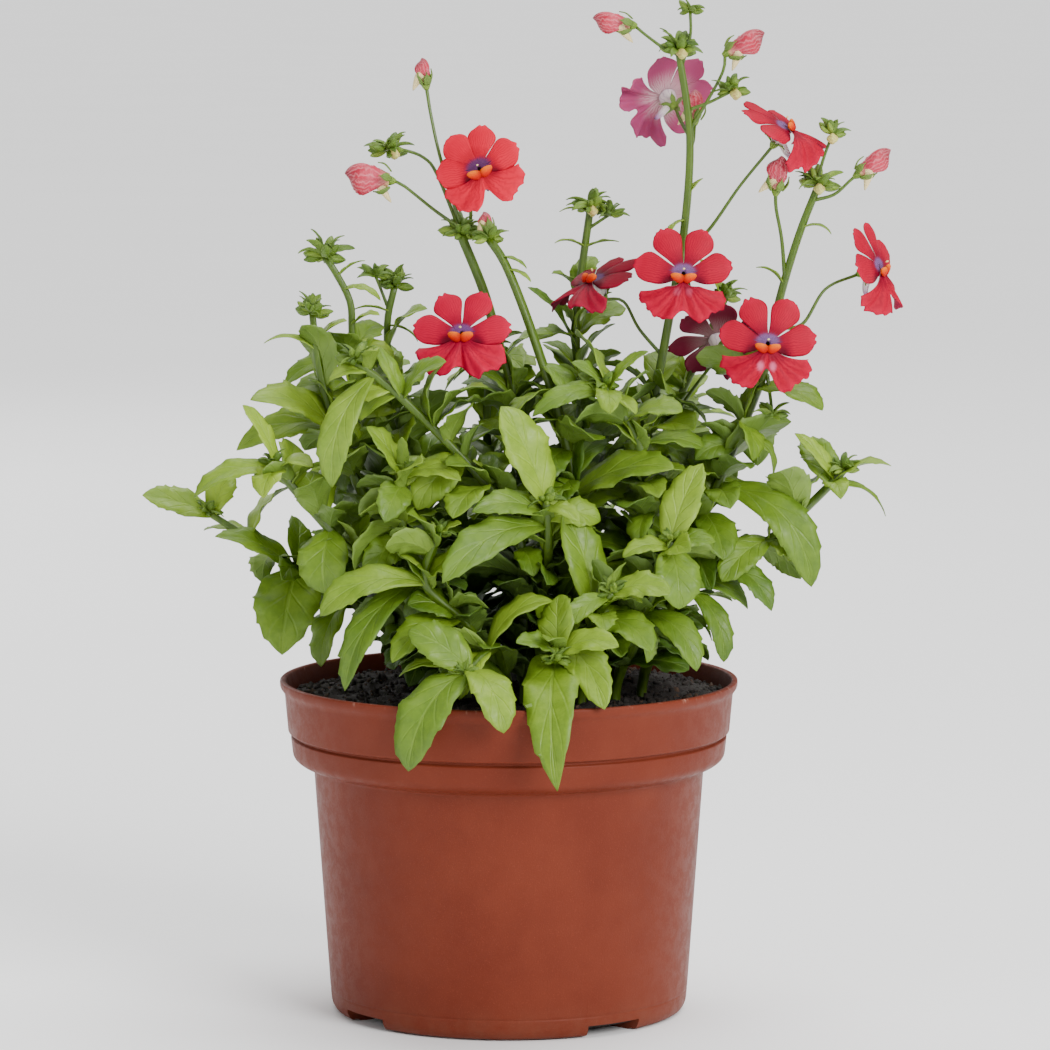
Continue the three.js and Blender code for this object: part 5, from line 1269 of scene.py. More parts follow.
class Flower:
    """A two-lipped flower: four upper petals, a lip of two ruffled lobes, a tube and a spur."""

    PETALS = ((26, 13.0, 7.8), (-26, 13.0, 7.8), (78, 13.0, 8.2), (-78, 13.0, 8.2))
    SPOKES = (26, -26, 78, -78, 120, 150, 180, 210, 240)
    SLOPE = 0.22
    BEND = 0.02
    LIP_SLOPE = 0.3
    TUBE = 4.4
    THICKNESS = 0.34
    ROWS = 21
    COLUMNS = 13
    SPOTS = {4: (1.0, -6.0), 3: (0.3, -4.8)}
    NECKS = {3: 0.5, 6: 0.3}
    DROOPS = {6: 0.05, 5: 0.03, 7: 0.03}
    SPREADS = {1: 1.16, 2: 1.1, 4: 1.08}
    THROATS = {1: 1.25}
    WIDTHS = {1: 1.14, 8: 1.12}
    NOTCHES = {1: 0.5, 2: 0.3, 3: 0.24, 4: 0.5}
    LIP_ROWS = 18
    LIP_COLUMNS = 67
    LIP_HALF_ANGLE = 70.0
    HUMP_ROWS = 20
    HUMP_SIDES = 26

    def __init__(self, number: int, bloom: Bloom) -> None:
        """Works out the flower's frame.

        Args:
            number: The flower's number, from 1.
            bloom: Its place.
        """
        self.number = number
        self.bloom = bloom
        face = unit(np.array(bloom.face, float))
        upward = np.array(bloom.up, float)
        up = unit(upward - face * float(upward @ face))
        self.frame = FaceFrame(np.array(bloom.at, float), np.cross(up, face) * bloom.size,
                               up * bloom.size, face * bloom.size)
        self.calyx = Calyx(self.frame, self.TUBE)

    def pedicel(self, step: float) -> Array:
        """Walks the flower's stalk from the stem to the calyx."""
        return smooth_curve(np.array([*self.bloom.stalk, self.calyx.end], float), step)

    def keep_samples(self, room: Clearances) -> None:
        """Keeps the flower's samples, for the leaves to stay clear of."""
        owner = f"bloom_{self.number}"
        for angle in self.SPOKES:
            for reach in (3, 6.2, 9.4, 12.6):
                for offset in (-2.5, 0, 2.5):
                    rise = 0.25 * reach - self.BEND * reach * reach
                    room.keep(self.frame.petal_point(angle * DEGREES, reach, offset, rise), 1, owner)
        for depth in (-4, -2, 0, 2):
            room.keep(self.frame.place(0, 0, depth), 2.4, owner)
        room.keep(self.frame.place(0, -4, -5), 1, owner)
        room.keep(self.frame.place(0, -6, -6), 1, owner)

    def throat_mask(self, x: Array, y: Array) -> Array:
        """Marks the purple patch above the palate."""
        swell = self.THROATS.get(self.number, 1.0)
        away = np.hypot(x / 3.7, (y - 0.7) / 2.3) / swell
        return 1 - smoothstep(0.5, 1.25, away)

    def shade_mask(self, x: Array, y: Array) -> Array:
        """Marks the painted shade beside the palate, a dark crimson at the foot of the side petals."""
        return np.exp(-((np.abs(x) - 4.2) ** 2 + (y + 2.4) ** 2) / 3.4)

    def add_petal(self, builder: MeshBuilder, turn: float, size: float, width: float,
                  draw: SeededDraw) -> None:
        """Adds one upper petal.

        Args:
            builder: The flower's mesh.
            turn: Its turn from the upward way, in degrees.
            size: Its length from the throat.
            width: Its greatest width.
            draw: The draw for its small differences.
        """
        rows = np.linspace(0, 1, self.ROWS)
        offset = np.linspace(1, -1, self.COLUMNS)
        size = size * draw.around(1, 0.05)
        width = width * draw.around(1, 0.08) * self.WIDTHS.get(self.number, 1.0)
        turn = (turn + draw.around(0, 6)) * DEGREES
        swell = np.sin(np.clip(rows / 0.78, 0, 1) ** 1.7 * math.pi / 2)
        close = np.clip(1 - (np.clip(rows - 0.62, 0, 1) / 0.42) ** 2.2, 0, 1) ** 0.5
        early = np.sin(np.clip(rows / 0.5, 0, 1) * math.pi / 2)
        low = (offset * math.sin(turn) > 0) & (abs(math.sin(turn)) > 0.7)
        wide = np.where(low[None], 0.32 + 0.68 * early[:, None], 0.22 + 0.78 * swell[:, None])
        aside = width / 2 * wide * close[:, None] * offset[None]
        reach = (0.5 + rows * (size - 0.5))[:, None]
        curl = 0.07 * size * rows[:, None] ** 4 * np.abs(offset)[None] ** 2.4
        notch = 0.7 * draw() * np.exp(-((offset - draw.around(0, 0.5)) / 0.26) ** 2)[None]
        notch = notch * rows[:, None] ** 6
        notch = notch + 0.2 * np.sin(offset * 7 + 6 * draw())[None] * rows[:, None] ** 6
        reach = reach - curl - notch
        lean = draw.around(0, 0.5)
        ripple = 0.22 * rows[:, None] ** 2 * np.abs(offset)[None] ** 3
        ripple = ripple * np.sin(rows[:, None] * 11 + 2.2 * np.sign(offset)[None] + 6 * draw())
        rise = self.SLOPE * reach - self.BEND * reach ** 2
        rise = rise - 0.055 * aside ** 2 + ripple
        rise = rise + lean * rows[:, None] * offset[None] + 0.5 * np.exp(-(reach / 2.2) ** 2)
        grid = self.frame.petal_point(turn, reach, aside, rise)
        x = np.sin(turn) * reach + np.cos(turn) * aside
        y = np.cos(turn) * reach - np.sin(turn) * aside
        place = np.stack(np.broadcast_arrays((1 - offset[None]) / 2, rows[:, None]), axis=-1)
        masks = np.zeros(grid.shape)
        masks[..., 0] = self.throat_mask(x, y)
        # the third mask holds the painted shade beside the palate, as a negative value
        masks[..., 2] = -self.shade_mask(x, y)
        thin = self.THICKNESS * (1 - 0.35 * rows[:, None] * np.ones_like(offset)[None])
        add_sheet(builder, grid, thin, place, masks, FlowerPart.PETAL.value)

    def add_lip(self, builder: MeshBuilder, ruffle: float, draw: SeededDraw) -> None:
        """Adds the lip, whose two lobes meet in a notch.

        Args:
            builder: The flower's mesh.
            ruffle: The height of its ruffles.
            draw: The draw for its small differences.
        """
        spread = np.linspace(-1, 1, self.LIP_COLUMNS)
        angle = spread * self.LIP_HALF_ANGLE
        rows = np.linspace(0, 1, self.LIP_ROWS)
        centre = np.exp(-np.abs(angle / 12.5) ** 2.6)
        corner = smoothstep(0.86, 1.0, np.abs(spread))
        notch = self.NOTCHES.get(self.number, draw.around(0.4, 0.2))
        outer = 13.0 * (1 - notch * centre) * (1 - 0.12 * corner)
        fringe = np.sin(angle * 0.21 + 6.3 * draw()) + 0.7 * np.sin(angle * 0.57 + 6.3 * draw())
        fringe = fringe + 0.6 * np.abs(np.sin(angle * 0.9 + 6.3 * draw()))
        outer = outer * (1 + 0.028 * fringe * (1 - centre))
        inner = 1.1
        reach = inner + rows[:, None] * (outer - inner)[None]
        neck = self.NECKS.get(self.number, 0.0) * (1 - smoothstep(2.8, 5.6, reach))
        spread_by = self.SPREADS.get(self.number, 1.0) * (1 - neck)
        turn = (180 + angle * (0.58 + 0.38 * rows[:, None]) * spread_by) * DEGREES
        share = reach / 12.0
        waves = np.sin(angle * 0.155 + 6.3 * draw()) + 0.55 * np.sin(angle * 0.33 + 6.3 * draw())
        rise = self.LIP_SLOPE * reach - self.BEND * reach ** 2 + 0.6 * np.exp(-(reach / 2.4) ** 2)
        rise = rise + ruffle * waves[None] * share ** 2.2
        rise = rise - 0.9 * centre[None] * smoothstep(2.5, 6.5, reach)
        rise = rise + 0.5 * np.cos(angle * DEGREES * 2.6)[None] * share
        rise = rise - self.DROOPS.get(self.number, 0.008) * (np.sin(turn) * reach) ** 2
        grid = self.frame.petal_point(turn, reach, np.zeros_like(reach), rise)
        x = np.sin(turn) * reach
        y = np.cos(turn) * reach
        place = np.stack(np.broadcast_arrays((spread[None] + 1) / 2, rows[:, None]), axis=-1)
        masks = np.zeros(grid.shape)
        masks[..., 0] = self.throat_mask(x, y)
        strength, low = self.SPOTS.get(self.number, (0.0, 0.0))
        spot = np.hypot((np.abs(x) - 1.6) / 1.0, (y - low) / 1.3)
        # the pale spots, less the painted shade beside the palate
        masks[..., 2] = (1 - smoothstep(0.5, 1.2, spot)) * strength - 0.6 * self.shade_mask(x, y)
        thin = np.full(reach.shape, self.THICKNESS)
        add_sheet(builder, grid[:, ::-1], thin, place[:, ::-1], masks[:, ::-1], FlowerPart.PETAL.value)

    def add_tube(self, builder: MeshBuilder) -> None:
        """Adds the tube behind the throat, its spur and the pale knob in the throat."""
        profile = np.array([
            [0.5, -4.7], [1.15, -4.5], [1.5, -3.6], [1.75, -2.6], [2.05, -1.4], [2.35, -0.2],
            [2.35, 0.1], [2.2, 0.2], [1.9, 0.0], [1.4, -0.5], [0.7, -1.1],
        ])
        angle = np.arange(24) / 24 * 2 * math.pi
        ribs = 1 + 0.03 * np.cos(angle * 6)
        rings = self.frame.place(
            profile[:, :1] * np.cos(angle) * ribs, profile[:, :1] * np.sin(angle) * ribs,
            profile[:, 1:] * np.ones_like(angle))
        add_rings(builder, rings, FlowerPart.TUBE.value)
        share = np.linspace(0, 1, 14)
        x = np.zeros_like(share)
        y = -0.6 - 5.9 * share ** 0.9
        z = -2.8 - 3.2 * np.sin(share * math.pi / 2) + 0.5 * share ** 2
        radii = 1.0 * (1 - share) ** 0.55 * 0.85 + 0.28 * np.sqrt(np.clip(1 - share ** 6, 0, 1)) + 0.02
        add_rings(builder, swept_rings(self.frame.place(x, y, z), radii, 14), FlowerPart.TUBE.value)
        spread = np.linspace(0, math.pi, 7)
        knob = self.frame.place(
            0.34 * np.sin(spread)[:, None] * np.cos(angle[::2]),
            0.75 + 0.26 * np.sin(spread)[:, None] * np.sin(angle[::2]),
            (3.1 + 0.45 * np.cos(spread))[:, None] * np.ones(12))
        add_rings(builder, knob, FlowerPart.KNOB.value)

    def corolla(self, finish: "PetalFinish", materials: list[bpy.types.Material]) -> bpy.types.Object:
        """Makes the petals, lip, tube and spur as one piece."""
        draw = SeededDraw(900 + self.number)
        builder = MeshBuilder()
        for turn, size, width in self.PETALS:
            self.add_petal(builder, turn, size, width, draw)
        self.add_lip(builder, finish.ruffle, draw)
        self.add_tube(builder)
        return builder.build(f"corolla_{self.number}", materials)

    def palate(self, material: bpy.types.Material) -> bpy.types.Object:
        """Makes the two downy orange humps that close the throat."""
        builder = MeshBuilder()
        down = np.linspace(0.004, 0.985, self.HUMP_ROWS)[:, None]
        angle = np.arange(self.HUMP_SIDES) / self.HUMP_SIDES * 2 * math.pi
        plump = 1.78 * np.sin(down ** 0.66 * math.pi) ** 0.6
        fat = self.THROATS.get(self.number, 1.0) ** 0.7
        for side in (-1, 1):
            swell = plump * (1 + 0.05 * np.sin(angle * 7 + down * 21))
            x = side * (1.75 - 0.7 * down) + swell * np.cos(angle)
            y = -0.4 - 2.5 * down + 0.3 * np.abs(x) / 3.4
            z = 2.3 - 0.9 * down + 0.46 * swell * np.sin(angle)
            rings = self.frame.place(x * fat, y * fat, z * fat ** 0.5)
            masks = np.zeros(rings.shape)
            masks[..., 0] = down
            # the middle mask marks the crease where the two humps meet, for painted shade there
            masks[..., 1] = np.exp(-(x / 0.75) ** 2)
            add_rings(builder, rings, 0, masks)
        return builder.build(f"palate_humps_{self.number}", [material])


class FurledBud:
    """A coloured bud: a furled pouch with overlapping petal edges and a small spur."""

    ROWS = 24
    SIDES = 36
    SPUR_STEPS = 10
    SPUR_SIDES = 12

    def __init__(self, number: int, bud: Bud) -> None:
        """Works out the bud's frame.

        Args:
            number: The bud's number, from 1.
            bud: Its place.
        """
        self.number = number
        self.bud = bud
        base = np.array(bud.base, float)
        tip = np.array(bud.tip, float)
        face = unit(tip - base)
        right, up = across_axis(face)
        self.length = float(np.linalg.norm(tip - base))
        self.frame = FaceFrame(base, right, up, face)
        self.calyx = Calyx(self.frame, 0.0, reach=4.6, sepal_width=1.9, hug=bud.radius)

    def pedicel(self, step: float) -> Array:
        """Walks the bud's stalk from the stem to the calyx."""
        return smooth_curve(np.array([*self.bud.stalk, self.calyx.end], float), step)

    def build(self, material: bpy.types.Material) -> bpy.types.Object:
        """Makes the bud."""
        builder = MeshBuilder()
        share = np.sin(np.linspace(0, 1, self.ROWS) * math.pi / 2)
        angle = np.arange(self.SIDES) / self.SIDES * 2 * math.pi
        outline = 0.46 + 0.54 * smoothstep(0, 0.66, share)
        outline = outline * np.clip(1 - (np.clip(share - 0.58, 0, 1) / 0.43) ** 2.3, 0, 1) ** 0.5
        overlap = np.mod((angle[None] + 2.1 * share[:, None]) * 3 / (2 * math.pi), 1.0)
        fold = 1 + 0.24 * (overlap ** 3 - 0.25) * np.sin(share * math.pi * 0.9)[:, None] ** 0.5
        radius = self.bud.radius * outline[:, None] * fold
        sag = 0.18 * self.bud.radius * share[:, None] ** 2
        rings = self.frame.place(
            radius * np.cos(angle) * 0.84, radius * np.sin(angle) * 1.06 - sag,
            (share * self.length)[:, None] * (1 + 0.09 * share[:, None] * np.sin(angle)))
        masks = np.zeros(rings.shape)
        masks[..., 0] = share[:, None]
        masks[..., 2] = overlap
        add_rings(builder, rings, 0, masks)
        steps = np.linspace(0, 1, self.SPUR_STEPS)
        spur = self.frame.place(
            np.zeros(self.SPUR_STEPS), -0.4 - (self.bud.radius + 1.4) * steps ** 0.8, 2.6 - 4.0 * steps)
        radii = 1.45 * (1 - steps) ** 0.8 + 0.12
        masks = np.zeros((self.SPUR_STEPS, self.SPUR_SIDES, 3))
        masks[..., 1] = 1
        add_rings(builder, swept_rings(spur, radii, self.SPUR_SIDES), 0, masks)
        return builder.build(f"furled_bud_{self.number}", [material])


# Node trees

class Wiring:
    """Adds and joins the nodes of one shader or geometry tree."""

    def __init__(self, tree: bpy.types.NodeTree) -> None:
        """Keeps the tree."""
        self.tree = tree

    def node(self, kind: str, values: dict | None = None, **settings: object) -> bpy.types.Node:
        """Adds a node.

        Args:
            kind: The node's type.
            values: What goes into its sockets: another node's output, or a constant.
            settings: The node's own settings.

        Returns:
            The node.
        """
        made = self.tree.nodes.new(kind)
        for name, value in settings.items():
            setattr(made, name, value)
        for key, value in (values or {}).items():
            if isinstance(value, bpy.types.NodeSocket):
                self.tree.links.new(value, made.inputs[key])
            else:
                made.inputs[key].default_value = value
        return made

    def math(self, operation: str, first: object, second: object = 0.0) -> bpy.types.NodeSocket:
        """Adds a sum, product or other rule of two numbers."""
        return self.node("ShaderNodeMath", {0: first, 1: second}, operation=operation).outputs[0]

    def times(self, first: object, second: object) -> bpy.types.NodeSocket:
        """Adds a product."""
        return self.math("MULTIPLY", first, second)

    def plus(self, first: object, second: object) -> bpy.types.NodeSocket:
        """Adds a sum."""
        return self.math("ADD", first, second)

    def minus(self, first: object, second: object) -> bpy.types.NodeSocket:
        """Adds a difference."""
        return self.math("SUBTRACT", first, second)

    def blend(self, share: object, first: object, second: object) -> bpy.types.NodeSocket:
        """Mixes two colours by a share."""
        made = self.node("ShaderNodeMix", {0: share, 6: first, 7: second},
                         data_type="RGBA", clamp_factor=True)
        return made.outputs[2]

    def span(self, value: object, low: object, high: object, start: float = 0.0,
             end: float = 1.0) -> bpy.types.NodeSocket:
        """Maps a range of values smoothly onto another one."""
        made = self.node("ShaderNodeMapRange", {
            "Value": value, "From Min": low, "From Max": high, "To Min": start, "To Max": end,
        }, interpolation_type="SMOOTHSTEP")
        return made.outputs["Result"]

    def ramp(self, share: object, stops: list[tuple[float, tuple]]) -> bpy.types.NodeSocket:
        """Adds a colour ramp of listed stops."""
        made = self.node("ShaderNodeValToRGB", {0: share})
        band = made.color_ramp
        band.elements[0].position, band.elements[0].color = stops[0]
        band.elements[1].position, band.elements[1].color = stops[-1]
        for position, tint in stops[1:-1]:
            band.elements.new(position).color = tint
        return made.outputs[0]

    def noise(self, place: object, scale: object, detail: float = 3.0) -> bpy.types.NodeSocket:
        """Adds a noise of a scale in a place's own units."""
        made = self.node("ShaderNodeTexNoise", {"Vector": place, "Scale": scale, "Detail": detail})
        return made.outputs[0]


class SweepTree:
    """The geometry tree that draws rounded four-cornered stems along edges."""

    def __init__(self, material: bpy.types.Material) -> None:
        """Builds the tree for one material."""
        tree = bpy.data.node_groups.new("stem_sweep", "GeometryNodeTree")
        face = tree.interface
        face.new_socket("Geometry", in_out="INPUT", socket_type="NodeSocketGeometry")
        self.width = face.new_socket("Corner width", in_out="INPUT", socket_type="NodeSocketFloat").identifier
        self.fillet = face.new_socket("Fillet", in_out="INPUT", socket_type="NodeSocketFloat").identifier
        self.steps = face.new_socket("Fillet steps", in_out="INPUT", socket_type="NodeSocketInt").identifier
        face.new_socket("Geometry", in_out="OUTPUT", socket_type="NodeSocketGeometry")
        wires = Wiring(tree)
        given = wires.node("NodeGroupInput").outputs
        curve = wires.node("GeometryNodeMeshToCurve", {"Mesh": given["Geometry"]}).outputs[0]
        radius = wires.node("GeometryNodeInputNamedAttribute", {"Name": "thickness"}, data_type="FLOAT")
        profile = wires.node("GeometryNodeCurvePrimitiveQuadrilateral", {
            "Width": given["Corner width"], "Height": given["Corner width"],
        }).outputs[0]
        rounded = wires.node("GeometryNodeFilletCurve", {
            "Curve": profile, "Count": given["Fillet steps"], "Radius": given["Fillet"],
            "Limit Radius": True,
        }, mode="POLY").outputs[0]
        swept = wires.node("GeometryNodeCurveToMesh", {
            "Curve": curve, "Profile Curve": rounded, "Scale": radius.outputs["Attribute"],
            "Fill Caps": True,
        }).outputs[0]
        whole = wires.node("GeometryNodeRealizeInstances", {"Geometry": swept}).outputs[0]
        smooth = wires.node("GeometryNodeSetShadeSmooth", {"Geometry": whole}).outputs[0]
        dressed = wires.node("GeometryNodeSetMaterial", {"Geometry": smooth, "Material": material})
        wires.node("NodeGroupOutput", {"Geometry": dressed.outputs[0]})
        self.tree = tree


def evaluated_copy(piece: bpy.types.Object, name: str) -> bpy.types.Object:
    """Turns an object with live modifiers into a plain mesh object and removes the first.

    Args:
        piece: The object with its modifiers.
        name: The new object's name.

    Returns:
        The plain object.
    """
    bpy.context.view_layer.update()
    graph = bpy.context.evaluated_depsgraph_get()
    mesh = bpy.data.meshes.new_from_object(piece.evaluated_get(graph))
    mesh.name = name
    bpy.data.objects.remove(piece)
    plain = bpy.data.objects.new(name, mesh)
    bpy.context.scene.collection.objects.link(plain)
    return plain


@dataclass
class Thread:
    """A line that a stem or stalk follows, with its radii and the age of its green."""

    points: Array
    radii: Array
    tones: Array


def slanted_way(turn: float, height: float) -> Array:
    """Gives the unit way at a turn round a head of buds and a height on it."""
    flat = math.sqrt(max(1 - height * height, 0.05))
    return unit(np.array([math.cos(turn) * flat, math.sin(turn) * flat, height]))


@dataclass
class LeafyStem:
    """One stem of the plant with its leaves, stalks, calyces and heads of green buds."""

    plan: Stem
    layout: Layout
    flowers: list[Flower]
    buds: list[FurledBud]
    step: float = 2.2
    stalk_step: float = 1.4
    stalk_radius: float = 0.5
    node_swell: float = 0.22
    node_reach: float = 2.2
    corner_width: float = 1.62
    fillet: float = 0.52
    fillet_steps: int = 3
    CREAM_ABOVE: ClassVar[float] = 208.0
    CREAM_LEAST: ClassVar[float] = 2.3
    CREAM_SIDES: ClassVar[int] = 20
    BUD_STEPS: ClassVar[int] = 9
    BUD_SIDES: ClassVar[int] = 10
    SPIRAL_TURN: ClassVar[float] = 137.5
    FINE_SEED: ClassVar[int] = 300

    @property
    def name(self) -> str:
        """The name of the finer piece."""
        return self.plan.name.replace("stem_", "shoot_")

    def threads(self) -> list[Thread]:
        """Lists the stem and every stalk on it."""
        path = smooth_curve(np.array(self.plan.path, float), self.step)
        share = np.linspace(0, 1, len(path))
        radii = mix(self.plan.base, self.plan.tip * 1.2, share)
        for row in self.plan.rows:
            for k in range(row.count):
                height = mix(row.low, row.high, k / max(row.count - 1, 1))
                gap = (path[:, 2] - height) / self.node_reach
                radii = radii * (1 + self.node_swell * np.exp(-gap ** 2))
        found = [Thread(path, radii, 0.25 + 0.6 * share)]
        stalks = [np.array(stalk, float) for stalk in self.plan.stalks]
        lines = [smooth_curve(stalk, self.stalk_step) for stalk in stalks]
        lines += [flower.pedicel(self.stalk_step) for flower in self.flowers]
        lines += [bud.pedicel(self.stalk_step) for bud in self.buds]
        for line in lines:
            share = np.linspace(0, 1, len(line))
            radii = self.stalk_radius * (1.25 - 0.35 * np.sin(share * math.pi / 2) + 0.2 * share ** 6)
            found.append(Thread(line, radii, 0.55 + 0.3 * share))
        return found

    def sweep(self, tree: SweepTree) -> bpy.types.Object:
        """Draws the stem and its stalks with the geometry tree."""
        threads = self.threads()
        mesh = bpy.data.meshes.new("threads")
        edges = []
        start = 0
        for thread in threads:
            count = len(thread.points)
            edges += [(start + i, start + i + 1) for i in range(count - 1)]
            start += count
        points = np.concatenate([thread.points for thread in threads]) * METRES
        mesh.from_pydata(points.tolist(), edges, [])
        radius = mesh.attributes.new("thickness", "FLOAT", "POINT")
        radius.data.foreach_set("value", np.concatenate([thread.radii for thread in threads]))
        tones = np.ones((len(points), 4))
        tones[:, 0] = np.concatenate([thread.tones for thread in threads])
        tones[:, 1:3] = 0
        mesh.attributes.new("grown", "FLOAT_COLOR", "POINT").data.foreach_set("color", tones.ravel())
        piece = bpy.data.objects.new("threads", mesh)
        bpy.context.scene.collection.objects.link(piece)
        modifier = piece.modifiers.new("sweep", "NODES")
        modifier.node_group = tree.tree
        modifier[tree.width] = self.corner_width * METRES
        modifier[tree.fillet] = self.fillet * METRES
        modifier[tree.steps] = self.fillet_steps
        return evaluated_copy(piece, "swept")

    def add_leaves(self, builder: MeshBuilder, draw: SeededDraw) -> None:
        """Adds every laid leaf of the stem."""
        for leaf in self.layout.leaves[self.plan.name]:
            LeafShape(leaf, BladeForm.for_leaf(leaf, draw), draw).add_to(builder, GreenPart.BLADE)

    def add_cluster(self, builder: MeshBuilder, group: Cluster, draw: SeededDraw,
                    fine: SeededDraw) -> None:
        """Adds a head of small green buds.

        Args:
            builder: The stem's mesh.
            group: The head's place and size.
            draw: The draw that the solids share.
            fine: The draw for what only the finer piece has.
        """
        at = np.array(group.at, float)
        knob = group.size * 0.4
        large = group.size * 1.3
        share = np.linspace(0, 1, self.BUD_STEPS)
        outline = np.sin(np.clip(share * 0.94 + 0.03, 0, 1) * math.pi) ** 0.75
        masks = np.zeros((self.BUD_STEPS, self.BUD_SIDES, 3))
        for i in range(group.count):
            turn = (i * self.SPIRAL_TURN + 40 * draw()) * DEGREES
            height = mix(-0.3, 0.95, (i + 0.5) / group.count)
            flat = math.sqrt(1 - height * height)
            way = np.array([math.cos(turn) * flat, math.sin(turn) * flat, height])
            start = at + way * (knob * 0.3)
            end = at + way * (large * (1.3 + 0.3 * draw()))
            path = start + (end - start) * share[:, None]
            masks[..., 0] = 0.4 + 0.45 * fine()
            masks[..., 2] = share[:, None]
            rings = swept_rings(path, group.size * 0.4 * outline + 0.04, self.BUD_SIDES, 5, 0.12)
            add_rings(builder, rings, GreenPart.CALYX.value, masks)
        for i in range(group.count + 2):
            turn = i * 2.1 + 3 * fine()
            way = slanted_way(turn, fine.around(0.3, 1.2))
            end = at + way * large * fine.around(1.25, 0.4)
            path = at + (end - at) * (0.15 + 0.85 * share[:, None])
            masks[..., 0] = 0.3 + 0.6 * fine()
            rings = swept_rings(path, group.size * 0.26 * outline + 0.04, self.BUD_SIDES, 5, 0.12)
            add_rings(builder, rings, GreenPart.CALYX.value, masks)
        if at[2] > self.CREAM_ABOVE and group.size > self.CREAM_LEAST:
            way = unit(np.array([fine.around(0.3, 0.8), -1.0, fine.around(-0.5, 0.4)]))
            path = at + way * (large * (0.1 + 1.15 * share[:, None]))
            masks = np.full((self.BUD_STEPS, self.CREAM_SIDES, 3), 2.0)
            masks[..., 1:] = 0
            rings = swept_rings(path, 1.35 * outline + 0.04, self.CREAM_SIDES, 4, 0.12)
            add_rings(builder, rings, GreenPart.CALYX.value, masks)
        for i in range(group.count * 2 + 4):
            turn = i * 2.4 + fine()
            way = slanted_way(turn, fine.around(0.35, 1.1))
            root = at + way * (knob * 0.2)
            tip = root + way * large * fine.around(1.5, 0.8)
            small = LaidLeaf(root, tip, large * fine.around(0.42, 0.16), fine.around(0.24, 0.2),
                             fine.around(0, 90), fine.around(0.5, 0.4))
            LeafShape(small, BladeForm.for_leaf(small, fine), fine).add_to(builder, GreenPart.CALYX)

    def build(self, tree: SweepTree, materials: list[bpy.types.Material]) -> bpy.types.Object:
        """Makes the whole leafy stem as one piece."""
        builder = MeshBuilder()
        leaves = len(self.layout.leaves[self.plan.name])
        fine = SeededDraw(self.FINE_SEED + len(self.plan.name) * 7 + leaves)
        self.add_leaves(builder, fine)
        draw = self.layout.draws[self.plan.name]
        for group in self.plan.clusters:
            self.add_cluster(builder, group, draw, fine)
        if self.plan.name in SHOOT_TIPS:
            self.add_cluster(builder, SHOOT_TIPS[self.plan.name], fine, fine)
        for grown in [*self.flowers, *self.buds]:
            grown.calyx.add_to(builder, fine)
        builder.add_object(self.sweep(tree), GreenPart.STEM.value)
        return builder.build(self.name, materials)


# The pot and the soil

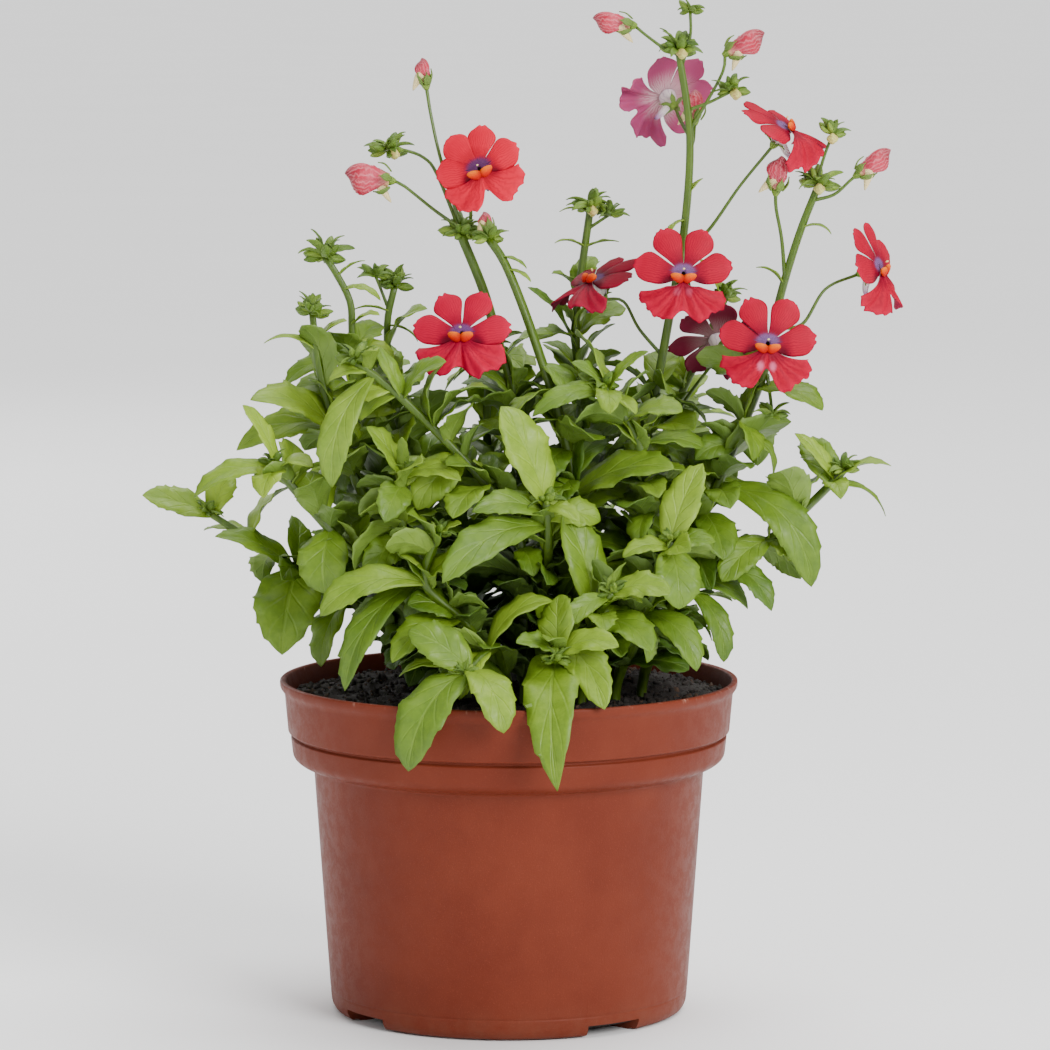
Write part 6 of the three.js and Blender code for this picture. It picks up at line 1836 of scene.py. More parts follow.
@dataclass
class NurseryPot:
    """The moulded plastic pot: a tapering wall, a stepped collar, a thin rim and a notched foot."""

    segments: int = 168
    rim_radius: float = 60.0
    rim_height: float = 87.5
    base_radius: float = 46.7
    wall: float = 1.3
    floor: float = 1.8
    foot_angles: tuple[float, ...] = (-54.0, 36.0, 126.0, 216.0)
    notch_half: float = 10.0
    notch_height: float = 3.2
    notch_inner: float = 33.0
    pad_half: float = 13.0
    pad_low: float = 1.0
    pad_high: float = 4.8
    pad_inner: float = 31.0
    pad_outer: float = 45.9
    hole_radius: float = 3.0
    hole_ring: float = 39.0
    hole_low: float = 2.0
    hole_sides: int = 32
    sector_steps: int = 12
    sharp_from: float = 34.0

    def profile(self) -> Array:
        """Draws the wall's section, from the middle of the base round to the middle of the floor."""
        corners = [
            (0, 0, 0), (43.0, 0, 0.4), (43.4, 0.35, 0.3), (self.base_radius - 1.1, 0.35, 0.8),
            (self.base_radius, 2.2, 1.2), (46.98, 5.2, 0.3), (46.86, 5.6, 0.15), (47.06, 6.1, 0.3),
            (51.2, 64.6, 0.8), (54.6, 65.6, 1.4), (56.6, 67.2, 1.6), (57.2, 72.5, 0.3),
            (56.45, 72.9, 0.2), (56.5, 73.5, 0.2), (57.85, 73.8, 0.5), (58.8, 84.2, 1.6),
            (self.rim_radius, 85.6, 0.8), (self.rim_radius, self.rim_height, 0.55),
            (58.5, self.rim_height, 0.5), (57.3, 83.4, 2.0), (55.9, 69.2, 1.8), (50.1, 65.2, 2.0),
            (self.base_radius - self.wall, 3.4, 1.4), (self.base_radius - 2.6, self.floor, 0.8),
            (0, self.floor, 0),
        ]
        points = [np.array(corners[0][:2], float)]
        for before, here, after in zip(corners[:-2], corners[1:-1], corners[2:]):
            points += self.rounded(np.array(before[:2], float), np.array(here[:2], float),
                                   np.array(after[:2], float), here[2])
        points.append(np.array(corners[-1][:2], float))
        return np.array(points)

    @staticmethod
    def rounded(before: Array, here: Array, after: Array, radius: float) -> list[Array]:
        """Rounds a corner of the section with a short curve."""
        back = before - here
        ahead = after - here
        reach = min(radius, 0.45 * np.linalg.norm(back), 0.45 * np.linalg.norm(ahead))
        start = here + unit(back) * reach
        end = here + unit(ahead) * reach
        return [mix(mix(start, here, s), mix(here, end, s), s) for s in (0.0, 0.33, 0.67, 1.0)]

    def shell(self) -> bpy.types.Object:
        """Turns the section into the pot's body."""
        profile = self.profile()[1:-1]
        angle = np.arange(self.segments) / self.segments * 2 * math.pi
        rings = np.stack(np.broadcast_arrays(
            profile[:, :1] * np.cos(angle), profile[:, :1] * np.sin(angle), profile[:, 1:]), axis=-1)
        builder = MeshBuilder()
        add_rings(builder, rings, 0)
        return builder.build("nursery_pot", [])

    def sector(self, inner: float, outer: float, low: float, high: float, middle: float,
               half: float) -> bpy.types.Object:
        """Makes a block between two radii, two heights and two angles, to cut or to add."""
        steps = self.sector_steps
        angle = np.linspace(middle - half, middle + half, steps) * DEGREES
        rings = []
        for turn in angle:
            way = np.array([math.cos(turn), math.sin(turn), 0])
            rings.append([way * inner + [0, 0, low], way * outer + [0, 0, low],
                          way * outer + [0, 0, high], way * inner + [0, 0, high]])
        points = np.array(rings).reshape(-1, 3)
        i, j = np.meshgrid(np.arange(steps - 1), np.arange(4), indexing="ij")
        ahead = (j + 1) % 4
        quads = np.stack([i * 4 + j, i * 4 + ahead, i * 4 + 4 + ahead, i * 4 + 4 + j], axis=-1)
        end = (steps - 1) * 4
        caps = np.array([[3, 2, 1, 0], [end, end + 1, end + 2, end + 3]])
        builder = MeshBuilder()
        flat = np.zeros((len(points), 3))
        builder.add(points, [np.concatenate([quads.reshape(-1, 4), caps])], flat[:, :2], flat, 0)
        return builder.build("cutter", [])

    def post(self, x: float, y: float, low: float, high: float) -> bpy.types.Object:
        """Makes an upright round post, to cut a drain hole."""
        angle = np.arange(self.hole_sides) / self.hole_sides * 2 * math.pi
        heights = np.array([low, high])[:, None] * np.ones(self.hole_sides)
        rings = np.stack([
            x + self.hole_radius * np.cos(angle) * np.ones((2, 1)),
            y + self.hole_radius * np.sin(angle) * np.ones((2, 1)), heights], axis=-1)
        builder = MeshBuilder()
        add_rings(builder, rings, 0)
        return builder.build("cutter", [])

    @staticmethod
    def combine(body: bpy.types.Object, tool: bpy.types.Object, operation: str) -> bpy.types.Object:
        """Joins a tool to a body, or cuts it out of it, and removes the tool."""
        modifier = body.modifiers.new("combine", "BOOLEAN")
        modifier.object = tool
        modifier.operation = operation
        modifier.solver = "EXACT"
        done = evaluated_copy(body, body.name)
        bpy.data.objects.remove(tool)
        return done

    def build(self, material: bpy.types.Material) -> bpy.types.Object:
        """Makes the whole pot."""
        pot = self.shell()
        for angle in self.foot_angles:
            pad = self.sector(self.pad_inner, self.pad_outer, self.pad_low, self.pad_high,
                              angle, self.pad_half)
            pot = self.combine(pot, pad, "UNION")
            notch = self.sector(self.notch_inner, self.rim_radius, -1.0, self.notch_height,
                                angle, self.notch_half)
            pot = self.combine(pot, notch, "DIFFERENCE")
            hole = self.post(self.hole_ring * math.cos(angle * DEGREES),
                             self.hole_ring * math.sin(angle * DEGREES),
                             self.hole_low, self.pad_high + 1.0)
            pot = self.combine(pot, hole, "DIFFERENCE")
        mesh = pot.data
        mesh.materials.clear()
        mesh.materials.append(material)
        mesh.polygons.foreach_set("material_index", np.zeros(len(mesh.polygons), dtype=np.int32))
        mesh.polygons.foreach_set("use_smooth", np.ones(len(mesh.polygons), dtype=bool))
        mesh.set_sharp_from_angle(angle=self.sharp_from * DEGREES)
        pot.name = "nursery_pot"
        return pot


@dataclass
class PottingSoil:
    """The soil: a heaped, crumbly surface and a plain body down to the pot's floor."""

    height: float = 83.2
    radius: float = 56.4
    sectors: int = 132
    rings: int = 62
    walls: tuple[tuple[float, float], ...] = ((43.9, 2.1), (45.1, 3.8), (49.8, 65.9), (55.0, 69.5))
    crumbs_each_square_metre: float = 215000.0
    crumb_least: float = 0.35
    crumb_most: float = 1.25
    crumb_corners: int = 12
    crumb_depth: float = 4.0
    edge_width: float = 7.0
    middle_radius: float = 0.6
    seed: int = 11

    @staticmethod
    def relief(x: Array, y: Array) -> Array:
        """The low heaps and hollows that the solid has too, with finer lumps on them."""
        broad = np.sin(x * 0.11 + 1.3) * np.cos(y * 0.13 - 0.4)
        lumps = np.sin(x * 0.47 + y * 0.21) * np.sin(y * 0.53 - x * 0.17 + 2)
        fine = np.sin(x * 1.3 + 2 * np.sin(y * 0.9)) * np.sin(y * 1.45 + 1.7 * np.sin(x * 0.8 + 1))
        grain = np.sin(x * 3.7 + 3 * np.sin(y * 2.1)) * np.sin(y * 4.1 + 2.4 * np.sin(x * 2.6))
        return 0.9 * broad + 0.7 * lumps + 0.5 * fine + 0.22 * grain

    def body(self) -> MeshBuilder:
        """Makes the soil's closed body."""
        angle = np.arange(self.sectors) / self.sectors * 2 * math.pi
        rings = []
        for radius, height in self.walls:
            rings.append(np.stack([radius * np.cos(angle), radius * np.sin(angle),
                                   np.full(self.sectors, height)], axis=-1))
        for radius in np.linspace(self.radius, self.middle_radius, self.rings):
            x = radius * np.cos(angle)
            y = radius * np.sin(angle)
            edge = 0.45 + 0.55 * float(smoothstep(self.radius, self.radius - self.edge_width, radius))
            rings.append(np.stack([x, y, self.height + edge * self.relief(x, y)], axis=-1))
        builder = MeshBuilder()
        add_rings(builder, np.array(rings), 0)
        return builder

    def crumb_tree(self, material: bpy.types.Material) -> tuple[bpy.types.NodeTree, dict[str, str]]:
        """Builds the geometry tree that strews crumbs over the soil's top."""
        tree = bpy.data.node_groups.new("soil_crumbs", "GeometryNodeTree")
        face = tree.interface
        face.new_socket("Geometry", in_out="INPUT", socket_type="NodeSocketGeometry")
        keys = {
            name: face.new_socket(name, in_out="INPUT", socket_type=f"NodeSocket{kind}").identifier
            for name, kind in (("Density", "Float"), ("Least", "Float"), ("Most", "Float"),
                               ("Above", "Float"), ("Seed", "Int"))
        }
        face.new_socket("Geometry", in_out="OUTPUT", socket_type="NodeSocketGeometry")
        wires = Wiring(tree)
        given = wires.node("NodeGroupInput").outputs
        place = wires.node("GeometryNodeInputPosition").outputs[0]
        height = wires.node("ShaderNodeSeparateXYZ", {0: place}).outputs["Z"]
        top = wires.math("GREATER_THAN", height, given["Above"])
        strewn = wires.node("GeometryNodeDistributePointsOnFaces", {
            "Mesh": given["Geometry"], "Selection": top, "Density": given["Density"],
            "Seed": given["Seed"],
        })
        crumb = wires.node("GeometryNodeMeshIcoSphere", {"Radius": 1.0, "Subdivisions": 1}).outputs[0]
        jitter = wires.node("FunctionNodeRandomValue", {
            0: (-0.3, -0.3, -0.3), 1: (0.3, 0.3, 0.3), "Seed": given["Seed"],
        }, data_type="FLOAT_VECTOR").outputs[0]
        crooked = wires.node("GeometryNodeSetPosition", {"Geometry": crumb, "Offset": jitter}).outputs[0]
        turned = wires.node("FunctionNodeRandomValue", {
            0: (0.0, 0.0, 0.0), 1: (6.28, 6.28, 6.28), "Seed": given["Seed"],
        }, data_type="FLOAT_VECTOR").outputs[0]
        size = wires.node("FunctionNodeRandomValue", {"Seed": given["Seed"]}, data_type="FLOAT").outputs[1]
        steep = wires.math("POWER", size, 2.6)
        grown = wires.node("ShaderNodeMapRange", {
            "Value": steep, "To Min": given["Least"], "To Max": given["Most"]}).outputs["Result"]
        flat = wires.node("ShaderNodeCombineXYZ", {
            "X": wires.times(grown, 1.25), "Y": grown,
            "Z": wires.times(grown, 0.7)}).outputs[0]
        laid = wires.node("GeometryNodeInstanceOnPoints", {
            "Points": strewn.outputs["Points"], "Instance": crooked, "Rotation": turned, "Scale": flat,
        }).outputs[0]
        whole = wires.node("GeometryNodeRealizeInstances", {"Geometry": laid}).outputs[0]
        dressed = wires.node("GeometryNodeSetMaterial", {"Geometry": whole, "Material": material})
        wires.node("NodeGroupOutput", {"Geometry": dressed.outputs[0]})
        return tree, keys

    def build(self, material: bpy.types.Material) -> bpy.types.Object:
        """Makes the soil with its crumbs as one piece."""
        builder = self.body()
        ground = builder.build("ground", [material])
        tree, keys = self.crumb_tree(material)
        modifier = ground.modifiers.new("crumbs", "NODES")
        modifier.node_group = tree
        modifier[keys["Density"]] = self.crumbs_each_square_metre
        modifier[keys["Least"]] = self.crumb_least * METRES
        modifier[keys["Most"]] = self.crumb_most * METRES
        modifier[keys["Above"]] = (self.height - self.crumb_depth) * METRES
        modifier[keys["Seed"]] = self.seed
        crumbs = evaluated_copy(ground, "crumbs")
        masks = crumbs.data.attributes.get("grown")
        if masks is None:
            masks = crumbs.data.attributes.new("grown", "FLOAT_COLOR", "POINT")
        shade = np.ones((len(crumbs.data.vertices), 4))
        lumps = np.sin(np.arange(len(shade) // self.crumb_corners + 1) * 12.9898) * 0.5 + 0.5
        shade[:, 0] = np.repeat(lumps, self.crumb_corners)[:len(shade)]
        shade[:, 1:3] = 0
        masks.data.foreach_set("color", shade.ravel())
        builder.add_object(crumbs, 0)
        return builder.build("potting_compost", [material])


# Finishes

class SharedEffects:
    """Shader groups that several finishes use, each built once."""

    def __init__(self) -> None:
        """Builds the groups."""
        self.mottle = self.build_mottle()
        self.veins = self.build_veins()
        self.streaks = self.build_streaks()

    @staticmethod
    def start(name: str, inputs: dict[str, float], outputs: tuple[str, ...],
              vectors: tuple[str, ...] = ()) -> tuple[bpy.types.NodeTree, Wiring, bpy.types.Node]:
        """Starts a group with named number inputs, vector inputs and number outputs."""
        tree = bpy.data.node_groups.new(name, "ShaderNodeTree")
        for label in vectors:
            tree.interface.new_socket(label, in_out="INPUT", socket_type="NodeSocketVector")
        for label, value in inputs.items():
            socket = tree.interface.new_socket(label, in_out="INPUT", socket_type="NodeSocketFloat")
            socket.default_value = value
        for label in outputs:
            tree.interface.new_socket(label, in_out="OUTPUT", socket_type="NodeSocketFloat")
        wires = Wiring(tree)
        return tree, wires, wires.node("NodeGroupInput")

    def build_mottle(self) -> bpy.types.NodeTree:
        """A cloudy mask of two scales, for uneven colour and gloss."""
        tree, wires, given = self.start(
            "mottle", {"Scale": 100.0, "Fine share": 0.4, "Low": 0.35, "High": 0.65},
            ("Mask",), ("Vector",))
        scale = given.outputs["Scale"]
        broad = wires.noise(given.outputs["Vector"], scale, 3.0)
        fine = wires.noise(given.outputs["Vector"], wires.times(scale, 4.7), 4.0)
        both = wires.node("ShaderNodeMix", {
            0: given.outputs["Fine share"], 2: broad, 3: fine}, data_type="FLOAT").outputs[0]
        mask = wires.span(both, given.outputs["Low"], given.outputs["High"])
        wires.node("NodeGroupOutput", {"Mask": mask})
        return tree

    def build_veins(self) -> bpy.types.NodeTree:
        """A midrib and side veins that run forward from it, from U across and V along a blade."""
        tree, wires, given = self.start(
            "blade_veins", {"U": 0.5, "V": 0.5, "Count": 7.0, "Slant": 1.5, "Width": 0.16},
            ("Midrib", "Side"))
        across = wires.math("ABSOLUTE", wires.minus(given.outputs["U"], 0.5))
        reach = wires.times(across, 2.0)
        along = given.outputs["V"]
        midrib = wires.span(reach, 0.02, 0.085, 1.0, 0.0)
        curved = wires.math("POWER", reach, 0.8)
        phase = wires.minus(wires.times(along, given.outputs["Count"]),
                           wires.times(curved, given.outputs["Slant"]))
        saw = wires.math("ABSOLUTE", wires.minus(wires.math("FRACT", phase), 0.5))
        line = wires.span(saw, 0.0, given.outputs["Width"], 1.0, 0.0)
        fade = wires.span(reach, 0.5, 1.0, 1.0, 0.25)
        side = wires.times(line, fade)
        wires.node("NodeGroupOutput", {"Midrib": midrib, "Side": side})
        return tree

    def build_streaks(self) -> bpy.types.NodeTree:
        """Fine lines that run along a petal and waver a little, from U across and V along."""
        tree, wires, given = self.start(
            "petal_streaks", {"U": 0.5, "V": 0.5, "Count": 12.0, "Width": 0.3}, ("Lines",))
        place = wires.node("ShaderNodeCombineXYZ", {
            "X": given.outputs["U"], "Y": wires.times(given.outputs["V"], 1.4)}).outputs[0]
        waver = wires.times(wires.minus(wires.noise(place, 5.0, 2.0), 0.5), 0.16)
        shifted = wires.plus(given.outputs["U"], waver)
        phase = wires.math("FRACT", wires.times(shifted, given.outputs["Count"]))
        saw = wires.math("ABSOLUTE", wires.minus(phase, 0.5))
        lines = wires.span(saw, 0.0, given.outputs["Width"], 1.0, 0.0)
        wires.node("NodeGroupOutput", {"Lines": lines})
        return tree


class Surface:
    """A material under construction: its wiring, its shader and the usual places to read."""

    def __init__(self, name: str, effects: SharedEffects) -> None:
        """Starts an empty material with a Principled shader."""
        self.material = bpy.data.materials.new(name)
        self.material.use_nodes = True
        tree = self.material.node_tree
        tree.nodes.clear()
        self.effects = effects
        self.wires = Wiring(tree)
        self.output = self.wires.node("ShaderNodeOutputMaterial")
        self.shader = self.wires.node("ShaderNodeBsdfPrincipled")
        self.place = self.wires.node("ShaderNodeTexCoord").outputs["Object"]
        tree.links.new(self.shader.outputs[0], self.output.inputs["Surface"])

    def set(self, name: str, value: object) -> None:
        """Sets or links one socket of the shader."""
        socket = self.shader.inputs[name]
        if isinstance(value, bpy.types.NodeSocket):
            self.wires.tree.links.new(value, socket)
        else:
            socket.default_value = value

    def masks(self) -> tuple[bpy.types.NodeSocket, bpy.types.NodeSocket, bpy.types.NodeSocket]:
        """Reads the three masks that the mesh carries."""
        grown = self.wires.node("ShaderNodeAttribute", attribute_name="grown").outputs["Color"]
        parts = self.wires.node("ShaderNodeSeparateColor", {0: grown}).outputs
        return parts[0], parts[1], parts[2]

    def blade(self) -> tuple[bpy.types.NodeSocket, bpy.types.NodeSocket]:
        """Reads the place across and along a blade."""
        parts = self.wires.node("ShaderNodeSeparateXYZ", {
            0: self.wires.node("ShaderNodeUVMap", uv_map="UVMap").outputs[0]}).outputs
        return parts["X"], parts["Y"]

    def group(self, tree: bpy.types.NodeTree, values: dict[str, object]) -> bpy.types.Node:
        """Places a shared group with its own values."""
        return self.wires.node("ShaderNodeGroup", values, node_tree=tree)

    def mottle(self, scale: float, low: float = 0.35, high: float = 0.65,
               fine: float = 0.4) -> bpy.types.NodeSocket:
        """Places the cloudy mask on Object coordinates, its scale in features for each metre."""
        return self.group(self.effects.mottle, {
            "Vector": self.place, "Scale": scale, "Low": low, "High": high, "Fine share": fine,
        }).outputs[0]

    def bump(self, height: object, strength: float, distance: float) -> None:
        """Raises the surface by a height mask, with the distance in millimetres."""
        made = self.wires.node("ShaderNodeBump", {
            "Height": height, "Strength": strength, "Distance": distance * METRES})
        self.wires.tree.links.new(made.outputs[0], self.shader.inputs["Normal"])

    def glow_through(self, tint: object, share: float) -> None:
        """Lets light through the surface: mixes a translucent shader into the plain one."""
        through = self.wires.node("ShaderNodeBsdfTranslucent", {"Color": tint})
        both = self.wires.node("ShaderNodeMixShader", {
            0: share, 1: self.shader.outputs[0], 2: through.outputs[0]})
        self.wires.tree.links.new(both.outputs[0], self.output.inputs["Surface"])


@dataclass(frozen=True)
class GreenFinish:
    """A leaf's greens from dark to bright by its tone, which is its age with painted shade, its vein and
    underside colours and its gloss.
    """

    name: str
    old_and_shaded: tuple
    middle: tuple
    fresh: tuple
    young: tuple
    vein: tuple
    under: tuple
    roughness: float
    through: float

    def build(self, effects: SharedEffects) -> bpy.types.Material:
        """Makes the leaf material."""
        surface = Surface(self.name, effects)
        wires = surface.wires
        tone, under, chance = surface.masks()
        u, v = surface.blade()
        veins = surface.group(effects.veins, {
            "U": u, "V": v, "Count": 4.6, "Slant": 1.7, "Width": 0.13})
        mottle = surface.mottle(190.0)
        age_and_painted_shade = wires.plus(tone, wires.times(wires.minus(mottle, 0.5), 0.16))
        tipped = wires.plus(age_and_painted_shade, wires.times(wires.minus(v, 0.5), -0.12))
        # painted shade and light: the darker greens stand for mature leaves and shade deep in the bush, the
        # brighter ones for young leaves and light at the top and outside
        green = wires.ramp(tipped, [
            (0.0, self.old_and_shaded), (0.36, self.middle), (0.68, self.fresh), (1.0, self.young)])
        cool = wires.blend(wires.times(chance, 0.22), green, colour(70, 105, 60))
        side = wires.times(veins.outputs["Side"], 0.1)
        lined = wires.blend(side, cool, self.vein)
        ribbed = wires.blend(wires.times(veins.outputs["Midrib"], 0.26), lined, self.vein)
        backed = wires.blend(wires.times(under, 0.58), ribbed, self.under)
        full = wires.blend(wires.span(tone, 1.3, 1.6), backed, wires.blend(
            surface.mottle(700.0), colour(214, 218, 118), colour(206, 178, 110)))
        surface.set("Base Color", full)
        surface.set("Roughness", wires.span(surface.mottle(420.0), 0, 1, self.roughness - 0.07,
                                            self.roughness + 0.09))
        surface.set("Specular IOR Level", 0.42)
        lift = wires.times(wires.minus(0.5, under), 2.0)
        relief = wires.plus(wires.times(veins.outputs["Midrib"], 1.0),
                            wires.times(veins.outputs["Side"], 0.7))
        pressed = wires.times(wires.times(relief, lift), -1.0)
        quilt = wires.times(wires.noise(surface.place, 900.0, 3.0), 0.5)
        surface.bump(wires.plus(pressed, quilt), 0.55, 0.28)
        glow = wires.blend(0.5, full, colour(150, 190, 40))
        surface.glow_through(glow, self.through)
        return surface.material


@dataclass(frozen=True)
class StemFinish:
    """The juicy green of stems, with paler streaks along them and a darker foot."""

    name: str
    foot: tuple
    head: tuple
    streak: tuple

    def build(self, effects: SharedEffects) -> bpy.types.Material:
        """Makes the stem material."""
        surface = Surface(self.name, effects)
        wires = surface.wires
        tone, _, _ = surface.masks()
        green = wires.blend(tone, self.foot, self.head)
        stretched = wires.node("ShaderNodeMapping", {
            "Vector": surface.place, "Scale": (1.0, 1.0, 0.12)}).outputs[0]
        streaks = wires.span(wires.noise(stretched, 1500.0, 3.0), 0.42, 0.66)
        lined = wires.blend(wires.times(streaks, 0.38), green, self.streak)
        surface.set("Base Color", wires.blend(
            wires.times(surface.mottle(260.0), 0.25), lined, self.foot))
        surface.set("Roughness", wires.span(streaks, 0, 1, 0.42, 0.54))
        surface.set("Subsurface Weight", 0.12)
        surface.set("Subsurface Radius", (0.0006, 0.001, 0.0003))
        surface.set("Subsurface Scale", 1.0)
        surface.bump(wires.noise(stretched, 2600.0, 3.0), 0.35, 0.2)
        return surface.material


@dataclass(frozen=True)
class PetalFinish:
    """A bloom's colours: petal, its base near the throat, its edge and its back."""

    name: str
    petal: tuple
    base: tuple
    edge: tuple
    back: tuple
    patch: tuple
    ruffle: float
    pale: float = 0.8
    through: float = 0.3

    def build(self, effects: SharedEffects) -> bpy.types.Material:
        """Makes the petal material."""
        surface = Surface(self.name, effects)
        wires = surface.wires
        throat, under, spot = surface.masks()
        u, v = surface.blade()
        lines = surface.group(effects.streaks, {"U": u, "V": v, "Count": 13.0, "Width": 0.34}).outputs[0]
        body = wires.ramp(v, [(0.0, self.base), (0.24, self.base), (0.5, self.petal),
                              (0.82, self.petal), (1.0, self.edge)])
        mottle = surface.mottle(520.0, 0.25, 0.75)
        mottled = wires.blend(wires.times(mottle, 0.4), body, self.edge)
        near = wires.span(v, 0.3, 0.95, 1.0, 0.3)
        streaked = wires.blend(wires.times(wires.times(lines, near), 0.55),
                               mottled, self.base)
        # painted shade: where the third mask is negative, the petal goes dark crimson beside the palate
        shaded = wires.blend(wires.span(spot, -1.0, 0.0, 0.8, 0.0), streaked, colour(84, 0, 26))
        spotted = wires.blend(wires.times(spot, 0.85), shaded, colour(232, 112, 148))
        dark_lines = wires.blend(wires.times(lines, 0.8), self.patch, colour(44, 16, 56))
        feathered = wires.plus(throat, wires.times(wires.minus(lines, 0.5), 0.5))
        patched = wires.blend(wires.span(feathered, 0.2, 0.85), spotted, dark_lines)
        pale_base = wires.times(wires.span(v, 0.05, 0.7, self.pale, 0.0),
                               wires.span(lines, 0, 1, 1, 0.5))
        back = wires.blend(pale_base, self.back, colour(236, 215, 214))
        back_lined = wires.blend(wires.times(lines, 0.22), back, self.petal)
        full = wires.blend(under, patched, back_lined)
        surface.set("Base Color", full)
        surface.set("Roughness", wires.span(mottle, 0, 1, 0.5, 0.64))
        surface.set("Specular IOR Level", 0.16)
        relief = wires.plus(wires.times(lines, 0.1),
                            wires.times(wires.noise(surface.place, 3600.0, 2.0), 0.7))
        surface.bump(relief, 0.4, 0.14)
        surface.glow_through(full, self.through)
        return surface.material


class Finishes:
    """Every material of the plant and its pot."""

    CORAL = PetalFinish("coral_petal", colour(220, 2, 50), colour(166, 0, 30), colour(232, 26, 62),
                        colour(190, 34, 72), colour(104, 58, 108), 0.5)
    CRIMSON = PetalFinish("crimson_petal", colour(200, 0, 54), colour(146, 0, 40),
                          colour(216, 10, 66), colour(176, 34, 80), colour(132, 84, 146), 1.0)
    RED = PetalFinish("red_petal", colour(186, 0, 46), colour(128, 0, 36), colour(206, 2, 58),
                      colour(170, 30, 74), colour(146, 108, 164), 0.7)
    # painted shade: a darkened copy of the crimson, for the bloom that faces up and to the left
    SHADED_CRIMSON = PetalFinish("dusk_petal", colour(150, 2, 40), colour(84, 0, 26), colour(166, 14, 52),
                       colour(104, 28, 50), colour(110, 70, 120), 0.6, 0.5)
    DARK = PetalFinish("dark_petal", colour(114, 12, 44), colour(60, 0, 26), colour(136, 24, 58),
                       colour(112, 18, 48), colour(100, 64, 116), 0.6, 0.35)
    PALE = PetalFinish("pale_petal", colour(190, 60, 96), colour(150, 24, 62),
                       colour(206, 96, 130), colour(174, 76, 120), colour(120, 76, 130), 1.4)
    LEAF = GreenFinish("leaf_green", colour(44, 70, 14), colour(74, 106, 16), colour(112, 144, 26),
                       colour(150, 180, 48), colour(146, 178, 74), colour(104, 130, 62), 0.46, 0.22)
    CALYX = GreenFinish("calyx_green", colour(52, 78, 16), colour(82, 112, 22),
                        colour(112, 142, 36), colour(158, 184, 70), colour(160, 186, 92),
                        colour(106, 132, 60), 0.55, 0.16)
    STEM = StemFinish("stem_green", colour(46, 66, 0), colour(70, 98, 0), colour(94, 120, 8))

    def __init__(self, effects: SharedEffects) -> None:
        """Builds every material once."""
        self.effects = effects
        self.greens = [self.LEAF.build(effects), self.STEM.build(effects), self.CALYX.build(effects)]
        self.petal_finishes = [self.CORAL, self.CRIMSON, self.RED, self.SHADED_CRIMSON, self.DARK, self.PALE]
        self.petals = {finish.name: finish.build(effects) for finish in self.petal_finishes}
        self.tube = self.build_tube()
        self.knob = self.build_knob()
        self.palate = self.build_palate()
        self.bud = self.build_bud()
        self.soil = self.build_soil()
        self.plastic = self.build_plastic()

    def build_tube(self) -> bpy.types.Material:
        """The whitish tube and spur with purple veins."""
        surface = Surface("flower_tube", self.effects)
        wires = surface.wires
        u, v = surface.blade()
        lines = surface.group(self.effects.streaks, {"U": u, "V": v, "Count": 9.0, "Width": 0.22}).outputs[0]
        tint = wires.ramp(v, [(0.0, colour(222, 214, 196)), (0.5, colour(234, 222, 224)),
                              (0.8, colour(180, 130, 176)), (1.0, colour(40, 10, 34))])
        surface.set("Base Color", wires.blend(wires.times(lines, 0.4), tint,
                                              colour(132, 84, 142)))
        surface.set("Roughness", wires.span(surface.mottle(600.0), 0, 1, 0.48, 0.6))
        surface.bump(lines, 0.3, 0.12)
        surface.glow_through(tint, 0.2)
        return surface.material

    def build_knob(self) -> bpy.types.Material:
        """The cream knob of the stamens in the throat."""
        surface = Surface("stamen_cream", self.effects)
        wires = surface.wires
        surface.set("Base Color", wires.blend(surface.mottle(2500.0), colour(236, 220, 150),
                                              colour(210, 180, 100)))
        surface.set("Roughness", 0.6)
        return surface.material

    def build_palate(self) -> bpy.types.Material:
        """The downy orange of the palate, redder towards its foot, with painted shade in the crease between
        its humps.
        """
        surface = Surface("orange_palate", self.effects)
        wires = surface.wires
        down, groove, _ = surface.masks()
        grain = wires.noise(surface.place, 5200.0, 3.0)
        level = wires.plus(down, wires.times(wires.minus(grain, 0.5), 0.5))
        tint = wires.ramp(level, [
            (0.0, colour(228, 118, 0)), (0.34, colour(216, 84, 0)), (0.64, colour(194, 36, 0)),
            (1.0, colour(150, 0, 8))])
        # painted shade: the crease between the two humps goes deep red
        surface.set("Base Color", wires.blend(wires.times(groove, 0.8), tint,
                                              colour(150, 0, 0)))
        surface.set("Roughness", 0.7)
        surface.set("Specular IOR Level", 0.1)
        surface.bump(grain, 0.5, 0.2)
        return surface.material

    def build_bud(self) -> bpy.types.Material:
        """The pink of furled petals with pale veins and a whitish foot."""
        surface = Surface("pink_bud", self.effects)
        wires = surface.wires
        share, spur, overlap = surface.masks()
        u, v = surface.blade()
        lines = surface.group(self.effects.streaks, {"U": u, "V": v, "Count": 14.0, "Width": 0.3}).outputs[0]
        body = wires.ramp(share, [
            (0.0, colour(210, 196, 118)), (0.12, colour(200, 120, 110)), (0.3, colour(190, 40, 70)),
            (0.72, colour(184, 14, 52)), (0.9, colour(146, 0, 34)), (1.0, colour(116, 0, 30))])
        seamed = wires.blend(wires.span(overlap, 0.8, 1.0, 0.0, 0.7), body, colour(166, 0, 40))
        blotched = wires.blend(wires.times(surface.mottle(500.0, 0.42, 0.66), 0.2), seamed,
                               colour(228, 140, 152))
        veined = wires.blend(wires.times(lines, 0.34), blotched, colour(232, 150, 156))
        surface.set("Base Color", wires.blend(spur, veined, colour(228, 208, 150)))
        surface.set("Roughness", wires.span(surface.mottle(700.0), 0, 1, 0.46, 0.6))
        surface.bump(lines, 0.4, 0.14)
        surface.glow_through(veined, 0.06)
        return surface.material

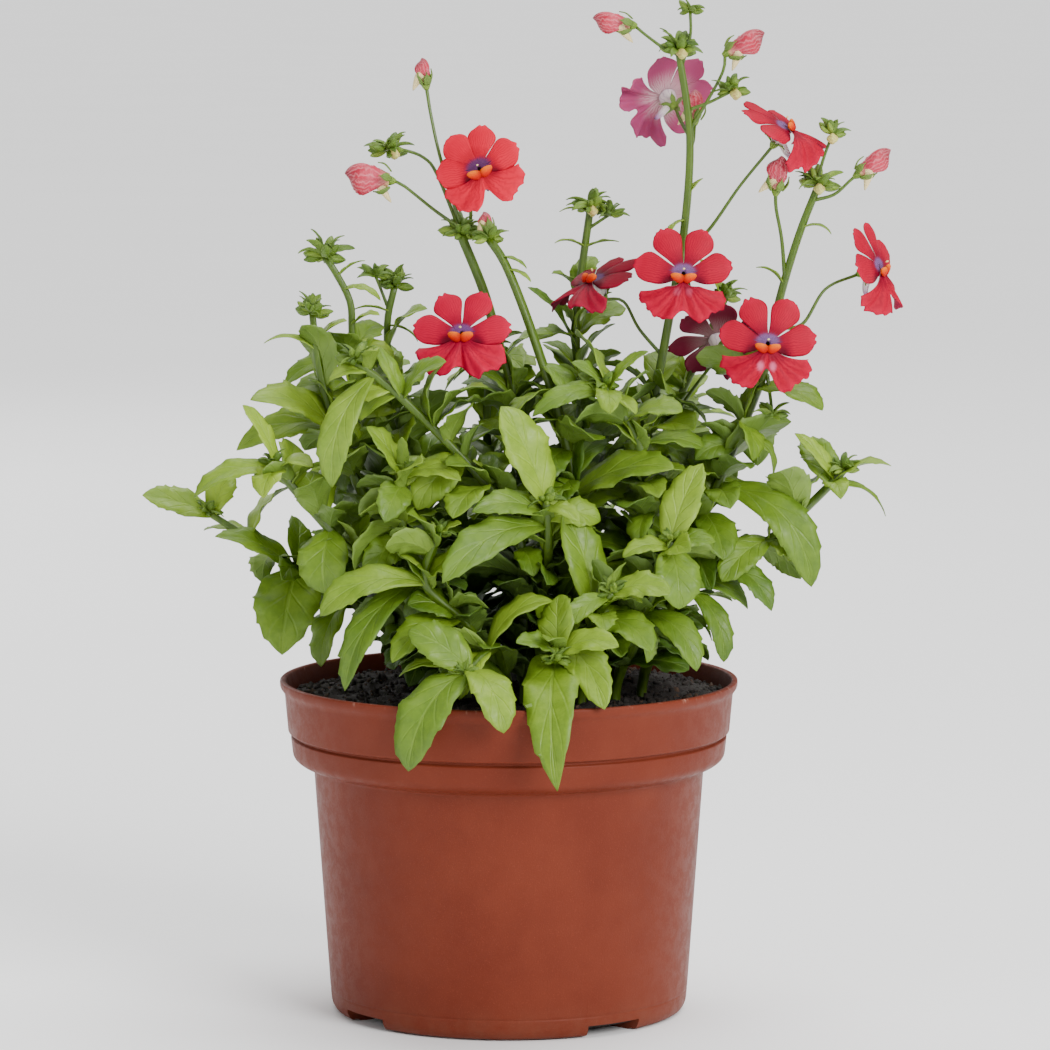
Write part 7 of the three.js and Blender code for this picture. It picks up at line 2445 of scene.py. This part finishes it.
    def build_soil(self) -> bpy.types.Material:
        """Dark moist compost with lighter fibres."""
        surface = Surface("potting_soil", self.effects)
        wires = surface.wires
        shade, _, _ = surface.masks()
        grain = surface.mottle(900.0, 0.3, 0.7, 0.6)
        dark = wires.blend(grain, colour(12, 9, 8), colour(42, 31, 24))
        flecked = wires.blend(wires.span(shade, 0.9, 1.0, 0.0, 0.4), dark, colour(96, 68, 46))
        surface.set("Base Color", flecked)
        surface.set("Roughness", wires.span(grain, 0, 1, 0.78, 0.95))
        surface.bump(wires.noise(surface.place, 2200.0, 6.0), 0.8, 0.6)
        return surface.material

    def build_plastic(self) -> bpy.types.Material:
        """Terracotta-coloured plastic: satin, faintly speckled, scuffed at the rim."""
        surface = Surface("terracotta_plastic", self.effects)
        wires = surface.wires
        height = wires.node("ShaderNodeSeparateXYZ", {0: surface.place}).outputs["Z"]
        cloudy = surface.mottle(34.0, 0.3, 0.7, 0.25)
        body = wires.blend(cloudy, colour(98, 39, 24), colour(107, 46, 29))
        speckle = wires.span(wires.noise(surface.place, 3400.0, 2.0), 0.56, 0.74)
        specked = wires.blend(wires.times(speckle, 0.24), body, colour(138, 66, 46))
        scratched = wires.node("ShaderNodeMapping", {
            "Vector": surface.place, "Scale": (1.0, 1.0, 0.16)}).outputs[0]
        scuff = wires.span(wires.noise(scratched, 620.0, 5.0), 0.6, 0.74)
        at_rim = wires.span(height, 0.0862, 0.0874)
        rubbed = wires.blend(wires.times(wires.times(scuff, at_rim), 0.3),
                             specked, colour(214, 176, 156))
        dust = wires.times(wires.span(height, 0.012, 0.0, 0.0, 1.0), surface.mottle(90.0))
        surface.set("Base Color", wires.blend(wires.times(dust, 0.18), rubbed,
                                              colour(120, 84, 66)))
        surface.set("Roughness", wires.span(surface.mottle(300.0), 0, 1, 0.42, 0.54))
        surface.set("Specular IOR Level", 0.12)
        relief = wires.plus(wires.noise(surface.place, 2600.0, 3.0),
                            wires.times(scuff, 0.3))
        surface.bump(relief, 0.22, 0.12)
        return surface.material


# The studio

@dataclass
class Studio:
    """A pale floor, a pale surround, soft lights and the camera."""

    camera_place: tuple[float, float, float] = (4.24, -1391.2, 284.8)
    camera_drop: float = 6.44
    lens: float = 183.57
    sensor: float = 36.0
    floor_radius: float = 60.0
    floor_sides: int = 64
    aim: tuple[float, float, float] = (0.0, 0.0, 0.13)
    sun_power: float = 3.4
    sun_angle: float = 50.0
    room_light: float = 0.4
    far_clip: float = 200.0

    def floor(self) -> bpy.types.Object:
        """Makes the floor."""
        angle = np.arange(self.floor_sides) / self.floor_sides * 2 * math.pi
        points = [(self.floor_radius * math.cos(a), self.floor_radius * math.sin(a), 0.0) for a in angle]
        mesh = bpy.data.meshes.new("floor")
        mesh.from_pydata(points, [], [list(range(self.floor_sides))])
        material = bpy.data.materials.new("pale_floor")
        material.use_nodes = True
        wires = Wiring(material.node_tree)
        shader = material.node_tree.nodes["Principled BSDF"]
        shader.inputs["Roughness"].default_value = 0.9
        shader.inputs["Specular IOR Level"].default_value = 0.1
        place = wires.node("ShaderNodeTexCoord").outputs["Object"]
        tint = wires.blend(wires.noise(place, 3.0, 2.0), colour(246, 246, 246), colour(250, 250, 250))
        material.node_tree.links.new(tint, shader.inputs["Base Color"])
        mesh.materials.append(material)
        floor = bpy.data.objects.new("floor", mesh)
        bpy.context.scene.collection.objects.link(floor)
        return floor

    @staticmethod
    def soft_light(name: str, place: tuple, aim: tuple, size: float, power: float) -> None:
        """Adds a large soft light.

        Args:
            name: The light's name.
            place: Where it is, in metres.
            aim: The point that it looks at.
            size: Its side.
            power: Its power in watts.
        """
        light = bpy.data.lights.new(name, "AREA")
        light.shape = "SQUARE"
        light.size = size
        light.energy = power
        lamp = bpy.data.objects.new(name, light)
        lamp.location = place
        way = np.array(aim, float) - np.array(place, float)
        flat = math.hypot(way[0], way[1])
        lamp.rotation_euler = (math.pi / 2 + math.atan2(way[2], flat), 0,
                               math.atan2(-way[0], way[1]))
        bpy.context.scene.collection.objects.link(lamp)

    def build(self) -> None:
        """Makes the studio and its camera."""
        self.floor()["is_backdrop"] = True
        self.soft_light("key", (0.9, -1.2, 0.85), self.aim, 0.8, 34.0)
        self.soft_light("fill", (-1.3, -0.9, 0.6), self.aim, 1.0, 6.0)
        self.soft_light("back", (-0.7, 1.3, 0.9), self.aim, 1.0, 8.0)
        overhead = bpy.data.lights.new("overhead", "SUN")
        overhead.energy = self.sun_power
        overhead.angle = self.sun_angle * DEGREES
        lamp = bpy.data.objects.new("overhead", overhead)
        lamp.rotation_euler = (-14 * DEGREES, 10 * DEGREES, 0)
        bpy.context.scene.collection.objects.link(lamp)
        world = bpy.data.worlds.new("pale_room")
        world.use_nodes = True
        backdrop = world.node_tree.nodes["Background"]
        backdrop.inputs["Color"].default_value = (1.0, 1.0, 1.0, 1.0)
        backdrop.inputs["Strength"].default_value = self.room_light
        bpy.context.scene.world = world
        camera = bpy.data.objects.new("camera", bpy.data.cameras.new("camera"))
        camera.data.lens = self.lens
        camera.data.sensor_width = self.sensor
        camera.data.clip_end = self.far_clip
        camera.location = tuple(value * METRES for value in self.camera_place)
        camera.rotation_euler = ((90 - self.camera_drop) * DEGREES, 0, 0)
        bpy.context.scene.collection.objects.link(camera)
        bpy.context.scene.camera = camera


# The whole

BLOOM_FINISHES = {
    1: "coral_petal", 2: "crimson_petal", 3: "red_petal", 4: "red_petal", 5: "red_petal",
    6: "red_petal", 7: "dusk_petal", 8: "pale_petal", 9: "dark_petal",
}


def settle(piece: bpy.types.Object, node: str) -> None:
    """Makes a piece ride on the body and stand for a node, and logs its triangles."""
    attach(piece, "root")
    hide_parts(node)
    triangles = sum(len(face.vertices) - 2 for face in piece.data.polygons)
    LOG.info("%s stands for %s with %d triangles", piece.name, node, triangles)


def corners(bounds: tuple) -> list[list[float]]:
    """Turns the two corners of a box into plain lists."""
    return [[float(value) for value in corner] for corner in bounds]


def main() -> None:
    """Builds the studio, the pot, the soil and the plant, and settles every piece."""
    logging.basicConfig(level=logging.INFO, format="%(message)s")
    solid_box = corners(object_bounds())
    Studio().build()
    finishes = Finishes(SharedEffects())
    layout = Layout()
    layout.lay()
    settle(NurseryPot().build(finishes.plastic), "pot")
    settle(PottingSoil().build(finishes.soil), "soil")
    flowers = [Flower(number, bloom) for number, bloom in enumerate(BLOOMS, 1)]
    buds = [FurledBud(number, bud) for number, bud in enumerate(BUDS, 1)]
    sweep = SweepTree(finishes.greens[GreenPart.STEM.value])
    for plan in STEMS:
        own_flowers = [flower for flower in flowers if flower.bloom.on == plan.name]
        own_buds = [bud for bud in buds if bud.bud.on == plan.name]
        stem = LeafyStem(plan, layout, own_flowers, own_buds)
        settle(stem.build(sweep, finishes.greens), plan.name)
    looks = {finish.name: finish for finish in finishes.petal_finishes}
    for flower in flowers:
        look = BLOOM_FINISHES[flower.number]
        petals = [finishes.petals[look], finishes.tube, finishes.knob]
        settle(flower.corolla(looks[look], petals), f"bloom_{flower.number}")
        settle(flower.palate(finishes.palate), f"palate_{flower.number}")
    for bud in buds:
        settle(bud.build(finishes.bud), f"bud_{bud.number}")
    dressed_box = corners(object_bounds())


if __name__ == "__main__":
    main()
